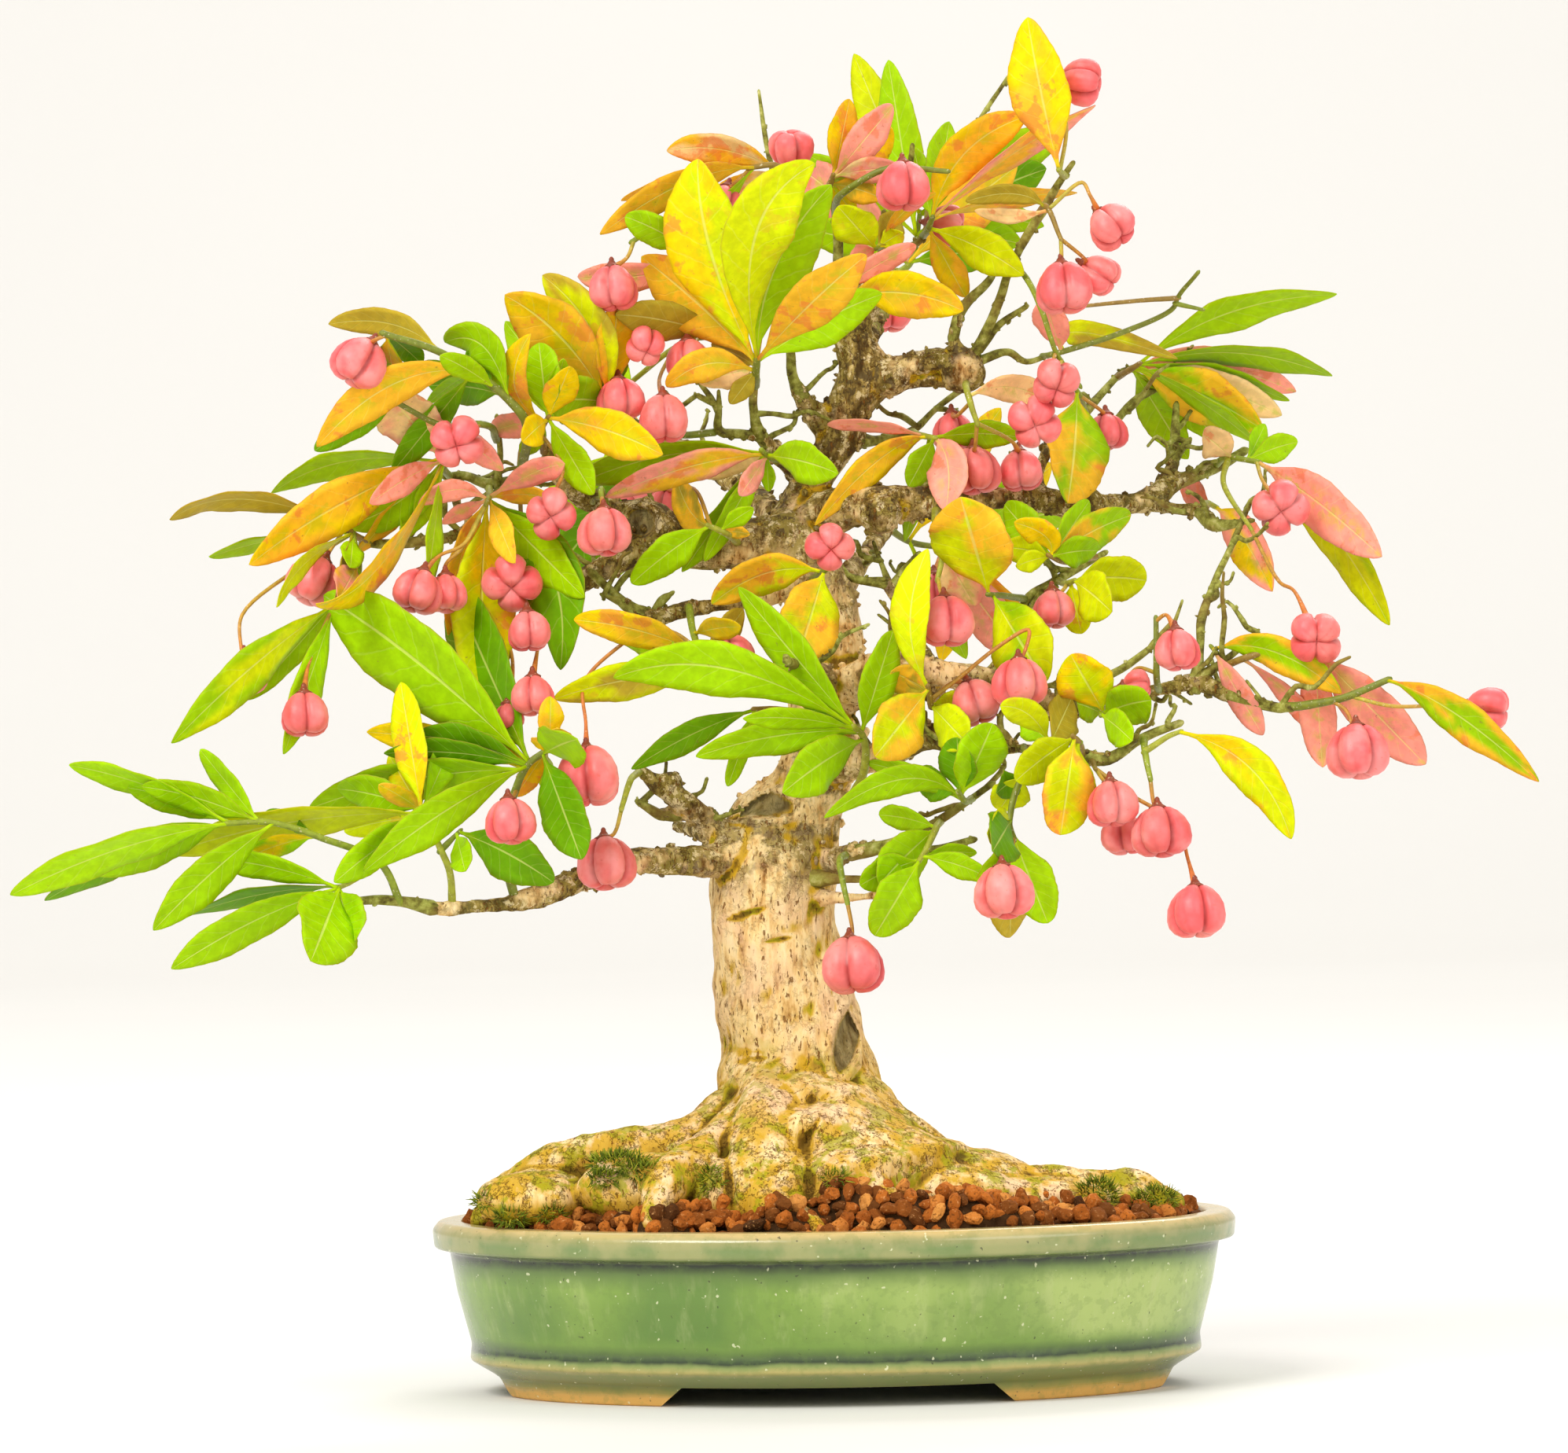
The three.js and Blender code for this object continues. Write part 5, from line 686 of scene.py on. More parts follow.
def tube(points, radii, sides, per_span, bump=0.0, seed=0.0):
    """A closed tube with rounded ends: points, faces and UVs."""
    path, radius = smooth_path(points, radii, per_span)
    ahead, side, over = frames_along(path)
    angle = circle(sides)
    # Two shrinking rings round each end off
    for end, sign in ((0, -1), (-1, 1)):
        for grow, shrink in ((0.45, 0.85), (0.8, 0.5)):
            extra = path[end] + sign * ahead[end] * radius[end] * grow
            base = radius[end]
            if end == 0 and radius[0] < radius[1] * 0.9:
                base = radius[1]
            where = len(path) if end else 0
            path, radius, ahead, side, over = (np.insert(row, where, value, 0) for row, value in (
                (path, extra), (radius, base * shrink), (ahead, ahead[end]), (side, side[end]),
                (over, over[end])))
    count = len(path)
    step = np.arange(count)[:, None]
    knobs = 1 + bump * (np.sin(3 * angle[None] + step * 0.7 + seed)
                        + 0.6 * np.sin(5 * angle[None] - step * 1.3 + seed))
    ring = (path[:, None] + radius[:, None, None] * knobs[..., None]
            * (np.cos(angle)[None, :, None] * side[:, None]
               + np.sin(angle)[None, :, None] * over[:, None]))
    points = ring.reshape(-1, 3)
    lids = [tuple(range(sides))[::-1], tuple(range((count - 1) * sides, count * sides))]
    faces = ring_faces(count, sides) + lids
    length = np.concatenate([[0], np.cumsum(np.linalg.norm(np.diff(path, axis=0), axis=1))])
    uv = np.stack(np.broadcast_arrays(length[:, None] * 100, (angle / (2 * math.pi))[None]), -1)
    return points, faces, uv.reshape(-1, 2)


def linear(hexadecimal):
    """A colour as the light that it sends back."""
    value = np.array([(hexadecimal >> s) & 255 for s in (16, 8, 0)]) / 255
    return np.where(value < 0.04045, value / 12.92, ((value + 0.055) / 1.055) ** 2.4)


TINTS = {key: linear(value) for key, value in dict(
    g=0x9ac803, d=0x68a004, l=0xcfdc04, y=0xecc806, o=0xf2b82c, p=0xf79a8c, s=0xf4cc92,
    b=0xb09c2c).items()}
print("tints", {key: value.round(2).tolist() for key, value in TINTS.items()})

# %% [markdown]
# ## Materials
#
# Everything is painted by nodes: the tint comes with the mesh, and veins, spots, gloss and
# relief are added on top.

# %% Node helpers
class Nodes:
    """Short ways to add nodes to a tree and to join them."""

    def fill(self, node, values):
        """Joins sockets to the inputs of a node, and sets numbers and colours on them."""
        for key, value in values.items():
            if isinstance(value, bpy.types.NodeSocket):
                self.tree.links.new(value, node.inputs[key])
            else:
                node.inputs[key].default_value = value

    def node(self, kind, inputs=None, **settings):
        """The outputs of a new node."""
        made = self.tree.nodes.new(kind if "Node" in kind else self.family + kind)
        for key, value in settings.items():
            setattr(made, key, value)
        self.fill(made, inputs or {})
        return made.outputs

    def math(self, operation, a, b=0.0):
        return self.node("ShaderNodeMath", {0: a, 1: b}, operation=operation)[0]

    def times(self, a, b):
        return self.math("MULTIPLY", a, b)

    def plus(self, a, b):
        return self.math("ADD", a, b)

    def minus(self, a, b):
        return self.math("SUBTRACT", a, b)

    def larger(self, a, b):
        return self.math("MAXIMUM", a, b)


class Paint(Nodes):
    """A new material."""
    family = "ShaderNode"

    def __init__(self, name):
        self.material = bpy.data.materials.new(name)
        self.material.use_nodes = True
        self.tree = self.material.node_tree

    def ramp(self, value, stops):
        colour = self.node("ValToRGB", {"Fac": value})["Color"]
        elements = colour.node.color_ramp.elements
        while len(elements) < len(stops):
            elements.new(0.5)
        for element, (place, rgb) in zip(elements, stops):
            element.position = place
            element.color = (*rgb, 1)
        return colour

    def mask(self, value, low, high):
        """0 at low and 1 at high, with a soft change between them."""
        return self.node("MapRange", {"Value": value, "From Min": low, "From Max": high},
                         interpolation_type="SMOOTHSTEP")["Result"]

    def mix(self, factor, a, b, blend="MIX"):
        a, b = (v if isinstance(v, bpy.types.NodeSocket) else (*v, 1) for v in (a, b))
        return self.node("Mix", {0: factor, 6: a, 7: b}, data_type="RGBA", blend_type=blend)[2]

    def over(self, colour, mask, share, paint):
        """Paint laid over a colour where the mask lets it through, at most to a share."""
        return self.mix(self.times(mask, share), colour, paint)

    def noise(self, place, scale, detail=4.0, rough=0.55):
        return self.node("TexNoise", {"Vector": place, "Scale": scale, "Detail": detail,
                                      "Roughness": rough})["Fac"]

    def stretched(self, place, upright):
        return self.node("Mapping", {"Vector": place, "Scale": (1, 1, upright)})["Vector"]

    def finish(self, colour, roughness, bump=None, strength=0.4, distance=0.0004, **more):
        values = {"Base Color": colour, "Roughness": roughness}
        values.update((key.replace("_", " "), value) for key, value in more.items())
        if bump is not None:
            values["Normal"] = self.node(
                "Bump", {"Height": bump, "Strength": strength, "Distance": distance})["Normal"]
        self.fill(self.tree.nodes["Principled BSDF"], values)
        return self.material


print("node helpers ready")

# %% Leaf, stem and fruit
def leaf_material():
    """Pale midrib, slanted side veins and faint mottling over the tint of each leaf."""
    p = Paint("leaf_skin")
    tint = p.node("Attribute", attribute_name="Tint")["Color"]
    place = p.node("TexCoord")["Object"]
    split = p.node("SeparateXYZ", {"Vector": p.node("UVMap", uv_map="UVMap")["UV"]})
    along, across = split["X"], p.math("ABSOLUTE", split["Y"])
    slant = p.minus(p.times(along, 9.0), p.times(across, 1.35))
    wander = p.times(p.noise(place, 260.0), 0.5)
    side = p.math("PINGPONG", p.plus(slant, wander), 0.5)
    side_vein = p.mask(side, 0.075, 0.0)
    midrib = p.mask(across, 0.055, 0.02)
    vein = p.larger(midrib, p.times(side_vein, 0.24))
    mottle = p.noise(place, 420.0, 5.0, 0.6)
    shade = p.mix(p.mask(mottle, 0.35, 0.7), (0.93, 0.94, 0.88), (1.13, 1.13, 1.05))
    colour = p.mix(1.0, tint, shade, "MULTIPLY")
    # Leaves that have turned also flame: green stays by the veins, red runs between them
    turned = p.mask(p.node("SeparateColor", {"Color": tint})["Red"], 0.55, 0.8)
    flame = p.noise(place, 150.0, 4.0, 0.6)
    red = p.times(p.times(turned, p.mask(flame, 0.57, 0.63)), 0.55)
    colour = p.mix(red, colour, (0.80, 0.17, 0.05))
    left = p.times(p.times(turned, p.mask(flame, 0.50, 0.40)), 0.5)
    colour = p.over(colour, left, p.mask(across, 0.75, 0.1), (0.45, 0.55, 0.01))
    colour = p.over(colour, vein, 0.42, (0.80, 0.82, 0.24))
    rim = p.times(p.mask(across, 0.93, 1.0), 0.35)
    colour = p.mix(rim, colour, (0.38, 0.19, 0.02))
    spots = p.mask(p.noise(place, 900.0, 2.0, 0.5), 0.70, 0.78)
    colour = p.over(colour, spots, 0.5, (0.22, 0.10, 0.04))
    height = p.minus(p.times(mottle, 0.35), vein)
    rough = p.mask(mottle, 0.2, 0.9)
    rough = p.plus(p.times(rough, 0.16), 0.40)
    return p.finish(colour, rough, height, 0.5, 0.0003,
                    Subsurface_Weight=0.1, Subsurface_Scale=0.002, Specular_IOR_Level=0.08)


def stem_material():
    """Young bark: olive to reddish skin with fine lengthwise grain and pale specks."""
    p = Paint("stem_skin")
    tint = p.node("Attribute", attribute_name="Tint")["Color"]
    place = p.node("TexCoord")["Object"]
    grain = p.noise(place, 700.0, 4.0)
    colour = p.mix(1.0, tint, p.ramp(grain, [(0.3, (0.7, 0.68, 0.64)), (0.7, (1.15, 1.15, 1.1))]),
                   "MULTIPLY")
    specks = p.mask(p.noise(place, 1500.0, 1.0), 0.66, 0.72)
    colour = p.over(colour, specks, 0.5, (0.75, 0.66, 0.45))
    return p.finish(colour, 0.55, grain, 0.4, 0.0002)


def fruit_material():
    """Waxy coral skin. The tint brings a deep red to the creases that is partly painted shade, and pale pink
    patches by noise are painted highlights.
    """
    p = Paint("fruit_skin")
    tint = p.node("Attribute", attribute_name="Tint")["Color"]
    place = p.node("TexCoord")["Object"]
    cloud = p.noise(place, 190.0, 3.0)
    grain = p.noise(place, 1300.0, 3.0)
    colour = p.mix(1.0, tint, p.ramp(cloud, [(0.3, (0.95, 0.78, 0.74)), (0.7, (1.10, 1.34, 1.34))]),
                   "MULTIPLY")
    # Pale pink patches by noise are painted highlights
    pale_highlight = p.mask(p.noise(place, 110.0, 3.0), 0.44, 0.66)
    colour = p.over(colour, pale_highlight, 0.3, (0.96, 0.50, 0.46))
    dots = p.mask(p.noise(place, 1000.0, 1.0), 0.68, 0.74)
    colour = p.over(colour, dots, 0.35, (0.62, 0.10, 0.06))
    return p.finish(colour, 0.42, grain, 0.25, 0.0002,
                    Subsurface_Weight=0.12, Subsurface_Scale=0.002, Specular_IOR_Level=0.4)


SKINS = [leaf_material(), stem_material(), fruit_material()]
print("skins", [m.name for m in SKINS])

# %% [markdown]
# ## Where each shape of a spray really stands
#
# The solids were bent in depth until they stood clear of each other. The same shifts are tried
# here, and the one whose point meets the solid is kept, so that the fine shape lies over it.

# %% Finding the depth of each shape
class Solid:
    """A CAD node, asked how far a point is from it."""

    def __init__(self, name):
        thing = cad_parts[name]
        points = points_of(thing)
        self.corners = KDTree(len(points))
        for i, p in enumerate(points):
            self.corners.insert(p, i)
        self.corners.balance()
        self.surface = surface_of(thing)

    def corner_gap(self, point):
        return self.corners.find(Vector(point))[2]

    def surface_gap(self, point):
        return self.surface.find_nearest(Vector(point))[3]


def best_shift(score):
    """The shift with the lowest score; a smaller shift wins a tie."""
    return min(DEPTH_SHIFTS, key=lambda shift: score(shift) + abs(shift) * 1e-6)


def nearest_on_stems(stems, across, down):
    """The place on a spray's stems that lies nearest in the front view."""
    best = None
    for rows in stems:
        for i in range(1, len(rows)):
            (ax, ay, ad), (bx, by, bd) = rows[i - 1], rows[i]
            run = (bx - ax) ** 2 + (by - ay) ** 2
            share = ((across - ax) * (bx - ax) + (down - ay) * (by - ay)) / run
            share = min(max(share, 0.12 if i == 1 else 0), 0.96)
            x, y = ax + (bx - ax) * share, ay + (by - ay) * share
            far = math.hypot(across - x, down - y)
            if best is None or far < best[0]:
                best = (far, [x, y, ad + (bd - ad) * share])
    return best[1]


def leaf_frame(row, stems, shift):
    """Base, middle and tip of a leaf, its half width and its roll, by the rule of the solids."""
    bx, by, tx, ty, width, _, *more = row
    x, y, depth = nearest_on_stems(stems, bx, by)
    seen_length = math.hypot(tx - x, ty - y) / VIEW_SCALE
    seen_width = width / VIEW_SCALE
    wide = max(seen_width / 0.86, seen_length * LEAF_RATIO * 0.8)
    true_length = max(seen_length, seen_width * 1.9)
    toward = -min(math.sqrt(true_length**2 - seen_length**2), 24)
    tip_depth = depth + (more[0] if more else toward - 2) + shift
    roll = math.acos(min(seen_width / wide, 0.95))
    level = 0.05 if abs(tx - x) > abs(ty - y) else 0
    middle = more[1:3] if len(more) > 1 else [(x + tx) / 2, (y + ty) / 2 - level * abs(tx - x)]
    middle_depth = (depth + tip_depth) / 2 - 0.05 * seen_length + shift * 0.25
    base, middle, tip = at([[x, y, depth], [*middle, middle_depth], [tx, ty, tip_depth]])
    return base, middle, tip, wide / 2 * MM, (1 if tx > x else -1) * roll


def fruit_frame(row, shift):
    """Centre, direction and width of a fruit."""
    across, down, depth, width, aim, _ = row
    return at([across, down, depth + shift])[0], unit(np.array([aim[0], -aim[2], aim[1]])), \
        width / VIEW_SCALE * MM


print("shifts to try", DEPTH_SHIFTS)

# %% [markdown]
# ## Leaves
#
# A blade is drawn in toward its stalk, widest beyond its middle, and ends blunt. It folds up
# along the midrib, ripples, and carries fine teeth.

# %% The fine leaf
LEAF_ROWS = 26
LEAF_COLUMNS = 6
BLADE_HALF_THICKNESS = 0.2 * MM
STALK_HALF_WIDTH = 0.5 * MM
LONG_FROM = 26
PALE_UNDER = np.array([0.42, 0.44, 0.22])


def blade_outline(t, long):
    """Half width along the leaf, as a share of the widest."""
    u = np.clip((t - 0.05) / 0.95, 0, 1)
    widest, blunt = (1.1, 0.66) if long else (1.14, 0.56)
    return np.sin(np.pi * u**widest) ** (blunt + 0.5 * (1 - u) ** 2)


def leaf_faces(rows, columns):
    """Upper and under face of a blade, and the narrow edge between them."""
    half = rows * columns
    faces = []
    for i in range(rows - 1):
        for k in range(columns - 1):
            a = i * columns + k
            faces.append((a, a + 1, a + columns + 1, a + columns))
            faces.append((half + a, half + a + columns, half + a + columns + 1, half + a + 1))
        a, b = i * columns, i * columns + columns - 1
        faces.append((a, a + columns, half + a + columns, half + a))
        faces.append((b, half + b, half + b + columns, b + columns))
    for k in range(columns - 1):
        a, b = k, (rows - 1) * columns + k
        faces.append((a, half + a, half + a + 1, a + 1))
        faces.append((b, b + 1, half + b + 1, half + b))
    return faces


def leaf_tint(tints, t, v, rng):
    """Mixes the leaf's tints in soft patches that favour the tip and the edge."""
    first, second = TINTS[tints[0]], TINTS[tints[-1]]
    a, b, c = rng.uniform(0, 6.28, 3)
    cloud = (0.5 + 0.22 * np.sin(5.2 * t + a + 1.7 * v) + 0.18 * np.sin(9.1 * t - 3.1 * v + b)
             + 0.1 * np.sin(17 * t + 6 * v + c))
    share = np.clip((cloud + 0.25 * t + 0.25 * np.abs(v) - 0.66) / 0.16, 0, 1)[..., None]
    share = share if len(tints) > 1 else share * 0
    colour = first * (1 - share) + second * share
    base_green = np.clip(1 - t / 0.25 - np.abs(v) * 0.5, 0, 1)[..., None] * 0.6
    colour = colour * (1 - base_green) + TINTS["l"] * base_green
    return colour * (1 + rng.uniform(-0.14, 0.14)) * (0.94 + 0.12 * cloud[..., None])


def add_leaf(body, row, frame_of, wave_start, rng):
    """A blade with a stalk, laid along the curve from its base to its tip."""
    base, middle, tip, half_width, roll = frame_of
    t = 1 - (1 - np.linspace(0, 1, LEAF_ROWS)[:, None]) ** 1.35
    long = np.linalg.norm(tip - base) > LONG_FROM * MM
    control = 2 * middle - base / 2 - tip / 2
    path = (1 - t) ** 2 * base + 2 * t * (1 - t) * control + t**2 * tip
    ahead = unit(2 * (1 - t) * (control - base) + 2 * t * (tip - control))
    front = unit(np.array([0, -1.0, 0]) + ahead * ahead[:, 1:2])
    front = front * math.cos(roll) + np.cross(ahead, front) * math.sin(roll)
    side = np.cross(ahead, front)
    reach = half_width * blade_outline(t[:, 0], long)
    teeth = 1 + 0.011 * (np.arange(LEAF_ROWS) % 2 * 2 - 1) * (t[:, 0] > 0.16)
    reach = np.maximum(reach * teeth, STALK_HALF_WIDTH * (1 - 0.7 * t[:, 0]))
    v = np.linspace(-1, 1, LEAF_COLUMNS + 1)[None]
    section = (t[:, 0] - 0.13) / 0.3
    twist = np.sin(wave_start + 2.2 * section) * 0.13 * np.clip(section, 0, 1)
    ripple = 0.05 * np.sin(t * (19 + 5 * rng.random()) + v * 0.9 + rng.uniform(0, 6)) * np.abs(v) ** 2
    lift = reach[:, None] * (0.14 * np.abs(v) ** 1.4 - v * twist[:, None] + ripple)
    centre = path[:, None] + side[:, None] * (reach[:, None] * v)[..., None]
    thick = BLADE_HALF_THICKNESS * (1 - 0.55 * np.abs(v)) * np.ones_like(t)
    stalk = np.clip(1 - t / 0.12, 0, 1) * STALK_HALF_WIDTH * 0.8 * (1 - v**2)
    top = centre + front[:, None] * (lift + thick + stalk)[..., None]
    under = centre + front[:, None] * (lift - thick - stalk)[..., None]
    points = np.concatenate([top.reshape(-1, 3), under.reshape(-1, 3)])
    grid_t, grid_v = np.broadcast_arrays(t, v)
    uv = np.stack([grid_t, grid_v], -1).reshape(-1, 2)
    colour = leaf_tint(row[5], grid_t, grid_v, rng).reshape(-1, 3)
    pale = colour * 0.8 + PALE_UNDER * 0.2
    body.add(points, LEAF_FACES, np.tile(uv, (2, 1)), np.concatenate([colour, pale]), LEAF)


LEAF_FACES = leaf_faces(LEAF_ROWS, LEAF_COLUMNS + 1)
print("faces of a leaf:", len(LEAF_FACES))

# %% [markdown]
# ## Fruits
#
# The capsule has four rounded lobes with deep creases between them, a dimple at each end, and
# the dry remains of the calyx where the stalk joins.

# %% The fine fruit
FRUIT_AROUND = 40
CAPSULE_LENGTH = 1.18
# Shares of a capsule's length and width: its neck, and the point that the solid is asked for
NECK = 0.38
FRUIT_TIP = 0.26
CAPSULE_PROFILE = np.array([
    (-0.345, 0.0), (-0.37, 0.1), (-0.38, 0.24), (-0.36, 0.42), (-0.305, 0.62), (-0.21, 0.82),
    (-0.09, 0.96), (0.03, 1.0), (0.13, 0.95), (0.21, 0.8), (0.26, 0.6), (0.275, 0.4),
    (0.255, 0.2), (0.225, 0.08), (0.21, 0.0)])
# The deep red of the creases is partly painted shade
CORAL, CREASE_RED_AND_SHADE, BLUSH = linear(0xf26468), linear(0xb01c14), linear(0xf89488)
SEPAL_BROWN = linear(0x8e3c22)
CALYX_BROWN = linear(0x96482a)
STALK_TINTS = [linear(0xd86a30), linear(0xb09430), linear(0xb4b83c)]


def add_capsule(body, centre, axis, width, spin, rng):
    """A capsule of four lobes, with its calyx."""
    front = unit(np.cross(np.array([0.31, -0.9, 0.2]), axis))
    over = np.cross(axis, front)
    angle = circle(FRUIT_AROUND)
    lobe = np.abs(np.cos(2 * angle)) ** 0.42
    uneven = 1 + 0.05 * np.sin(angle + rng.uniform(0, 6)) + 0.03 * np.sin(2 * angle + rng.uniform(0, 6))
    along, out = CAPSULE_PROFILE[1:-1, :1], CAPSULE_PROFILE[1:-1, 1:]
    around = np.cos(angle + spin)[:, None] * front + np.sin(angle + spin)[:, None] * over
    depth = 0.36 * np.sqrt(np.clip(out, 0, 1))
    reach = width / 2 * out * (1 - depth * (1 - lobe)) * uneven
    swell = width * 0.045 * (lobe - 0.5) * np.sign(along)
    ring = (centre + axis * (along * CAPSULE_LENGTH * width + swell)[..., None]
            + reach[..., None] * around)
    ends = centre + axis * CAPSULE_PROFILE[[0, -1], :1] * CAPSULE_LENGTH * width
    points = np.concatenate([ring.reshape(-1, 3), ends])
    faces = closed_rings(len(along), FRUIT_AROUND)
    # Deep red on the seam of each lobe's crest and in the grooves; in the grooves and, by end_shade, in the
    # dimples at both ends it is partly painted shade
    keel = 0.22 * np.exp(-((np.abs(np.cos(2 * angle)) - 1) / 0.02) ** 2)
    seam_and_groove_shade = ((1 - lobe) ** 1.1 + keel) * np.ones_like(along)
    end_shade = np.clip(1 - out / 0.35, 0, 1) * np.ones_like(angle)
    share = np.clip(seam_and_groove_shade * 0.85 + end_shade * 0.6, 0, 1)[..., None]
    warm = (0.5 + 0.5 * np.sin(angle + rng.uniform(0, 6)))[None, :, None] * rng.uniform(0.1, 0.6)
    colour = CORAL * (1 - warm) + BLUSH * warm
    colour = colour * (1 - share) + CREASE_RED_AND_SHADE * share
    colour = np.broadcast_to(colour, (*share.shape[:2], 3)).reshape(-1, 3)
    colour = np.concatenate([colour, [CREASE_RED_AND_SHADE, CREASE_RED_AND_SHADE]]) * rng.uniform(0.9, 1.06)
    uv = np.stack(np.broadcast_arrays(angle[None] / 6.283, out), -1).reshape(-1, 2)
    body.add(points, faces, np.concatenate([uv, [[0, 0], [0, 0]]]), colour, FRUIT)
    # Calyx: four blunt dry scales round the end of the stalk
    scale = 0.5 + 0.5 * np.abs(np.cos(2 * angle + 0.6)) ** 0.7
    rows = [(-0.34, 0.0), (-0.36, 0.18), (-0.382, 0.36), (-0.40, 0.3), (-0.395, 0.1), (-0.40, 0.0)]
    rings_of = [centre + axis * a * CAPSULE_LENGTH * width + (width / 2 * r * scale)[:, None]
                * (np.cos(angle)[:, None] * front + np.sin(angle)[:, None] * over)
                for a, r in rows[1:-1]]
    ends = centre + axis * np.array([rows[0][:1], rows[-1][:1]]) * CAPSULE_LENGTH * width
    points = np.concatenate([*rings_of, ends])
    # These rings run the other way, so each face is turned over
    faces = [(f[1], f[0], *f[:1:-1]) for f in closed_rings(len(rings_of), FRUIT_AROUND)]
    body.add(points, faces, np.zeros((len(points), 2)), CALYX_BROWN, STEM)


def add_fruit(body, row, stems, shift, spin, rng):
    """A stalk from the nearest stem, with sepals and a capsule at its end."""
    centre, axis, width = fruit_frame(row, shift)
    stalk = row[5]
    first = nearest_on_stems(stems, *stalk[0])
    depth = row[2] + shift
    bends = [[x, y, first[2] + (depth - first[2]) * (i + 1) / (len(stalk) + 0.5)]
             for i, (x, y) in enumerate(stalk[1:])]
    neck = centre - axis * NECK * CAPSULE_LENGTH * width
    points = np.concatenate([at([first, *bends]), [neck]])
    radii = np.linspace(0.5, 0.4, len(points)) * MM
    radii[-1] = 0.8 * MM
    shape = tube(points, radii, 8, 7)
    share = np.clip(np.arange(len(shape[0])) / len(shape[0]), 0, 1)[:, None]
    tint = STALK_TINTS[1 + int(rng.random() > 0.5)] * (1 - share) + STALK_TINTS[0] * share
    body.add(*shape, tint, STEM)
    # Dry sepals sit round the end of the stalk
    cup = np.array([neck - axis * lift * MM for lift in (2.0, 1.1, 0.4)])
    body.add(*tube(cup, np.array([0.6, 1.1, 2.0]) * MM, 8, 3), SEPAL_BROWN, STEM)
    add_capsule(body, centre, axis, width, spin, rng)


print("faces of a fruit:", len(closed_rings(len(CAPSULE_PROFILE) - 2, FRUIT_AROUND)))


# %% [markdown]
# ## One piece for each spray
#
# Young stems start inside the bough that carries them. Leaves and fruits come in the order of
# the solids, so that their random numbers agree. A smaller leaf behind every second one fills
# the crown.

# %% Build the sprays
STEM_TINTS = [linear(0x8a981e), linear(0xa2a62c), linear(0x7a8420), linear(0x94782c)]
# Share of leaves that get a filler leaf, its size, and how far back it stands in millimetres
FILLED, FILLER_SIZE, FILLER_BACK = 0.55, 0.74, 7
# Share of turned filler leaves that stay green, and the place that they turn to
FRESH, CROWN_MIDDLE = 0.7, (1000, 700)


def filler(leaf, tints, rng):
    """A smaller leaf from the same place on the stem, turned towards the middle of the crown."""
    bx, by, tx, ty, width = leaf[:5]
    turn = rng.uniform(0.35, 0.8)
    tips = []
    for side in (-turn, turn):
        c, s = math.cos(side) * FILLER_SIZE, math.sin(side) * FILLER_SIZE
        tips.append([bx + (tx - bx) * c - (ty - by) * s, by + (tx - bx) * s + (ty - by) * c])
    tip = min(tips, key=lambda place: math.dist(place, CROWN_MIDDLE))
    return [bx, by, *tip, width * FILLER_SIZE, tints]


def build_spray(row, number):
    """The mesh of a spray, and how far its fruits and leaves lie off the solid."""
    name = row["name"]
    solid = Solid(name)
    body = Body()
    rng = np.random.default_rng(1000 + number)
    thick, leaves, fruits = row["thick"], row["leaves"], row["fruits"]
    random = draws(len(name) * 7919 + row["stems"][0][0][0])
    gaps, kept = [], []
    for i, rows in enumerate(row["stems"]):
        radius = thick * (0.85 if i else 1)

        def moved(shift):
            return [rows[0]] + [[x, y, depth + shift] for x, y, depth in rows[1:]]

        shift = best_shift(lambda s: sum(
            max(0, solid.surface_gap(p) - radius * MM) for p in at(moved(s))[1:]))
        stem = moved(shift)
        kept.append(stem)
        points = at(stem)
        radii = radius * np.linspace(0.95, 0.62, len(points)) * MM
        shape = tube(points, radii, 10, 8, 0.05, number)
        tint = STEM_TINTS[(number + i) % len(STEM_TINTS)]
        body.add(*shape, tint, STEM)
    for fruit in fruits:
        spin = random() * 1.6

        def fruit_gap(shift):
            centre, axis, width = fruit_frame(fruit, shift)
            return solid.corner_gap(centre + axis * FRUIT_TIP * width)

        shift = best_shift(fruit_gap)
        gaps.append(fruit_gap(shift))
        add_fruit(body, fruit, kept, shift, spin, rng)
    for leaf in leaves:
        draw = random()

        def leaf_gap(shift):
            return solid.corner_gap(leaf_frame(leaf, kept, shift)[2])

        shift = best_shift(leaf_gap)
        gaps.append(leaf_gap(shift))
        add_leaf(body, leaf, leaf_frame(leaf, kept, shift), draw * 6, rng)
        if len(leaves) > 2 and rng.random() < FILLED:
            hues = leaves[rng.integers(len(leaves))][5]
            if hues[0] in "opsb" and rng.random() < FRESH:
                hues = "g"
            small = filler(leaf, hues, rng)
            add_leaf(body, small, leaf_frame(small, kept, shift + FILLER_BACK), draw * 6, rng)
    piece = body.object(name + ".fine", SKINS)
    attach(piece, "root")
    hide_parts(name)
    return piece, gaps


sprays = []
worst = []
for number, row in enumerate(SPRAYS):
    piece, gaps = build_spray(row, number)
    sprays.append(piece)
    worst += [(round(g / MM, 2), row["name"]) for g in gaps]
worst.sort(reverse=True)
print(len(sprays), "sprays with", sum(len(p.data.polygons) for p in sprays), "faces")
print("points that lie off their solid, mm:", worst[:8])

# %% [markdown]
# ## Wood
#
# Trunk, roots and thick boughs are run together by a voxel remesh, so that they flow into each
# other. Then old cuts are sunk into the trunk, and a node group adds furrows and grain.

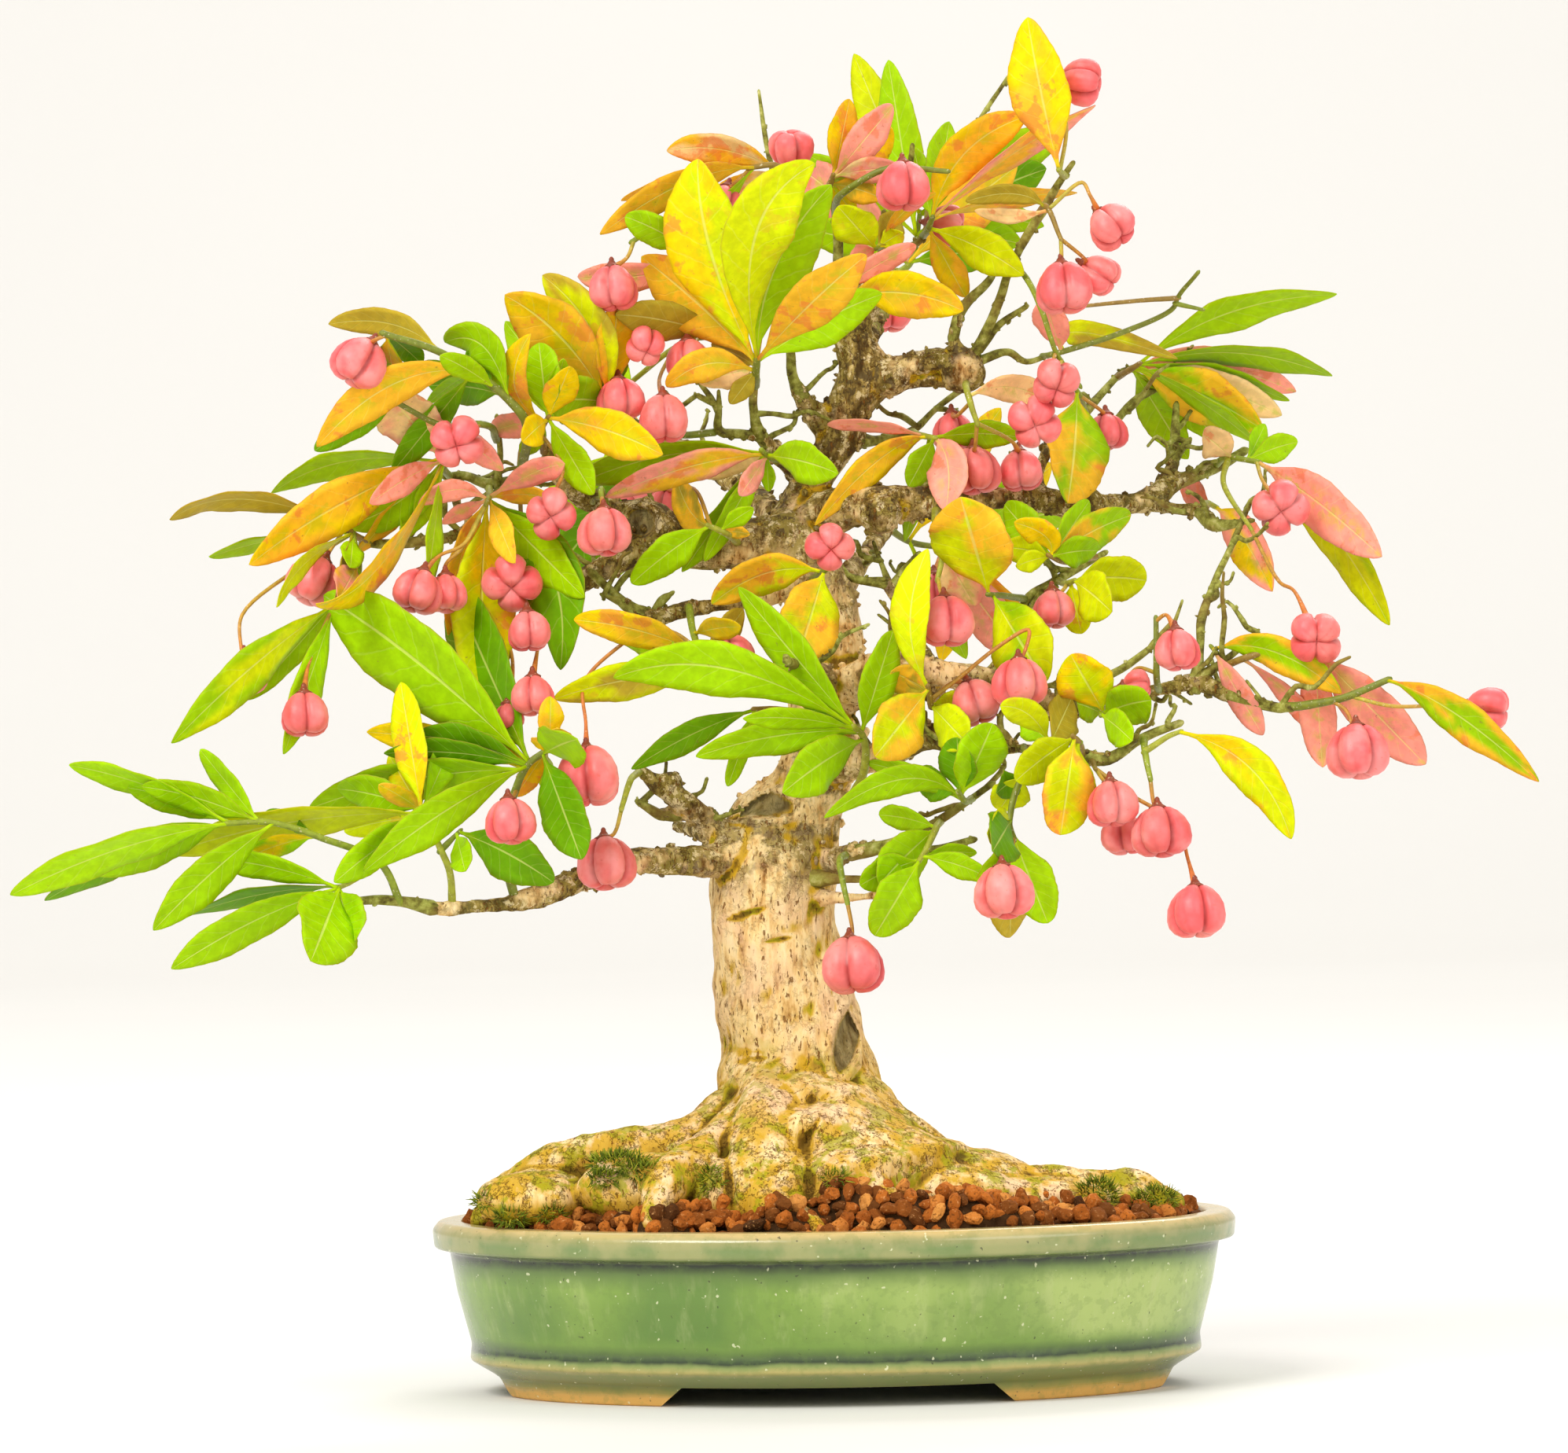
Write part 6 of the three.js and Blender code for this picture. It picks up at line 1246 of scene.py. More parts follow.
# %% Materials of the wood
def bark_material():
    """Cream bark with brown pits, moss in the hollows and low down, and older bark above. Ochre lies in
    patches among the roots and, as painted shade, in the hollows and on faces that look down; the deepest
    hollows are painted nearly black as shade.
    """
    p = Paint("bark")
    place = p.node("TexCoord")["Object"]
    split = p.node("SeparateXYZ", {"Vector": place})
    hollow, under, cut = (p.node("Attribute", attribute_name=name)["Fac"]
                          for name in ("Hollow", "Under", "Cut"))
    stretched = p.stretched(place, 0.3)
    grain = p.noise(stretched, 420.0, 6.0, 0.62)
    blotch = p.noise(place, 60.0, 5.0, 0.6)
    colour = p.ramp(grain, [(0.30, (0.36, 0.16, 0.035)), (0.41, (0.74, 0.46, 0.17)),
                            (0.52, (0.92, 0.67, 0.31)), (0.75, (0.97, 0.78, 0.46))])
    colour = p.over(colour, p.mask(blotch, 0.48, 0.62), 0.6, (0.90, 0.60, 0.36))
    # Boughs are older to look at than the trunk: dark and olive, with pale lichen
    height = split["Z"]
    middle = p.plus(p.times(p.minus(height, LEAN_FROM), LEAN), TRUNK_LINE)
    aside = p.math("ABSOLUTE", p.minus(split["X"], middle))
    low_bough = p.times(p.mask(height, *LOW_BOUGHS), p.mask(aside, 0.017, 0.025))
    rough_place = p.times(p.mask(height, *ROUGH_BAND), p.mask(blotch, 0.47, 0.53))
    above = p.larger(p.mask(height, *OLD_BARK), low_bough)
    above = p.larger(above, p.times(rough_place, 0.8))
    above = p.times(above, p.mask(p.noise(place, 85.0, 4.0), 0.30, 0.46))
    old = p.ramp(grain, [(0.37, (0.030, 0.017, 0.003)), (0.47, (0.16, 0.10, 0.016)),
                         (0.56, (0.38, 0.26, 0.055)), (0.70, (0.78, 0.60, 0.27))])
    olive = p.over(old, p.mask(blotch, 0.42, 0.58), 0.7, (0.24, 0.20, 0.02))
    cracked = p.noise(place, 270.0, 5.0, 0.7)
    lichen = p.times(p.mask(cracked, 0.54, 0.60), 0.75)
    olive = p.mix(lichen, olive, (0.84, 0.70, 0.40))
    olive = p.over(olive, p.mask(cracked, 0.47, 0.42), 0.9, (0.030, 0.016, 0.002))
    young = p.times(p.mask(aside, 0.050, 0.110), p.mask(blotch, 0.60, 0.42))
    olive = p.over(olive, young, 0.75, (0.24, 0.25, 0.035))
    colour = p.over(colour, above, 0.92, olive)
    # Ochre in patches among the roots, and as painted shade in the hollows and on faces that look down
    low = p.mask(height, *ROOT_ZONE)
    patches = p.mask(p.noise(place, 105.0, 6.0, 0.66), 0.41, 0.56)
    # Faces that look down get the ochre as painted shade
    patches = p.larger(patches, p.mask(under, 0.25, 0.75))
    ochre = p.larger(p.mask(hollow, 0.02, 0.4), p.times(low, patches))
    colour = p.over(colour, ochre, 0.9, (0.60, 0.35, 0.007))
    damp = p.mask(p.noise(place, 150.0, 5.0, 0.65), 0.50, 0.58)
    green = p.times(damp, p.larger(low, p.mask(hollow, 0.15, 0.6)))
    colour = p.over(colour, green, 0.8, (0.34, 0.33, 0.004))
    # Thin wandering cracks: many among the roots and on old boughs, few on the trunk
    ridge = p.math("ABSOLUTE", p.minus(p.noise(place, 130.0, 6.0, 0.72), 0.5))
    many = p.larger(p.larger(low, above), 0.25)
    crack = p.times(p.mask(ridge, 0.016, 0.003), many)
    colour = p.over(colour, crack, 0.65, (0.16, 0.070, 0.006))
    pits = p.mask(p.noise(stretched, 1150.0, 3.0, 0.6), 0.395, 0.345)
    colour = p.over(colour, pits, 0.85, (0.22, 0.085, 0.012))
    # Painted shade: the deepest hollows go nearly black
    colour = p.over(colour, p.mask(hollow, 0.35, 0.95), 0.8, (0.085, 0.038, 0.004))
    dead = p.ramp(grain, [(0.35, (0.12, 0.085, 0.03)), (0.6, (0.38, 0.31, 0.14))])
    colour = p.over(colour, cut, 0.9, dead)
    relief = p.minus(grain, p.times(pits, 0.6))
    relief = p.minus(relief, p.times(crack, 0.5))
    return p.finish(colour, 0.85, relief, 0.8, 0.0009, Specular_IOR_Level=0.15)


def twig_material():
    """Green-olive skin of young shoots, browner in places, with pale specks."""
    p = Paint("twig_bark")
    place = p.node("TexCoord")["Object"]
    grain = p.noise(place, 420.0, 6.0, 0.62)
    colour = p.ramp(grain, [(0.34, (0.08, 0.060, 0.010)), (0.46, (0.20, 0.19, 0.028)),
                            (0.58, (0.34, 0.35, 0.065)), (0.75, (0.62, 0.58, 0.24))])
    older = p.mask(p.noise(place, 45.0, 2.0), 0.50, 0.62)
    colour = p.over(colour, older, 0.6, (0.27, 0.16, 0.035))
    return p.finish(colour, 0.7, grain, 0.5, 0.0004, Specular_IOR_Level=0.2)


TRUNK_LINE = float(at([1000, 1200, 0])[0][0])
BARK, YOUNG_BARK = bark_material(), twig_material()
print("the trunk's line stands at", round(TRUNK_LINE, 4))

# %% Thick wood: tubes, then one skin
THICK_FROM = 13
# More flesh between the roots: across, down, depth, half sizes in millimetres
FLESH = [
    [[900, 1490, -14], [20, 16, 13]], [[1000, 1515, -34], [16, 14, 11]],
    [[1105, 1500, -24], [22, 14, 14]], [[1190, 1522, -26], [20, 13, 8]],
    [[820, 1512, -34], [16, 11, 9]], [[680, 1524, -28], [14, 11, 7]],
    [[1300, 1527, -20], [22, 11, 6]], [[940, 1520, -38], [12, 10, 9]],
]
VOXEL = 0.76 * MM
SPLIT_HEIGHT = 118 * MM
# Wood lower than this is out of sight in the soil, and is cut off
BURIED = 30 * MM


def wood_tube(rows, sides, per_span, bump, seed):
    """A tube through rows of across, down, depth and width."""
    points = at([row[:3] for row in rows])
    radii = np.array([row[3] for row in rows]) / 2 / VIEW_SCALE * MM
    return tube(points, radii, sides, per_span, bump, seed)


def baked(thing, name):
    """The object's shape with its modifiers, as a plain mesh object."""
    graph = bpy.context.evaluated_depsgraph_get()
    mesh = bpy.data.meshes.new_from_object(thing.evaluated_get(graph))
    mesh.name = name
    bpy.data.objects.remove(thing)
    return placed(name, mesh)


def ellipsoid(centre, size, count=24):
    angle, lift = np.meshgrid(circle(count), np.linspace(
        -math.pi / 2, math.pi / 2, count // 2 + 1)[1:-1])
    shape = np.stack([np.cos(lift) * np.cos(angle), np.cos(lift) * np.sin(angle), np.sin(lift)], -1)
    points = np.concatenate([shape.reshape(-1, 3), [[0, 0, -1], [0, 0, 1]]]) * size + centre
    return points, closed_rings(count // 2 - 1, count)


shapes = [wood_tube(TRUNK, 32, 5, 0.025, 0.4), wood_tube(FLARE, 40, 6, 0.03, 1.1)]
shapes += [wood_tube(rows, 20, 6, 0.05, number * 1.7) for number, rows in enumerate(ROOTS)]
shapes += [ellipsoid(at(place)[0], np.array(size) * MM) for place, size in SWELLINGS + FLESH]
twig_rows = []
for number, rows in enumerate(BOUGHS):
    last = max([i for i, row in enumerate(rows) if row[3] >= THICK_FROM], default=0)
    if last >= 1:
        shapes.append(wood_tube(rows[:last + 1], 14, 5, 0.07, number * 0.9))
    if last < len(rows) - 1:
        twig_rows.append((number, rows[max(last - 1, 0):]))
for *place, radius in KNOTS:
    shapes.append(ellipsoid(at(place)[0], np.array([radius, radius, radius * 0.9]) * MM, 12))

thick_wood = plain_object("thick_wood", *joined(shapes))
remesh = thick_wood.modifiers.new("skin", "REMESH")
remesh.mode = "VOXEL"
remesh.voxel_size = VOXEL
smooth = thick_wood.modifiers.new("smooth", "SMOOTH")
smooth.iterations = 6
smooth.factor = 0.5
thick_wood = baked(thick_wood, "wood_skin")
print("thick wood has", len(thick_wood.data.polygons), "faces,", len(twig_rows), "twigs left over")

# %% Old cuts and clefts, pressed into the skin
def press(points, centre, wide, high, turn, deep, rim, power=0.5):
    """Sinks an oval into the front of the wood, raises a rolled rim, and tells what is cut."""
    across = points[:, 0] - centre[0]
    up = points[:, 2] - centre[2]
    x = (across * math.cos(turn) + up * math.sin(turn)) / (wide * MM)
    z = (-across * math.sin(turn) + up * math.cos(turn)) / (high * MM)
    reach = np.hypot(x, z)
    facing = points[:, 1] < centre[1] + 0.009
    hollow = np.clip(1 - reach**2, 0, 1) ** power * deep * MM
    ring = np.exp(-((reach - 1.12) / 0.2) ** 2) * rim * MM
    points[:, 1] += np.where(facing, hollow - ring, 0)
    return facing * np.clip((0.95 - reach) / 0.15, 0, 1)


# Thin healed lines and a knot hole: place, half width, half height, turn, depth
CREASES = [
    [[948, 1163, -15], 7.0, 1.1, 0.30, 0.7], [[985, 1196, -15], 5.0, 1.0, 0.12, 0.6],
    [[930, 1215, -14], 1.0, 6.0, 0.0, 0.4], [[1031, 1398, -18], 1.7, 2.2, 0.0, 1.4],
    [[1030, 1440, -22], 1.2, 7.0, -0.5, 1.2], [[890, 1455, -24], 1.1, 6.0, 0.6, 1.0],
    [[1060, 1230, -10], 1.0, 8.0, -0.1, 0.4], [[950, 1350, -14], 6.0, 1.0, 0.2, 0.3],
]
skin = points_of(thick_wood)
cut = np.zeros(len(skin))
for scar in SCARS:
    cut += press(skin, at(scar["at"])[0], scar["wide"] * 1.45, scar["high"] * 1.1, scar["turn"],
                 scar["deep"] * 1.3, 1.4)
for place, wide, high, turn in CLEFTS:
    press(skin, at(place)[0], wide * 1.3, high * 1.3, turn, 3.0, 0.0, 1.6)
for place, wide, high, turn, deep in CREASES:
    press(skin, at(place)[0], wide, high, turn, deep, 0.3, 1.2)
thick_wood.data.vertices.foreach_set("co", skin.ravel())
thick_wood.data.attributes.new("Cut", "FLOAT", "POINT").data.foreach_set("value", cut.astype("f4"))
thick_wood.data.update()
print("pressed", len(SCARS) + len(CLEFTS), "hollows")

# %% [markdown]
# ## Furrows and grain
#
# The node group moves each point of the skin along its normal by two stretched noises. Its
# inputs are named, so the relief can be made coarser or finer in one place. The skin is then
# split into foot and crown. Side twigs are added, and a second group scatters small knots.

# %% Relief by Geometry Nodes
class Growth(Nodes):
    """A geometry node group with named inputs."""
    family = "GeometryNode"

    def __init__(self, name, **values):
        self.tree = bpy.data.node_groups.new(name, "GeometryNodeTree")
        kinds = {"Geometry": "Geometry", "Material": "Material", "Seed": "Int"}
        for key in ("Geometry", *values, "Material"):
            made = self.tree.interface.new_socket(
                key.replace("_", " "), in_out="INPUT",
                socket_type="NodeSocket" + kinds.get(key, "Float"))
            if key in values:
                made.default_value = values[key]
        self.tree.interface.new_socket("Geometry", in_out="OUTPUT",
                                       socket_type="NodeSocketGeometry")
        self.source = self.tree.nodes.new("NodeGroupInput").outputs

    def vector(self, operation, a, b, socket=1):
        return self.node("ShaderNodeVectorMath", {0: a, socket: b}, operation=operation)[0]

    def random(self, low, high, seed):
        """Random numbers, or random vectors when low and high are triples."""
        flat = isinstance(low, float)
        made = self.node("FunctionNodeRandomValue", {2 * flat: low, 2 * flat + 1: high, 8: seed},
                         data_type="FLOAT" if flat else "FLOAT_VECTOR")
        return made[1 if flat else 0]

    def noise(self, place, scale, detail, seed):
        centred = self.node("ShaderNodeTexNoise", {"Vector": place, "Scale": scale, "W": seed,
                            "Detail": detail}, noise_dimensions="4D")["Fac"]
        return self.minus(centred, 0.5)

    def along_normal(self, geometry, amount):
        offset = self.vector("SCALE", self.node("InputNormal")[0], amount, "Scale")
        return self.node("SetPosition", {"Geometry": geometry, "Offset": offset})[0]

    def scatter(self, **more):
        """Random points all over the source, none closer to another than its Spacing."""
        return self.node("DistributePointsOnFaces", {
            "Mesh": self.source["Geometry"], "Distance Min": self.source["Spacing"],
            "Density Max": self.source["Density"], "Seed": self.source["Seed"], **more},
            distribute_method="POISSON")

    def copies(self, points, shape, turn, size):
        return self.node("InstanceOnPoints", {"Points": points, "Instance": shape,
                                              "Rotation": turn, "Scale": size})[0]

    def toned(self, copies, seed):
        """Gives each copy a random tone."""
        return self.node("StoreNamedAttribute", {
            "Geometry": copies, "Name": "Grain", "Value": self.random(0.0, 1.0, seed)},
            data_type="FLOAT", domain="INSTANCE")[0]

    def realized(self, geometry):
        return self.node("RealizeInstances", {"Geometry": geometry})[0]

    def finish(self, geometry, smooth=True):
        """Realizes what is left of instances, shades it smooth or faceted, and sets the material."""
        shaded = self.node("SetShadeSmooth", {"Geometry": self.realized(geometry),
                                              "Shade Smooth": smooth})[0]
        painted = self.node("SetMaterial", {"Geometry": shaded,
                                            "Material": self.source["Material"]})[0]
        self.tree.links.new(painted, self.tree.nodes.new("NodeGroupOutput").inputs[0])
        return self.tree


def relief_group():
    """Furrows and grain, both stretched upright."""
    g = Growth("bark_relief", Furrow_Scale=85.0, Furrow_Depth=0.0030, Grain_Scale=330.0,
               Grain_Depth=0.0009, Stretch=0.4, Seed=3)
    source = g.source
    stretch = g.node("ShaderNodeCombineXYZ", {"X": 1.0, "Y": 1.0, "Z": source["Stretch"]})[0]
    stretched = g.vector("MULTIPLY", g.node("InputPosition")[0], stretch)
    furrow, grain = (
        g.times(g.noise(stretched, source[kind + " Scale"], detail, source["Seed"]),
                source[kind + " Depth"]) for kind, detail in (("Furrow", 4.0), ("Grain", 3.0)))
    return g.finish(g.along_normal(source["Geometry"], g.plus(furrow, grain)))


def with_nodes(thing, tree, values):
    """Adds a node group to an object, with its inputs set by their identifiers."""
    modifier = thing.modifiers.new(tree.name, "NODES")
    modifier.node_group = tree
    for item in tree.interface.items_tree:
        if item.in_out == "INPUT" and item.name in values:
            modifier[item.identifier] = values[item.name]
    return thing


def hollowness(thing, rounds=14):
    """Keeps how far each point lies below its smoothed surroundings, and how it faces down."""
    mesh = thing.data
    points = points_of(thing)
    edges = np.empty(len(mesh.edges) * 2, int)
    mesh.edges.foreach_get("vertices", edges)
    a, b = edges.reshape(-1, 2).T
    degree = np.bincount(np.concatenate([a, b]), minlength=len(points))[:, None]
    soft = points.copy()
    for _ in range(rounds):
        total = np.zeros_like(soft)
        np.add.at(total, a, soft[b])
        np.add.at(total, b, soft[a])
        soft = total / degree
    normals = points_of(thing, "normal")
    depth = ((soft - points) * normals).sum(1)
    under = 0.5 - 0.5 * normals[:, 2]
    for name, value in (("Hollow", depth / (0.55 * MM)), ("Under", under)):
        made = mesh.attributes.new(name, "FLOAT", "POINT")
        made.data.foreach_set("value", np.clip(value, 0, 1).astype("f4"))


def knots_group():
    """Small knots and bud scars, scattered over boughs and twigs above a height."""
    g = Growth("bud_knots", Spacing=0.0021, Density=60000.0, Radius=0.0009, Lowest=0.122,
               Trunk_Line=0.0, Clear=0.024, Seed=4)
    place = g.node("InputPosition")[0]
    split = g.node("ShaderNodeSeparateXYZ", {"Vector": place})
    high = g.math("GREATER_THAN", split["Z"], g.source["Lowest"])
    aside = g.math("ABSOLUTE", g.minus(split["X"], g.source["Trunk Line"]))
    bough = g.times(g.math("GREATER_THAN", aside, g.source["Clear"]),
                   g.math("GREATER_THAN", split["Z"], 0.09))
    spots = g.scatter(Selection=g.larger(high, bough))
    knot = g.node("MeshIcoSphere", {"Radius": g.source["Radius"], "Subdivisions": 1})[0]
    size = g.random((0.5, 0.5, 0.5), (1.5, 1.5, 1.5), 3)
    real = g.realized(g.copies(spots["Points"], knot, spots["Rotation"], size))
    skin = g.times(g.noise(place, 900.0, 1.0, 2.0), 0.0008)
    return g.finish(g.along_normal(real, skin))


def part_of(thing, name, height, keep_above):
    """The part of a closed shape above or below a height, closed again with a flat lid."""
    mesh = thing.data.copy()
    mesh.name = name
    shape = bmesh.new()
    shape.from_mesh(mesh)
    bmesh.ops.bisect_plane(shape, geom=[*shape.verts, *shape.edges, *shape.faces],
                           plane_co=(0, 0, height), plane_no=(0, 0, 1),
                           clear_inner=keep_above, clear_outer=not keep_above)
    border = [edge for edge in shape.edges if edge.is_boundary]
    for edge in border:
        edge.smooth = False
    bmesh.ops.holes_fill(shape, edges=border, sides=0)
    shape.to_mesh(mesh)
    shape.free()
    return placed(name, mesh)


RELIEF = relief_group()
wood = baked(with_nodes(thick_wood, RELIEF, {"Material": BARK}), "wood_whole")
hollowness(wood)
deep_foot = part_of(wood, "deep_foot", SPLIT_HEIGHT, False)
foot = part_of(deep_foot, "wood.foot", BURIED, True)
crown = part_of(wood, "wood.crown", SPLIT_HEIGHT, True)
bpy.data.objects.remove(wood)
bpy.data.objects.remove(deep_foot)

# Short side twigs, which the tables leave out, grow between two heights
TWIGS_FROM, TWIGS_TO, TWIG_SHARE, TWIG_TINT = 0.13, 0.24, 0.75, (0.5, 0.45, 0.3)
twigs = Body()
rng = np.random.default_rng(12)
for rows in BOUGHS:
    places = at([row[:3] for row in rows])
    for start, end in zip(places[1:], places[2:]):
        if not TWIGS_FROM < start[2] < TWIGS_TO or rng.random() > TWIG_SHARE:
            continue
        heading = unit(np.array([rng.uniform(-1, 1), rng.uniform(-0.8, 0.8), rng.uniform(-0.1, 1)]))
        root = start + (end - start) * rng.random()
        length = rng.uniform(8, 22) * MM
        bends = [root + heading * length * s + rng.normal(0, 0.9, 3) * MM * (s > 0)
                 for s in np.linspace(0, 1, 5)]
        shape = tube(np.array(bends), np.linspace(0.8, 0.4, 5) * MM, 7, 3, 0.12, rng.random() * 6)
        twigs.add(*shape, TWIG_TINT, 0)
for number, rows in twig_rows:
    twigs.add(*wood_tube(rows, 10, 6, 0.05, number * 1.1), TWIG_TINT, 0)
twigs = twigs.object("twig_tubes", [YOUNG_BARK])
twigs = baked(with_nodes(twigs, RELIEF, {"Material": YOUNG_BARK, "Furrow Depth": 0.0003,
                                         "Grain Depth": 0.0003}), "wood.twigs")
hollowness(twigs, 3)
knots = []
KNOTTED = knots_group()
for host, skin, radius in ((crown, BARK, 0.0009), (twigs, YOUNG_BARK, 0.0006)):
    bare = plain_object("knot_ground", points_of(host), faces_of(host))
    knots.append(baked(with_nodes(bare, KNOTTED, {
        "Material": skin, "Trunk Line": TRUNK_LINE, "Radius": radius}),
        host.name.replace("wood", "wood.knots")))
print("knots:", [len(piece.data.polygons) // 20 for piece in knots])
for piece in (foot, crown, twigs, *knots):
    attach(piece, "root")
    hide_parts("wood")
print("wood faces:", [len(piece.data.polygons) for piece in (foot, crown, twigs)])

# %% [markdown]
# ## Soil
#
# The bed takes the form of the soil body. Burnt clay grains of 4 to 5 mm lie all over it: a
# node group scatters them, turns and stretches each one, and roughens its skin.

# %% Bed and grains
def soil_material(name, dark):
    """Brick-brown clay: each grain has its own tone, with pores and pale dust. The dark bed under the grains
    is painted shade in the gaps between them.
    """
    p = Paint(name)
    place = p.node("TexCoord")["Object"]
    tone = p.node("Attribute", attribute_name="Grain")["Fac"]
    colour = p.ramp(tone, [(0.0, (0.05, 0.018, 0.004)), (0.12, (0.17, 0.052, 0.008)),
                           (0.5, (0.33, 0.088, 0.011)), (0.85, (0.50, 0.145, 0.019)),
                           (1.0, (0.66, 0.28, 0.06))])
    pore = p.noise(place, 1100.0, 4.0, 0.65)
    colour = p.over(colour, p.mask(pore, 0.46, 0.36), 0.8, (0.13, 0.040, 0.006))
    colour = p.over(colour, p.mask(pore, 0.58, 0.70), 0.5, (0.80, 0.42, 0.16))
    # The bed is darkened as painted shade in the gaps between the grains
    if dark:
        colour = p.mix(0.8, colour, (0.05, 0.022, 0.006))
    return p.finish(colour, 0.9, pore, 0.6, 0.0006, Specular_IOR_Level=0.15)


def grains_group():
    """Grains on all faces that look up."""
    g = Growth("clay_grains", Spacing=0.0026, Density=500000.0, Radius=0.0019, Spread=0.42,
               Skin_Scale=420.0, Skin_Depth=0.0030, Seed=5)
    seed, spread = g.source["Seed"], g.source["Spread"]
    up = g.node("ShaderNodeSeparateXYZ", {"Vector": g.node("InputNormal")[0]})["Z"]
    level = g.node("FunctionNodeCompare", {0: up, 1: 0.12}, operation="GREATER_THAN")[0]
    spots = g.scatter(Selection=level)
    grain = g.node("MeshIcoSphere", {"Radius": g.source["Radius"], "Subdivisions": 2})[0]
    small, large = (g.node("ShaderNodeCombineXYZ", {0: side, 1: side, 2: side})[0]
                    for side in (g.minus(1.0, spread), g.plus(1.0, spread)))
    size = g.node("ShaderNodeMapRange", {
        "Vector": g.random((0.0, 0.0, 0.0), (1.0, 1.0, 1.0), seed), 9: small, 10: large},
        data_type="FLOAT_VECTOR")["Vector"]
    turn = g.random((0.0, 0.0, 0.0), (6.28, 6.28, 6.28), 7)
    lift = g.node("ShaderNodeCombineXYZ", {"Z": g.random(0.0, 0.0026, 9)})[0]
    raised = g.node("SetPosition", {"Geometry": spots["Points"], "Offset": lift})[0]
    real = g.realized(g.toned(g.copies(raised, grain, turn, size), 11))
    place = g.node("InputPosition")[0]
    skin = g.times(g.noise(place, g.source["Skin Scale"], 2.0, 1.0), g.source["Skin Depth"])
    return g.finish(g.along_normal(real, skin), smooth=False)


EYE = Vector(POT_CENTRE + np.array([VIEW_SIDE, -VIEW_DISTANCE, VIEW_HEIGHT]) * MM)
ground = [surface_of(foot), surface_of(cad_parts["soil"])]


def seen(across, down):
    """The first place of wood or soil that shows at a point of the front view."""
    aim = Vector(at([across, down, 0])[0]) - EYE
    hits = [tree.ray_cast(EYE, aim.normalized()) for tree in ground]
    hits = [hit for hit in hits if hit[0] is not None]
    return np.array(min(hits, key=lambda hit: hit[3])[0]) if hits else None


def domes(spots):
    """Flat domes, each a centre with its half length and half height."""
    return [ellipsoid(centre, np.array([long, long * 0.7, high]) * MM, 16)
            for centre, long, high in spots]


# Grains heaped against the roots: across, down, half length in millimetres. Each heap stands
# on the soil and reaches up to the place that shows there
HEAPS = [
    (1088, 1516, 9.0), (1150, 1530, 9.0), (1215, 1530, 11.0), (1275, 1538, 10.0), (850, 1545, 8.0),
    (905, 1545, 7.0), (1000, 1548, 7.0), (1055, 1540, 8.0), (1345, 1540, 9.0),
]


def with_heaps(name, material):
    """The soil body together with the heaps."""
    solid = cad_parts["soil"]
    spots = []
    for across, down, long in HEAPS:
        top = Vector(seen(across, down))
        floor = ground[1].ray_cast(top + Vector((0, 0, 0.1)), Vector((0, 0, -1)))[0]
        if floor is not None:
            spots.append((np.array(floor), long, (top.z - floor.z) / MM + 1.5))
    made = plain_object(name, *joined([(points_of(solid), faces_of(solid)), *domes(spots)]))
    made.data.materials.append(material)
    return made


bed = with_heaps("soil.bed", soil_material("clay_bed", True))
scattered = with_heaps("grain_ground", bed.data.materials[0])
grains = baked(with_nodes(scattered, grains_group(),
                          {"Material": soil_material("clay_grain", False)}), "soil.grains")
print("soil grains:", len(grains.data.polygons) // 80)

# %% [markdown]
# ## Moss
#
# Small feathery cushions of moss sit on the soil and in the corners of the roots. Each cushion
# is a dome found by looking along the front view, and little blades stand all over it.

# %% Moss cushions
def moss_material():
    p = Paint("moss")
    place = p.node("TexCoord")["Object"]
    tone = p.node("Attribute", attribute_name="Grain")["Fac"]
    colour = p.ramp(tone, [(0.0, (0.035, 0.055, 0.002)), (0.5, (0.16, 0.20, 0.004)),
                           (0.85, (0.30, 0.34, 0.01)), (1.0, (0.55, 0.48, 0.04))])
    cloud = p.noise(place, 300.0, 2.0)
    colour = p.over(colour, p.mask(cloud, 0.4, 0.6), 0.5, (0.16, 0.23, 0.02))
    return p.finish(colour, 0.75, Specular_IOR_Level=0.2)


def blades_group():
    """Thin pointed blades that lean away from the ground at random."""
    g = Growth("moss_blades", Spacing=0.0005, Density=6000000.0, Length=0.0021, Width=0.00019,
               Lean=0.95, Seed=2)
    spots = g.scatter()
    blade = g.node("MeshCone", {"Vertices": 4, "Radius Top": 0.00004,
                                "Radius Bottom": g.source["Width"],
                                "Depth": g.source["Length"]})["Mesh"]
    swing = g.vector("SCALE", g.random((-1.0, -1.0, -0.4), (1.0, 1.0, 1.0), 3), g.source["Lean"],
                     "Scale")
    heading = g.vector("ADD", spots["Normal"], swing)
    turn = g.node("FunctionNodeAlignRotationToVector", {"Vector": heading}, axis="Z")[0]
    laid = g.copies(spots["Points"], blade, turn, g.random(0.6, 1.25, 4))
    return g.finish(g.toned(laid, 6))


# Across, down, half length, half height in millimetres
MOSS = [
    (616, 1528, 2.4, 1.4), (650, 1548, 3.5, 1.8), (786, 1480, 6.5, 1.9), (818, 1490, 5.0, 1.7),
    (770, 1500, 3.4, 1.5), (1062, 1500, 3.0, 1.8), (1080, 1544, 4.0, 1.8), (1124, 1546, 5.5, 2.4),
    (1395, 1520, 4.5, 3.4), (1450, 1535, 3.0, 2.4), (1470, 1528, 4.5, 3.0), (1300, 1543, 3.0, 1.6),
    (1000, 1556, 2.6, 1.4), (700, 1545, 3.0, 1.6), (905, 1500, 2.2, 3.0),
]
cushions = [(seen(*row[:2]), *row[2:]) for row in MOSS]
cushions = [row for row in cushions if row[0] is not None]
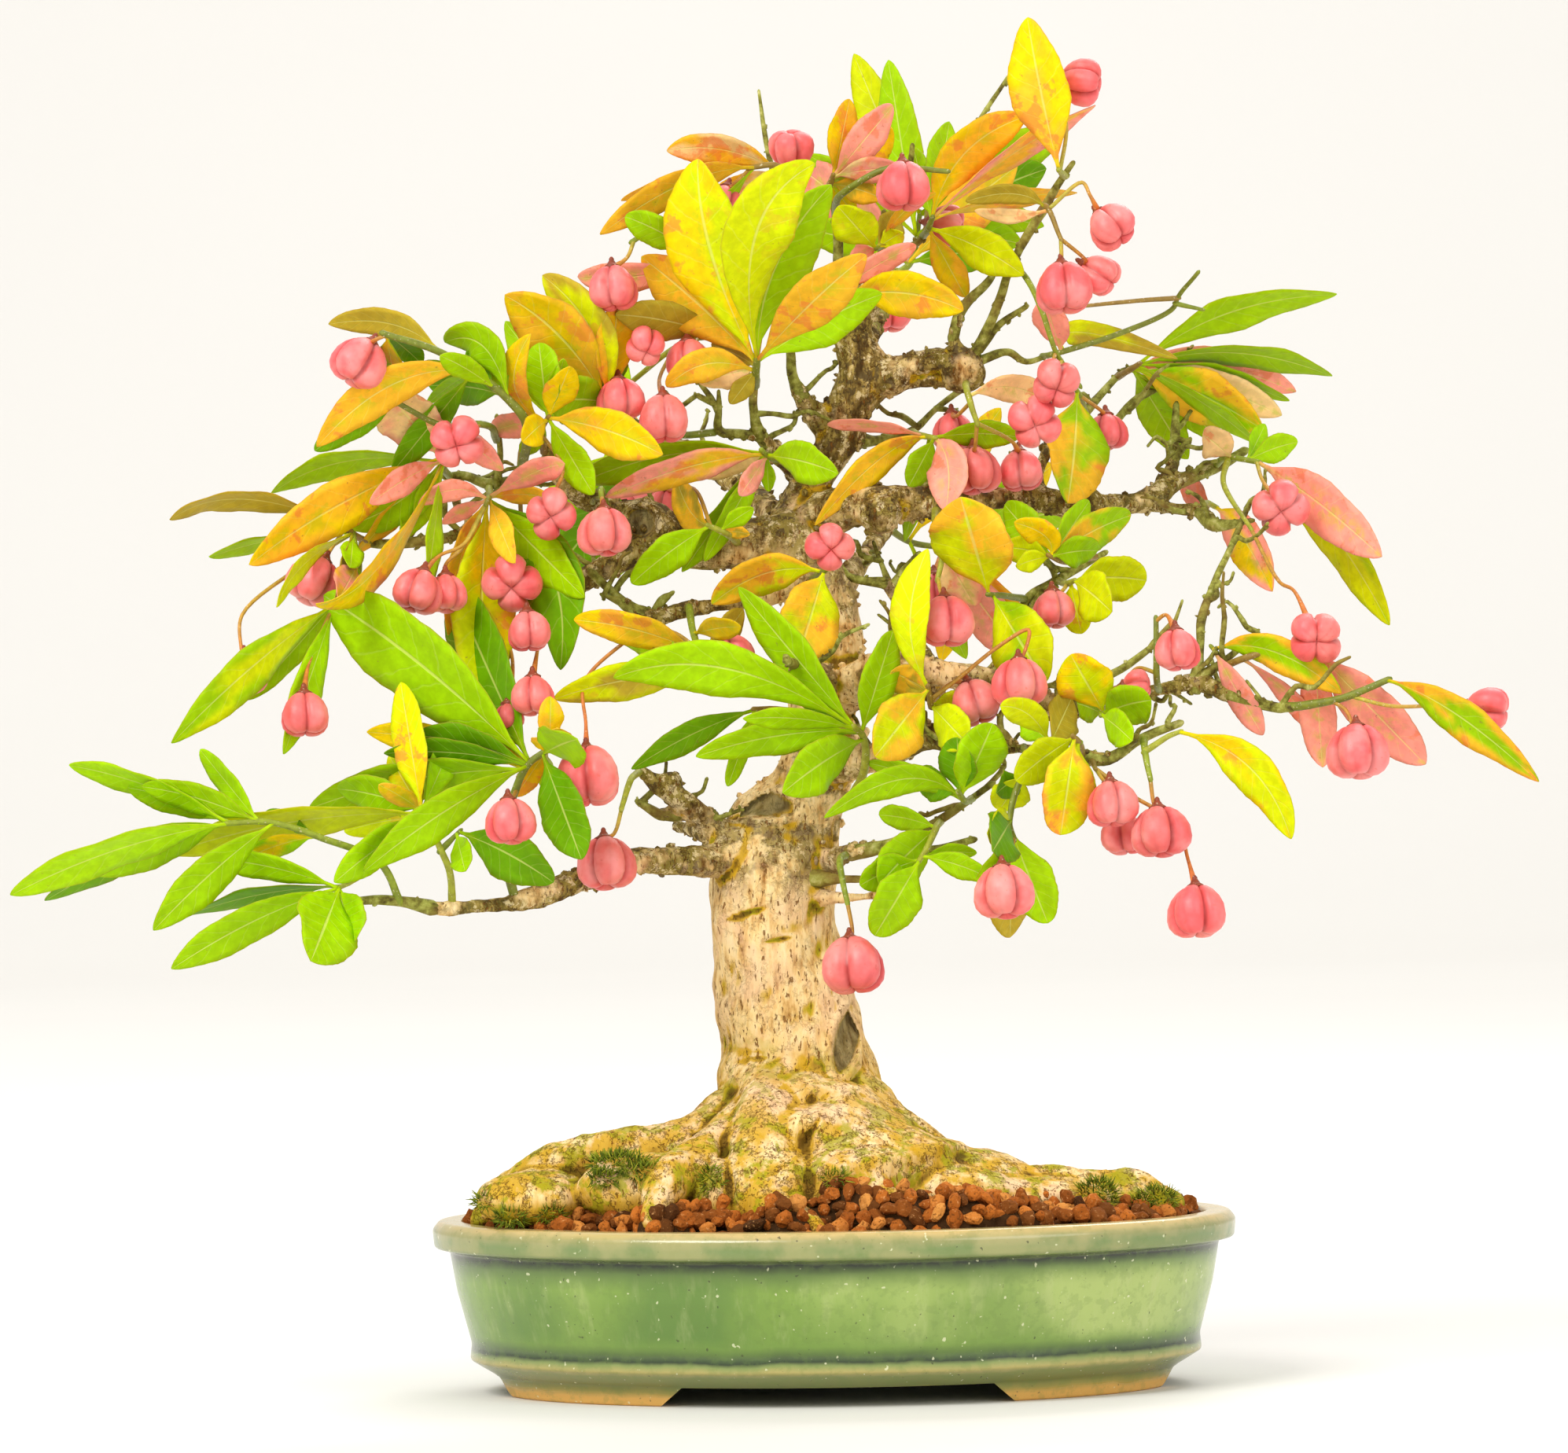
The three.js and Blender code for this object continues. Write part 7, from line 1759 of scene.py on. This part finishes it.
# The far side, which the photo can't show, gets three more
for x, y, long, high in ((-45, 38, 7, 2.6), (20, 46, 6, 2.2), (60, 30, 5, 2.2)):
    cushions.append((POT_CENTRE + np.array([x, y, POT_HEIGHT + 1.5]) * MM, long, high))
MOSS_GREEN = moss_material()
mounds = plain_object("moss_mounds", *joined(domes(cushions)))
mounds.data.materials.append(MOSS_GREEN)
blades = baked(with_nodes(mounds, blades_group(), {"Material": MOSS_GREEN}), "soil.moss")
for piece in (bed, grains, blades):
    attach(piece, "root")
    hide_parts("soil")
print("moss faces:", len(blades.data.polygons))

# %% [markdown]
# ## Pot
#
# A profile is turned and drawn out to an oval. Its corners are rounded, as glaze rounds them.
# The foot ring is cut into four feet, and three drain holes go through the floor.

# %% Glaze
def glaze_material():
    """Green glaze by height: tan where it runs thin on edges, a nearly black band low on the wall, and
    painted shade that darkens to nearly black under the rim's lip.
    """
    p = Paint("glaze")
    place = p.node("TexCoord")["Object"]
    height = p.node("SeparateXYZ", {"Vector": place})["Z"]
    wander = p.times(p.minus(p.noise(place, 120.0, 3.0), 0.5), 0.0016)
    level = p.math("DIVIDE", p.plus(height, wander), POT_HEIGHT * MM)
    # From 0.66 to 0.815 of the height the ramp darkens into painted shade under the rim's lip; the dark stop
    # at 0.262 is the band low on the wall
    colour = p.ramp(level, [
        (0.0, (0.74, 0.42, 0.10)), (0.045, (0.70, 0.40, 0.09)), (0.08, (0.30, 0.26, 0.05)),
        (0.115, (0.16, 0.18, 0.04)), (0.175, (0.20, 0.23, 0.05)), (0.205, (0.42, 0.35, 0.11)),
        (0.24, (0.22, 0.28, 0.08)), (0.262, (0.028, 0.045, 0.018)), (0.285, (0.06, 0.10, 0.03)),
        (0.35, (0.16, 0.275, 0.042)), (0.66, (0.20, 0.325, 0.048)), (0.76, (0.12, 0.20, 0.042)),
        (0.815, (0.014, 0.022, 0.010)), (0.85, (0.20, 0.25, 0.08)), (0.90, (0.18, 0.25, 0.08)),
        (0.955, (0.33, 0.31, 0.12)), (0.985, (0.58, 0.43, 0.17))])
    body = p.times(p.mask(level, 0.30, 0.42), p.mask(level, 0.80, 0.66))
    running = p.stretched(place, 0.5)
    pale = p.mask(p.noise(running, 17.0, 3.0, 0.45), 0.46, 0.68)
    colour = p.over(colour, p.times(body, pale), 0.8, (0.44, 0.54, 0.16))
    deep = p.mask(p.noise(running, 26.0, 4.0, 0.5), 0.54, 0.38)
    colour = p.over(colour, p.times(body, deep), 0.6, (0.075, 0.17, 0.03))
    fine = p.noise(p.stretched(place, 0.2), 240.0, 4.0, 0.6)
    colour = p.over(colour, p.times(p.mask(fine, 0.5, 0.7), body), 0.2, (0.55, 0.58, 0.26))
    mottle = p.noise(place, 330.0, 4.0, 0.65)
    colour = p.over(colour, p.mask(mottle, 0.52, 0.40), 0.22, (0.12, 0.20, 0.035))
    rim = p.mask(level, 0.84, 0.87)
    grey = p.mask(p.noise(place, 60.0, 4.0), 0.45, 0.62)
    colour = p.over(colour, p.times(rim, grey), 0.45, (0.46, 0.40, 0.17))
    specks = p.noise(place, 700.0, 1.0)
    colour = p.over(colour, p.mask(specks, 0.72, 0.77), 0.6, (0.78, 0.78, 0.50))
    dark = p.mask(p.noise(place, 760.0, 1.0), 0.27, 0.22)
    colour = p.over(colour, dark, 0.7, (0.04, 0.04, 0.015))
    rough = p.plus(p.times(p.mask(level, 0.07, 0.03), 0.5), 0.24)
    waves = p.plus(p.noise(place, 150.0, 3.0), p.times(fine, 0.25))
    return p.finish(colour, rough, waves, 0.3, 0.0006, Specular_IOR_Level=0.5, Coat_Weight=0.25,
                    Coat_Roughness=0.12)


# %% Turned body
# Arches between the feet: half width and turn; then the drain holes
ARCHES = ((39, 0), (39, math.pi), (12, math.pi / 2), (12, -math.pi / 2))
ARCH_REACH, HOLE_RADIUS, HOLES = 110, 5, (-38, 0, 38)
POT_SEGMENTS = 192
CORNER = 0.75
SHARP_FROM = math.radians(48)
POT_OUTSIDE = [(72.5, FOOT_HEIGHT), (71.5, 0), (79, 0), (80.4, FOOT_HEIGHT), (86.5, 8.2),
               (86.1, 12), (89.4, 24.5), (91, 33.9), (94.6, 34.8), (95, 39), (93.4, POT_HEIGHT)]
POT_INSIDE = [(88, POT_HEIGHT), (85.5, 30), (79, FLOOR_TOP)]


def rounded(profile, radius, steps=4):
    """The profile with each inner corner turned into a short curve."""
    points = [np.array(p, float) for p in profile]
    out = [points[0]]
    for before, corner, after in zip(points, points[1:], points[2:]):
        back, ahead = before - corner, after - corner
        reach = min(radius, np.linalg.norm(back) * 0.4, np.linalg.norm(ahead) * 0.4)
        start = corner + back / np.linalg.norm(back) * reach
        end = corner + ahead / np.linalg.norm(ahead) * reach
        for s in np.linspace(0, 1, steps + 1):
            out.append((1 - s) ** 2 * start + 2 * s * (1 - s) * corner + s * s * end)
    return np.array([*out, points[-1]])


def turned_oval(profile, segments):
    """Points and faces of a closed turned body whose profile starts and ends on the axis."""
    inner = profile[1:-1]
    angle = circle(segments)
    reach, height = inner[:, :1], inner[:, 1:]
    depth = np.maximum(reach - POT_INSET, reach * 0.5)
    ring = np.stack(np.broadcast_arrays(np.cos(angle) * reach, np.sin(angle) * depth, height), -1)
    points = np.concatenate([ring.reshape(-1, 3), [[0, 0, profile[0, 1]], [0, 0, profile[-1, 1]]]])
    return points * MM + POT_CENTRE, closed_rings(len(inner), segments)


def bar(points, first):
    """A closed bar between two outlines; its sides start at the first or second corner."""
    n = len(points) // 2
    faces = [tuple(range(n))[::-1], tuple(range(n, 2 * n))]
    faces += [(k, m, m + n, k + n, k)[first:first + 4] for k, m in neighbours(n)]
    return np.array(points) * MM + POT_CENTRE, faces


profile = rounded([(0, FOOT_HEIGHT), *POT_OUTSIDE, *POT_INSIDE, (0, FLOOR_TOP)], CORNER)
pot = plain_object("pot_body", *turned_oval(profile, POT_SEGMENTS))
pot.data.materials.append(glaze_material())
cutters = []
for half, turn in ARCHES:
    outline = [(-half - 3, -1), (half + 3, -1), (half - 3, FOOT_HEIGHT), (-half + 3, FOOT_HEIGHT)]
    c, s = math.cos(turn), math.sin(turn)
    cutters.append(bar([(x * c - y * s, x * s + y * c, z)
                        for y in (0, -ARCH_REACH) for x, z in outline], 1))
for across in HOLES:
    cutters.append(bar([(math.cos(a) * HOLE_RADIUS + across, math.sin(a) * HOLE_RADIUS, z)
                        for z in (0, 20) for a in np.linspace(0, 2 * math.pi, 33)[:-1]], 0))
tools = [plain_object("cutter", *cutter) for cutter in cutters]
for tool in tools:
    cut = pot.modifiers.new("cut", "BOOLEAN")
    cut.operation = "DIFFERENCE"
    cut.solver = "EXACT"
    cut.object = tool
pot = baked(pot, "pot.glazed")
for tool in tools:
    bpy.data.objects.remove(tool)
pot.data.set_sharp_from_angle(angle=SHARP_FROM)
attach(pot, "root")
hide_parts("pot")
print("pot faces:", len(pot.data.polygons))

# %% [markdown]
# ## Floor, light and camera

# %% Stage
def stage_material(name, colour, roughness):
    p = Paint(name)
    place = p.node("TexCoord")["Object"]
    tone = p.noise(place, 3.0, 2.0)
    shade = p.ramp(tone, [(0.3, colour), (0.7, tuple(c * 1.01 for c in colour))])
    return p.finish(shade, roughness)


# One sheet of paper lies under the pot and curves up far behind it, so that a view from the
# back still stands in front of it
CURVE_START, CURVE_RADIUS, HALF_SHEET = 3.2, 1.6, 6.0
turns = np.linspace(0, math.pi / 2, 25)
sheet = [(-HALF_SHEET, 0)] + [(CURVE_START + CURVE_RADIUS * math.sin(a),
                              CURVE_RADIUS * (1 - math.cos(a))) for a in turns]
sheet.append((CURVE_START + CURVE_RADIUS, HALF_SHEET))
sheet_points = [(x, y, z) for y, z in sheet for x in (-HALF_SHEET, HALF_SHEET)]
sheet_faces = [(2 * i, 2 * i + 1, 2 * i + 3, 2 * i + 2) for i in range(len(sheet) - 1)]
backdrop = plain_object("backdrop", sheet_points, sheet_faces)
backdrop.data.materials.append(stage_material("white_paper", (0.80, 0.785, 0.755), 0.85))
backdrop.data.polygons.foreach_set("use_smooth", [True] * len(sheet_faces))


def area_light(name, place, target, size, power, colour=(1, 1, 1)):
    """A round light that is aimed at a target."""
    light = bpy.data.lights.new(name, "AREA")
    light.shape = "DISK"
    light.size = size
    light.energy = power
    light.color = colour
    thing = placed(name, light)
    thing.location = place
    thing.rotation_euler = (Vector(target) - Vector(place)).to_track_quat("-Z", "Y").to_euler()


area_light("key", (-0.9, -1.3, 1.5), (0, 0, 0.15), 1.0, 31, (1, 0.985, 0.96))
area_light("fill", (1.2, -1.2, 0.8), (0, 0, 0.15), 1.2, 9, (1, 0.99, 0.98))
area_light("back", (0.5, 1.1, 1.3), (0, 0, 0.2), 0.9, 8)
area_light("sheet", (0, 1.9, 3.2), (0, 4.6, 0.4), 2.4, 58, (1, 0.985, 0.96))
world = bpy.data.worlds.new("studio")
world.use_nodes = True
world.node_tree.nodes["Background"].inputs["Color"].default_value = (1, 0.99, 0.97, 1)
world.node_tree.nodes["Background"].inputs["Strength"].default_value = 0.72
bpy.context.scene.world = world
bpy.context.scene.view_settings.view_transform = "Standard"

camera = bpy.data.cameras.new("camera")
camera.sensor_width = 36
camera.lens = VIEW_DISTANCE * VIEW_SCALE / PHOTO_WIDTH * camera.sensor_width
camera.clip_end = 20
view = placed("camera", camera)
view.location = POT_CENTRE + np.array([VIEW_SIDE, -VIEW_DISTANCE, VIEW_HEIGHT]) * MM
view.rotation_euler = (math.pi / 2, VIEW_TURN, 0)
bpy.context.scene.camera = view
print("lens", round(camera.lens, 1))

# %% [markdown]
# ## Sizes and the end

# %% Finish
added = [thing for thing in bpy.data.objects if thing.type == "MESH"
         and thing.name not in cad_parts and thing.name != "backdrop"]
counts = {}
for thing in added:
    thing.data.calc_loop_triangles()
    counts[thing.name] = len(thing.data.loop_triangles)
largest = sorted(counts, key=counts.get, reverse=True)[:8]
print("triangles added:", sum(counts.values()), [(name, counts[name]) for name in largest])
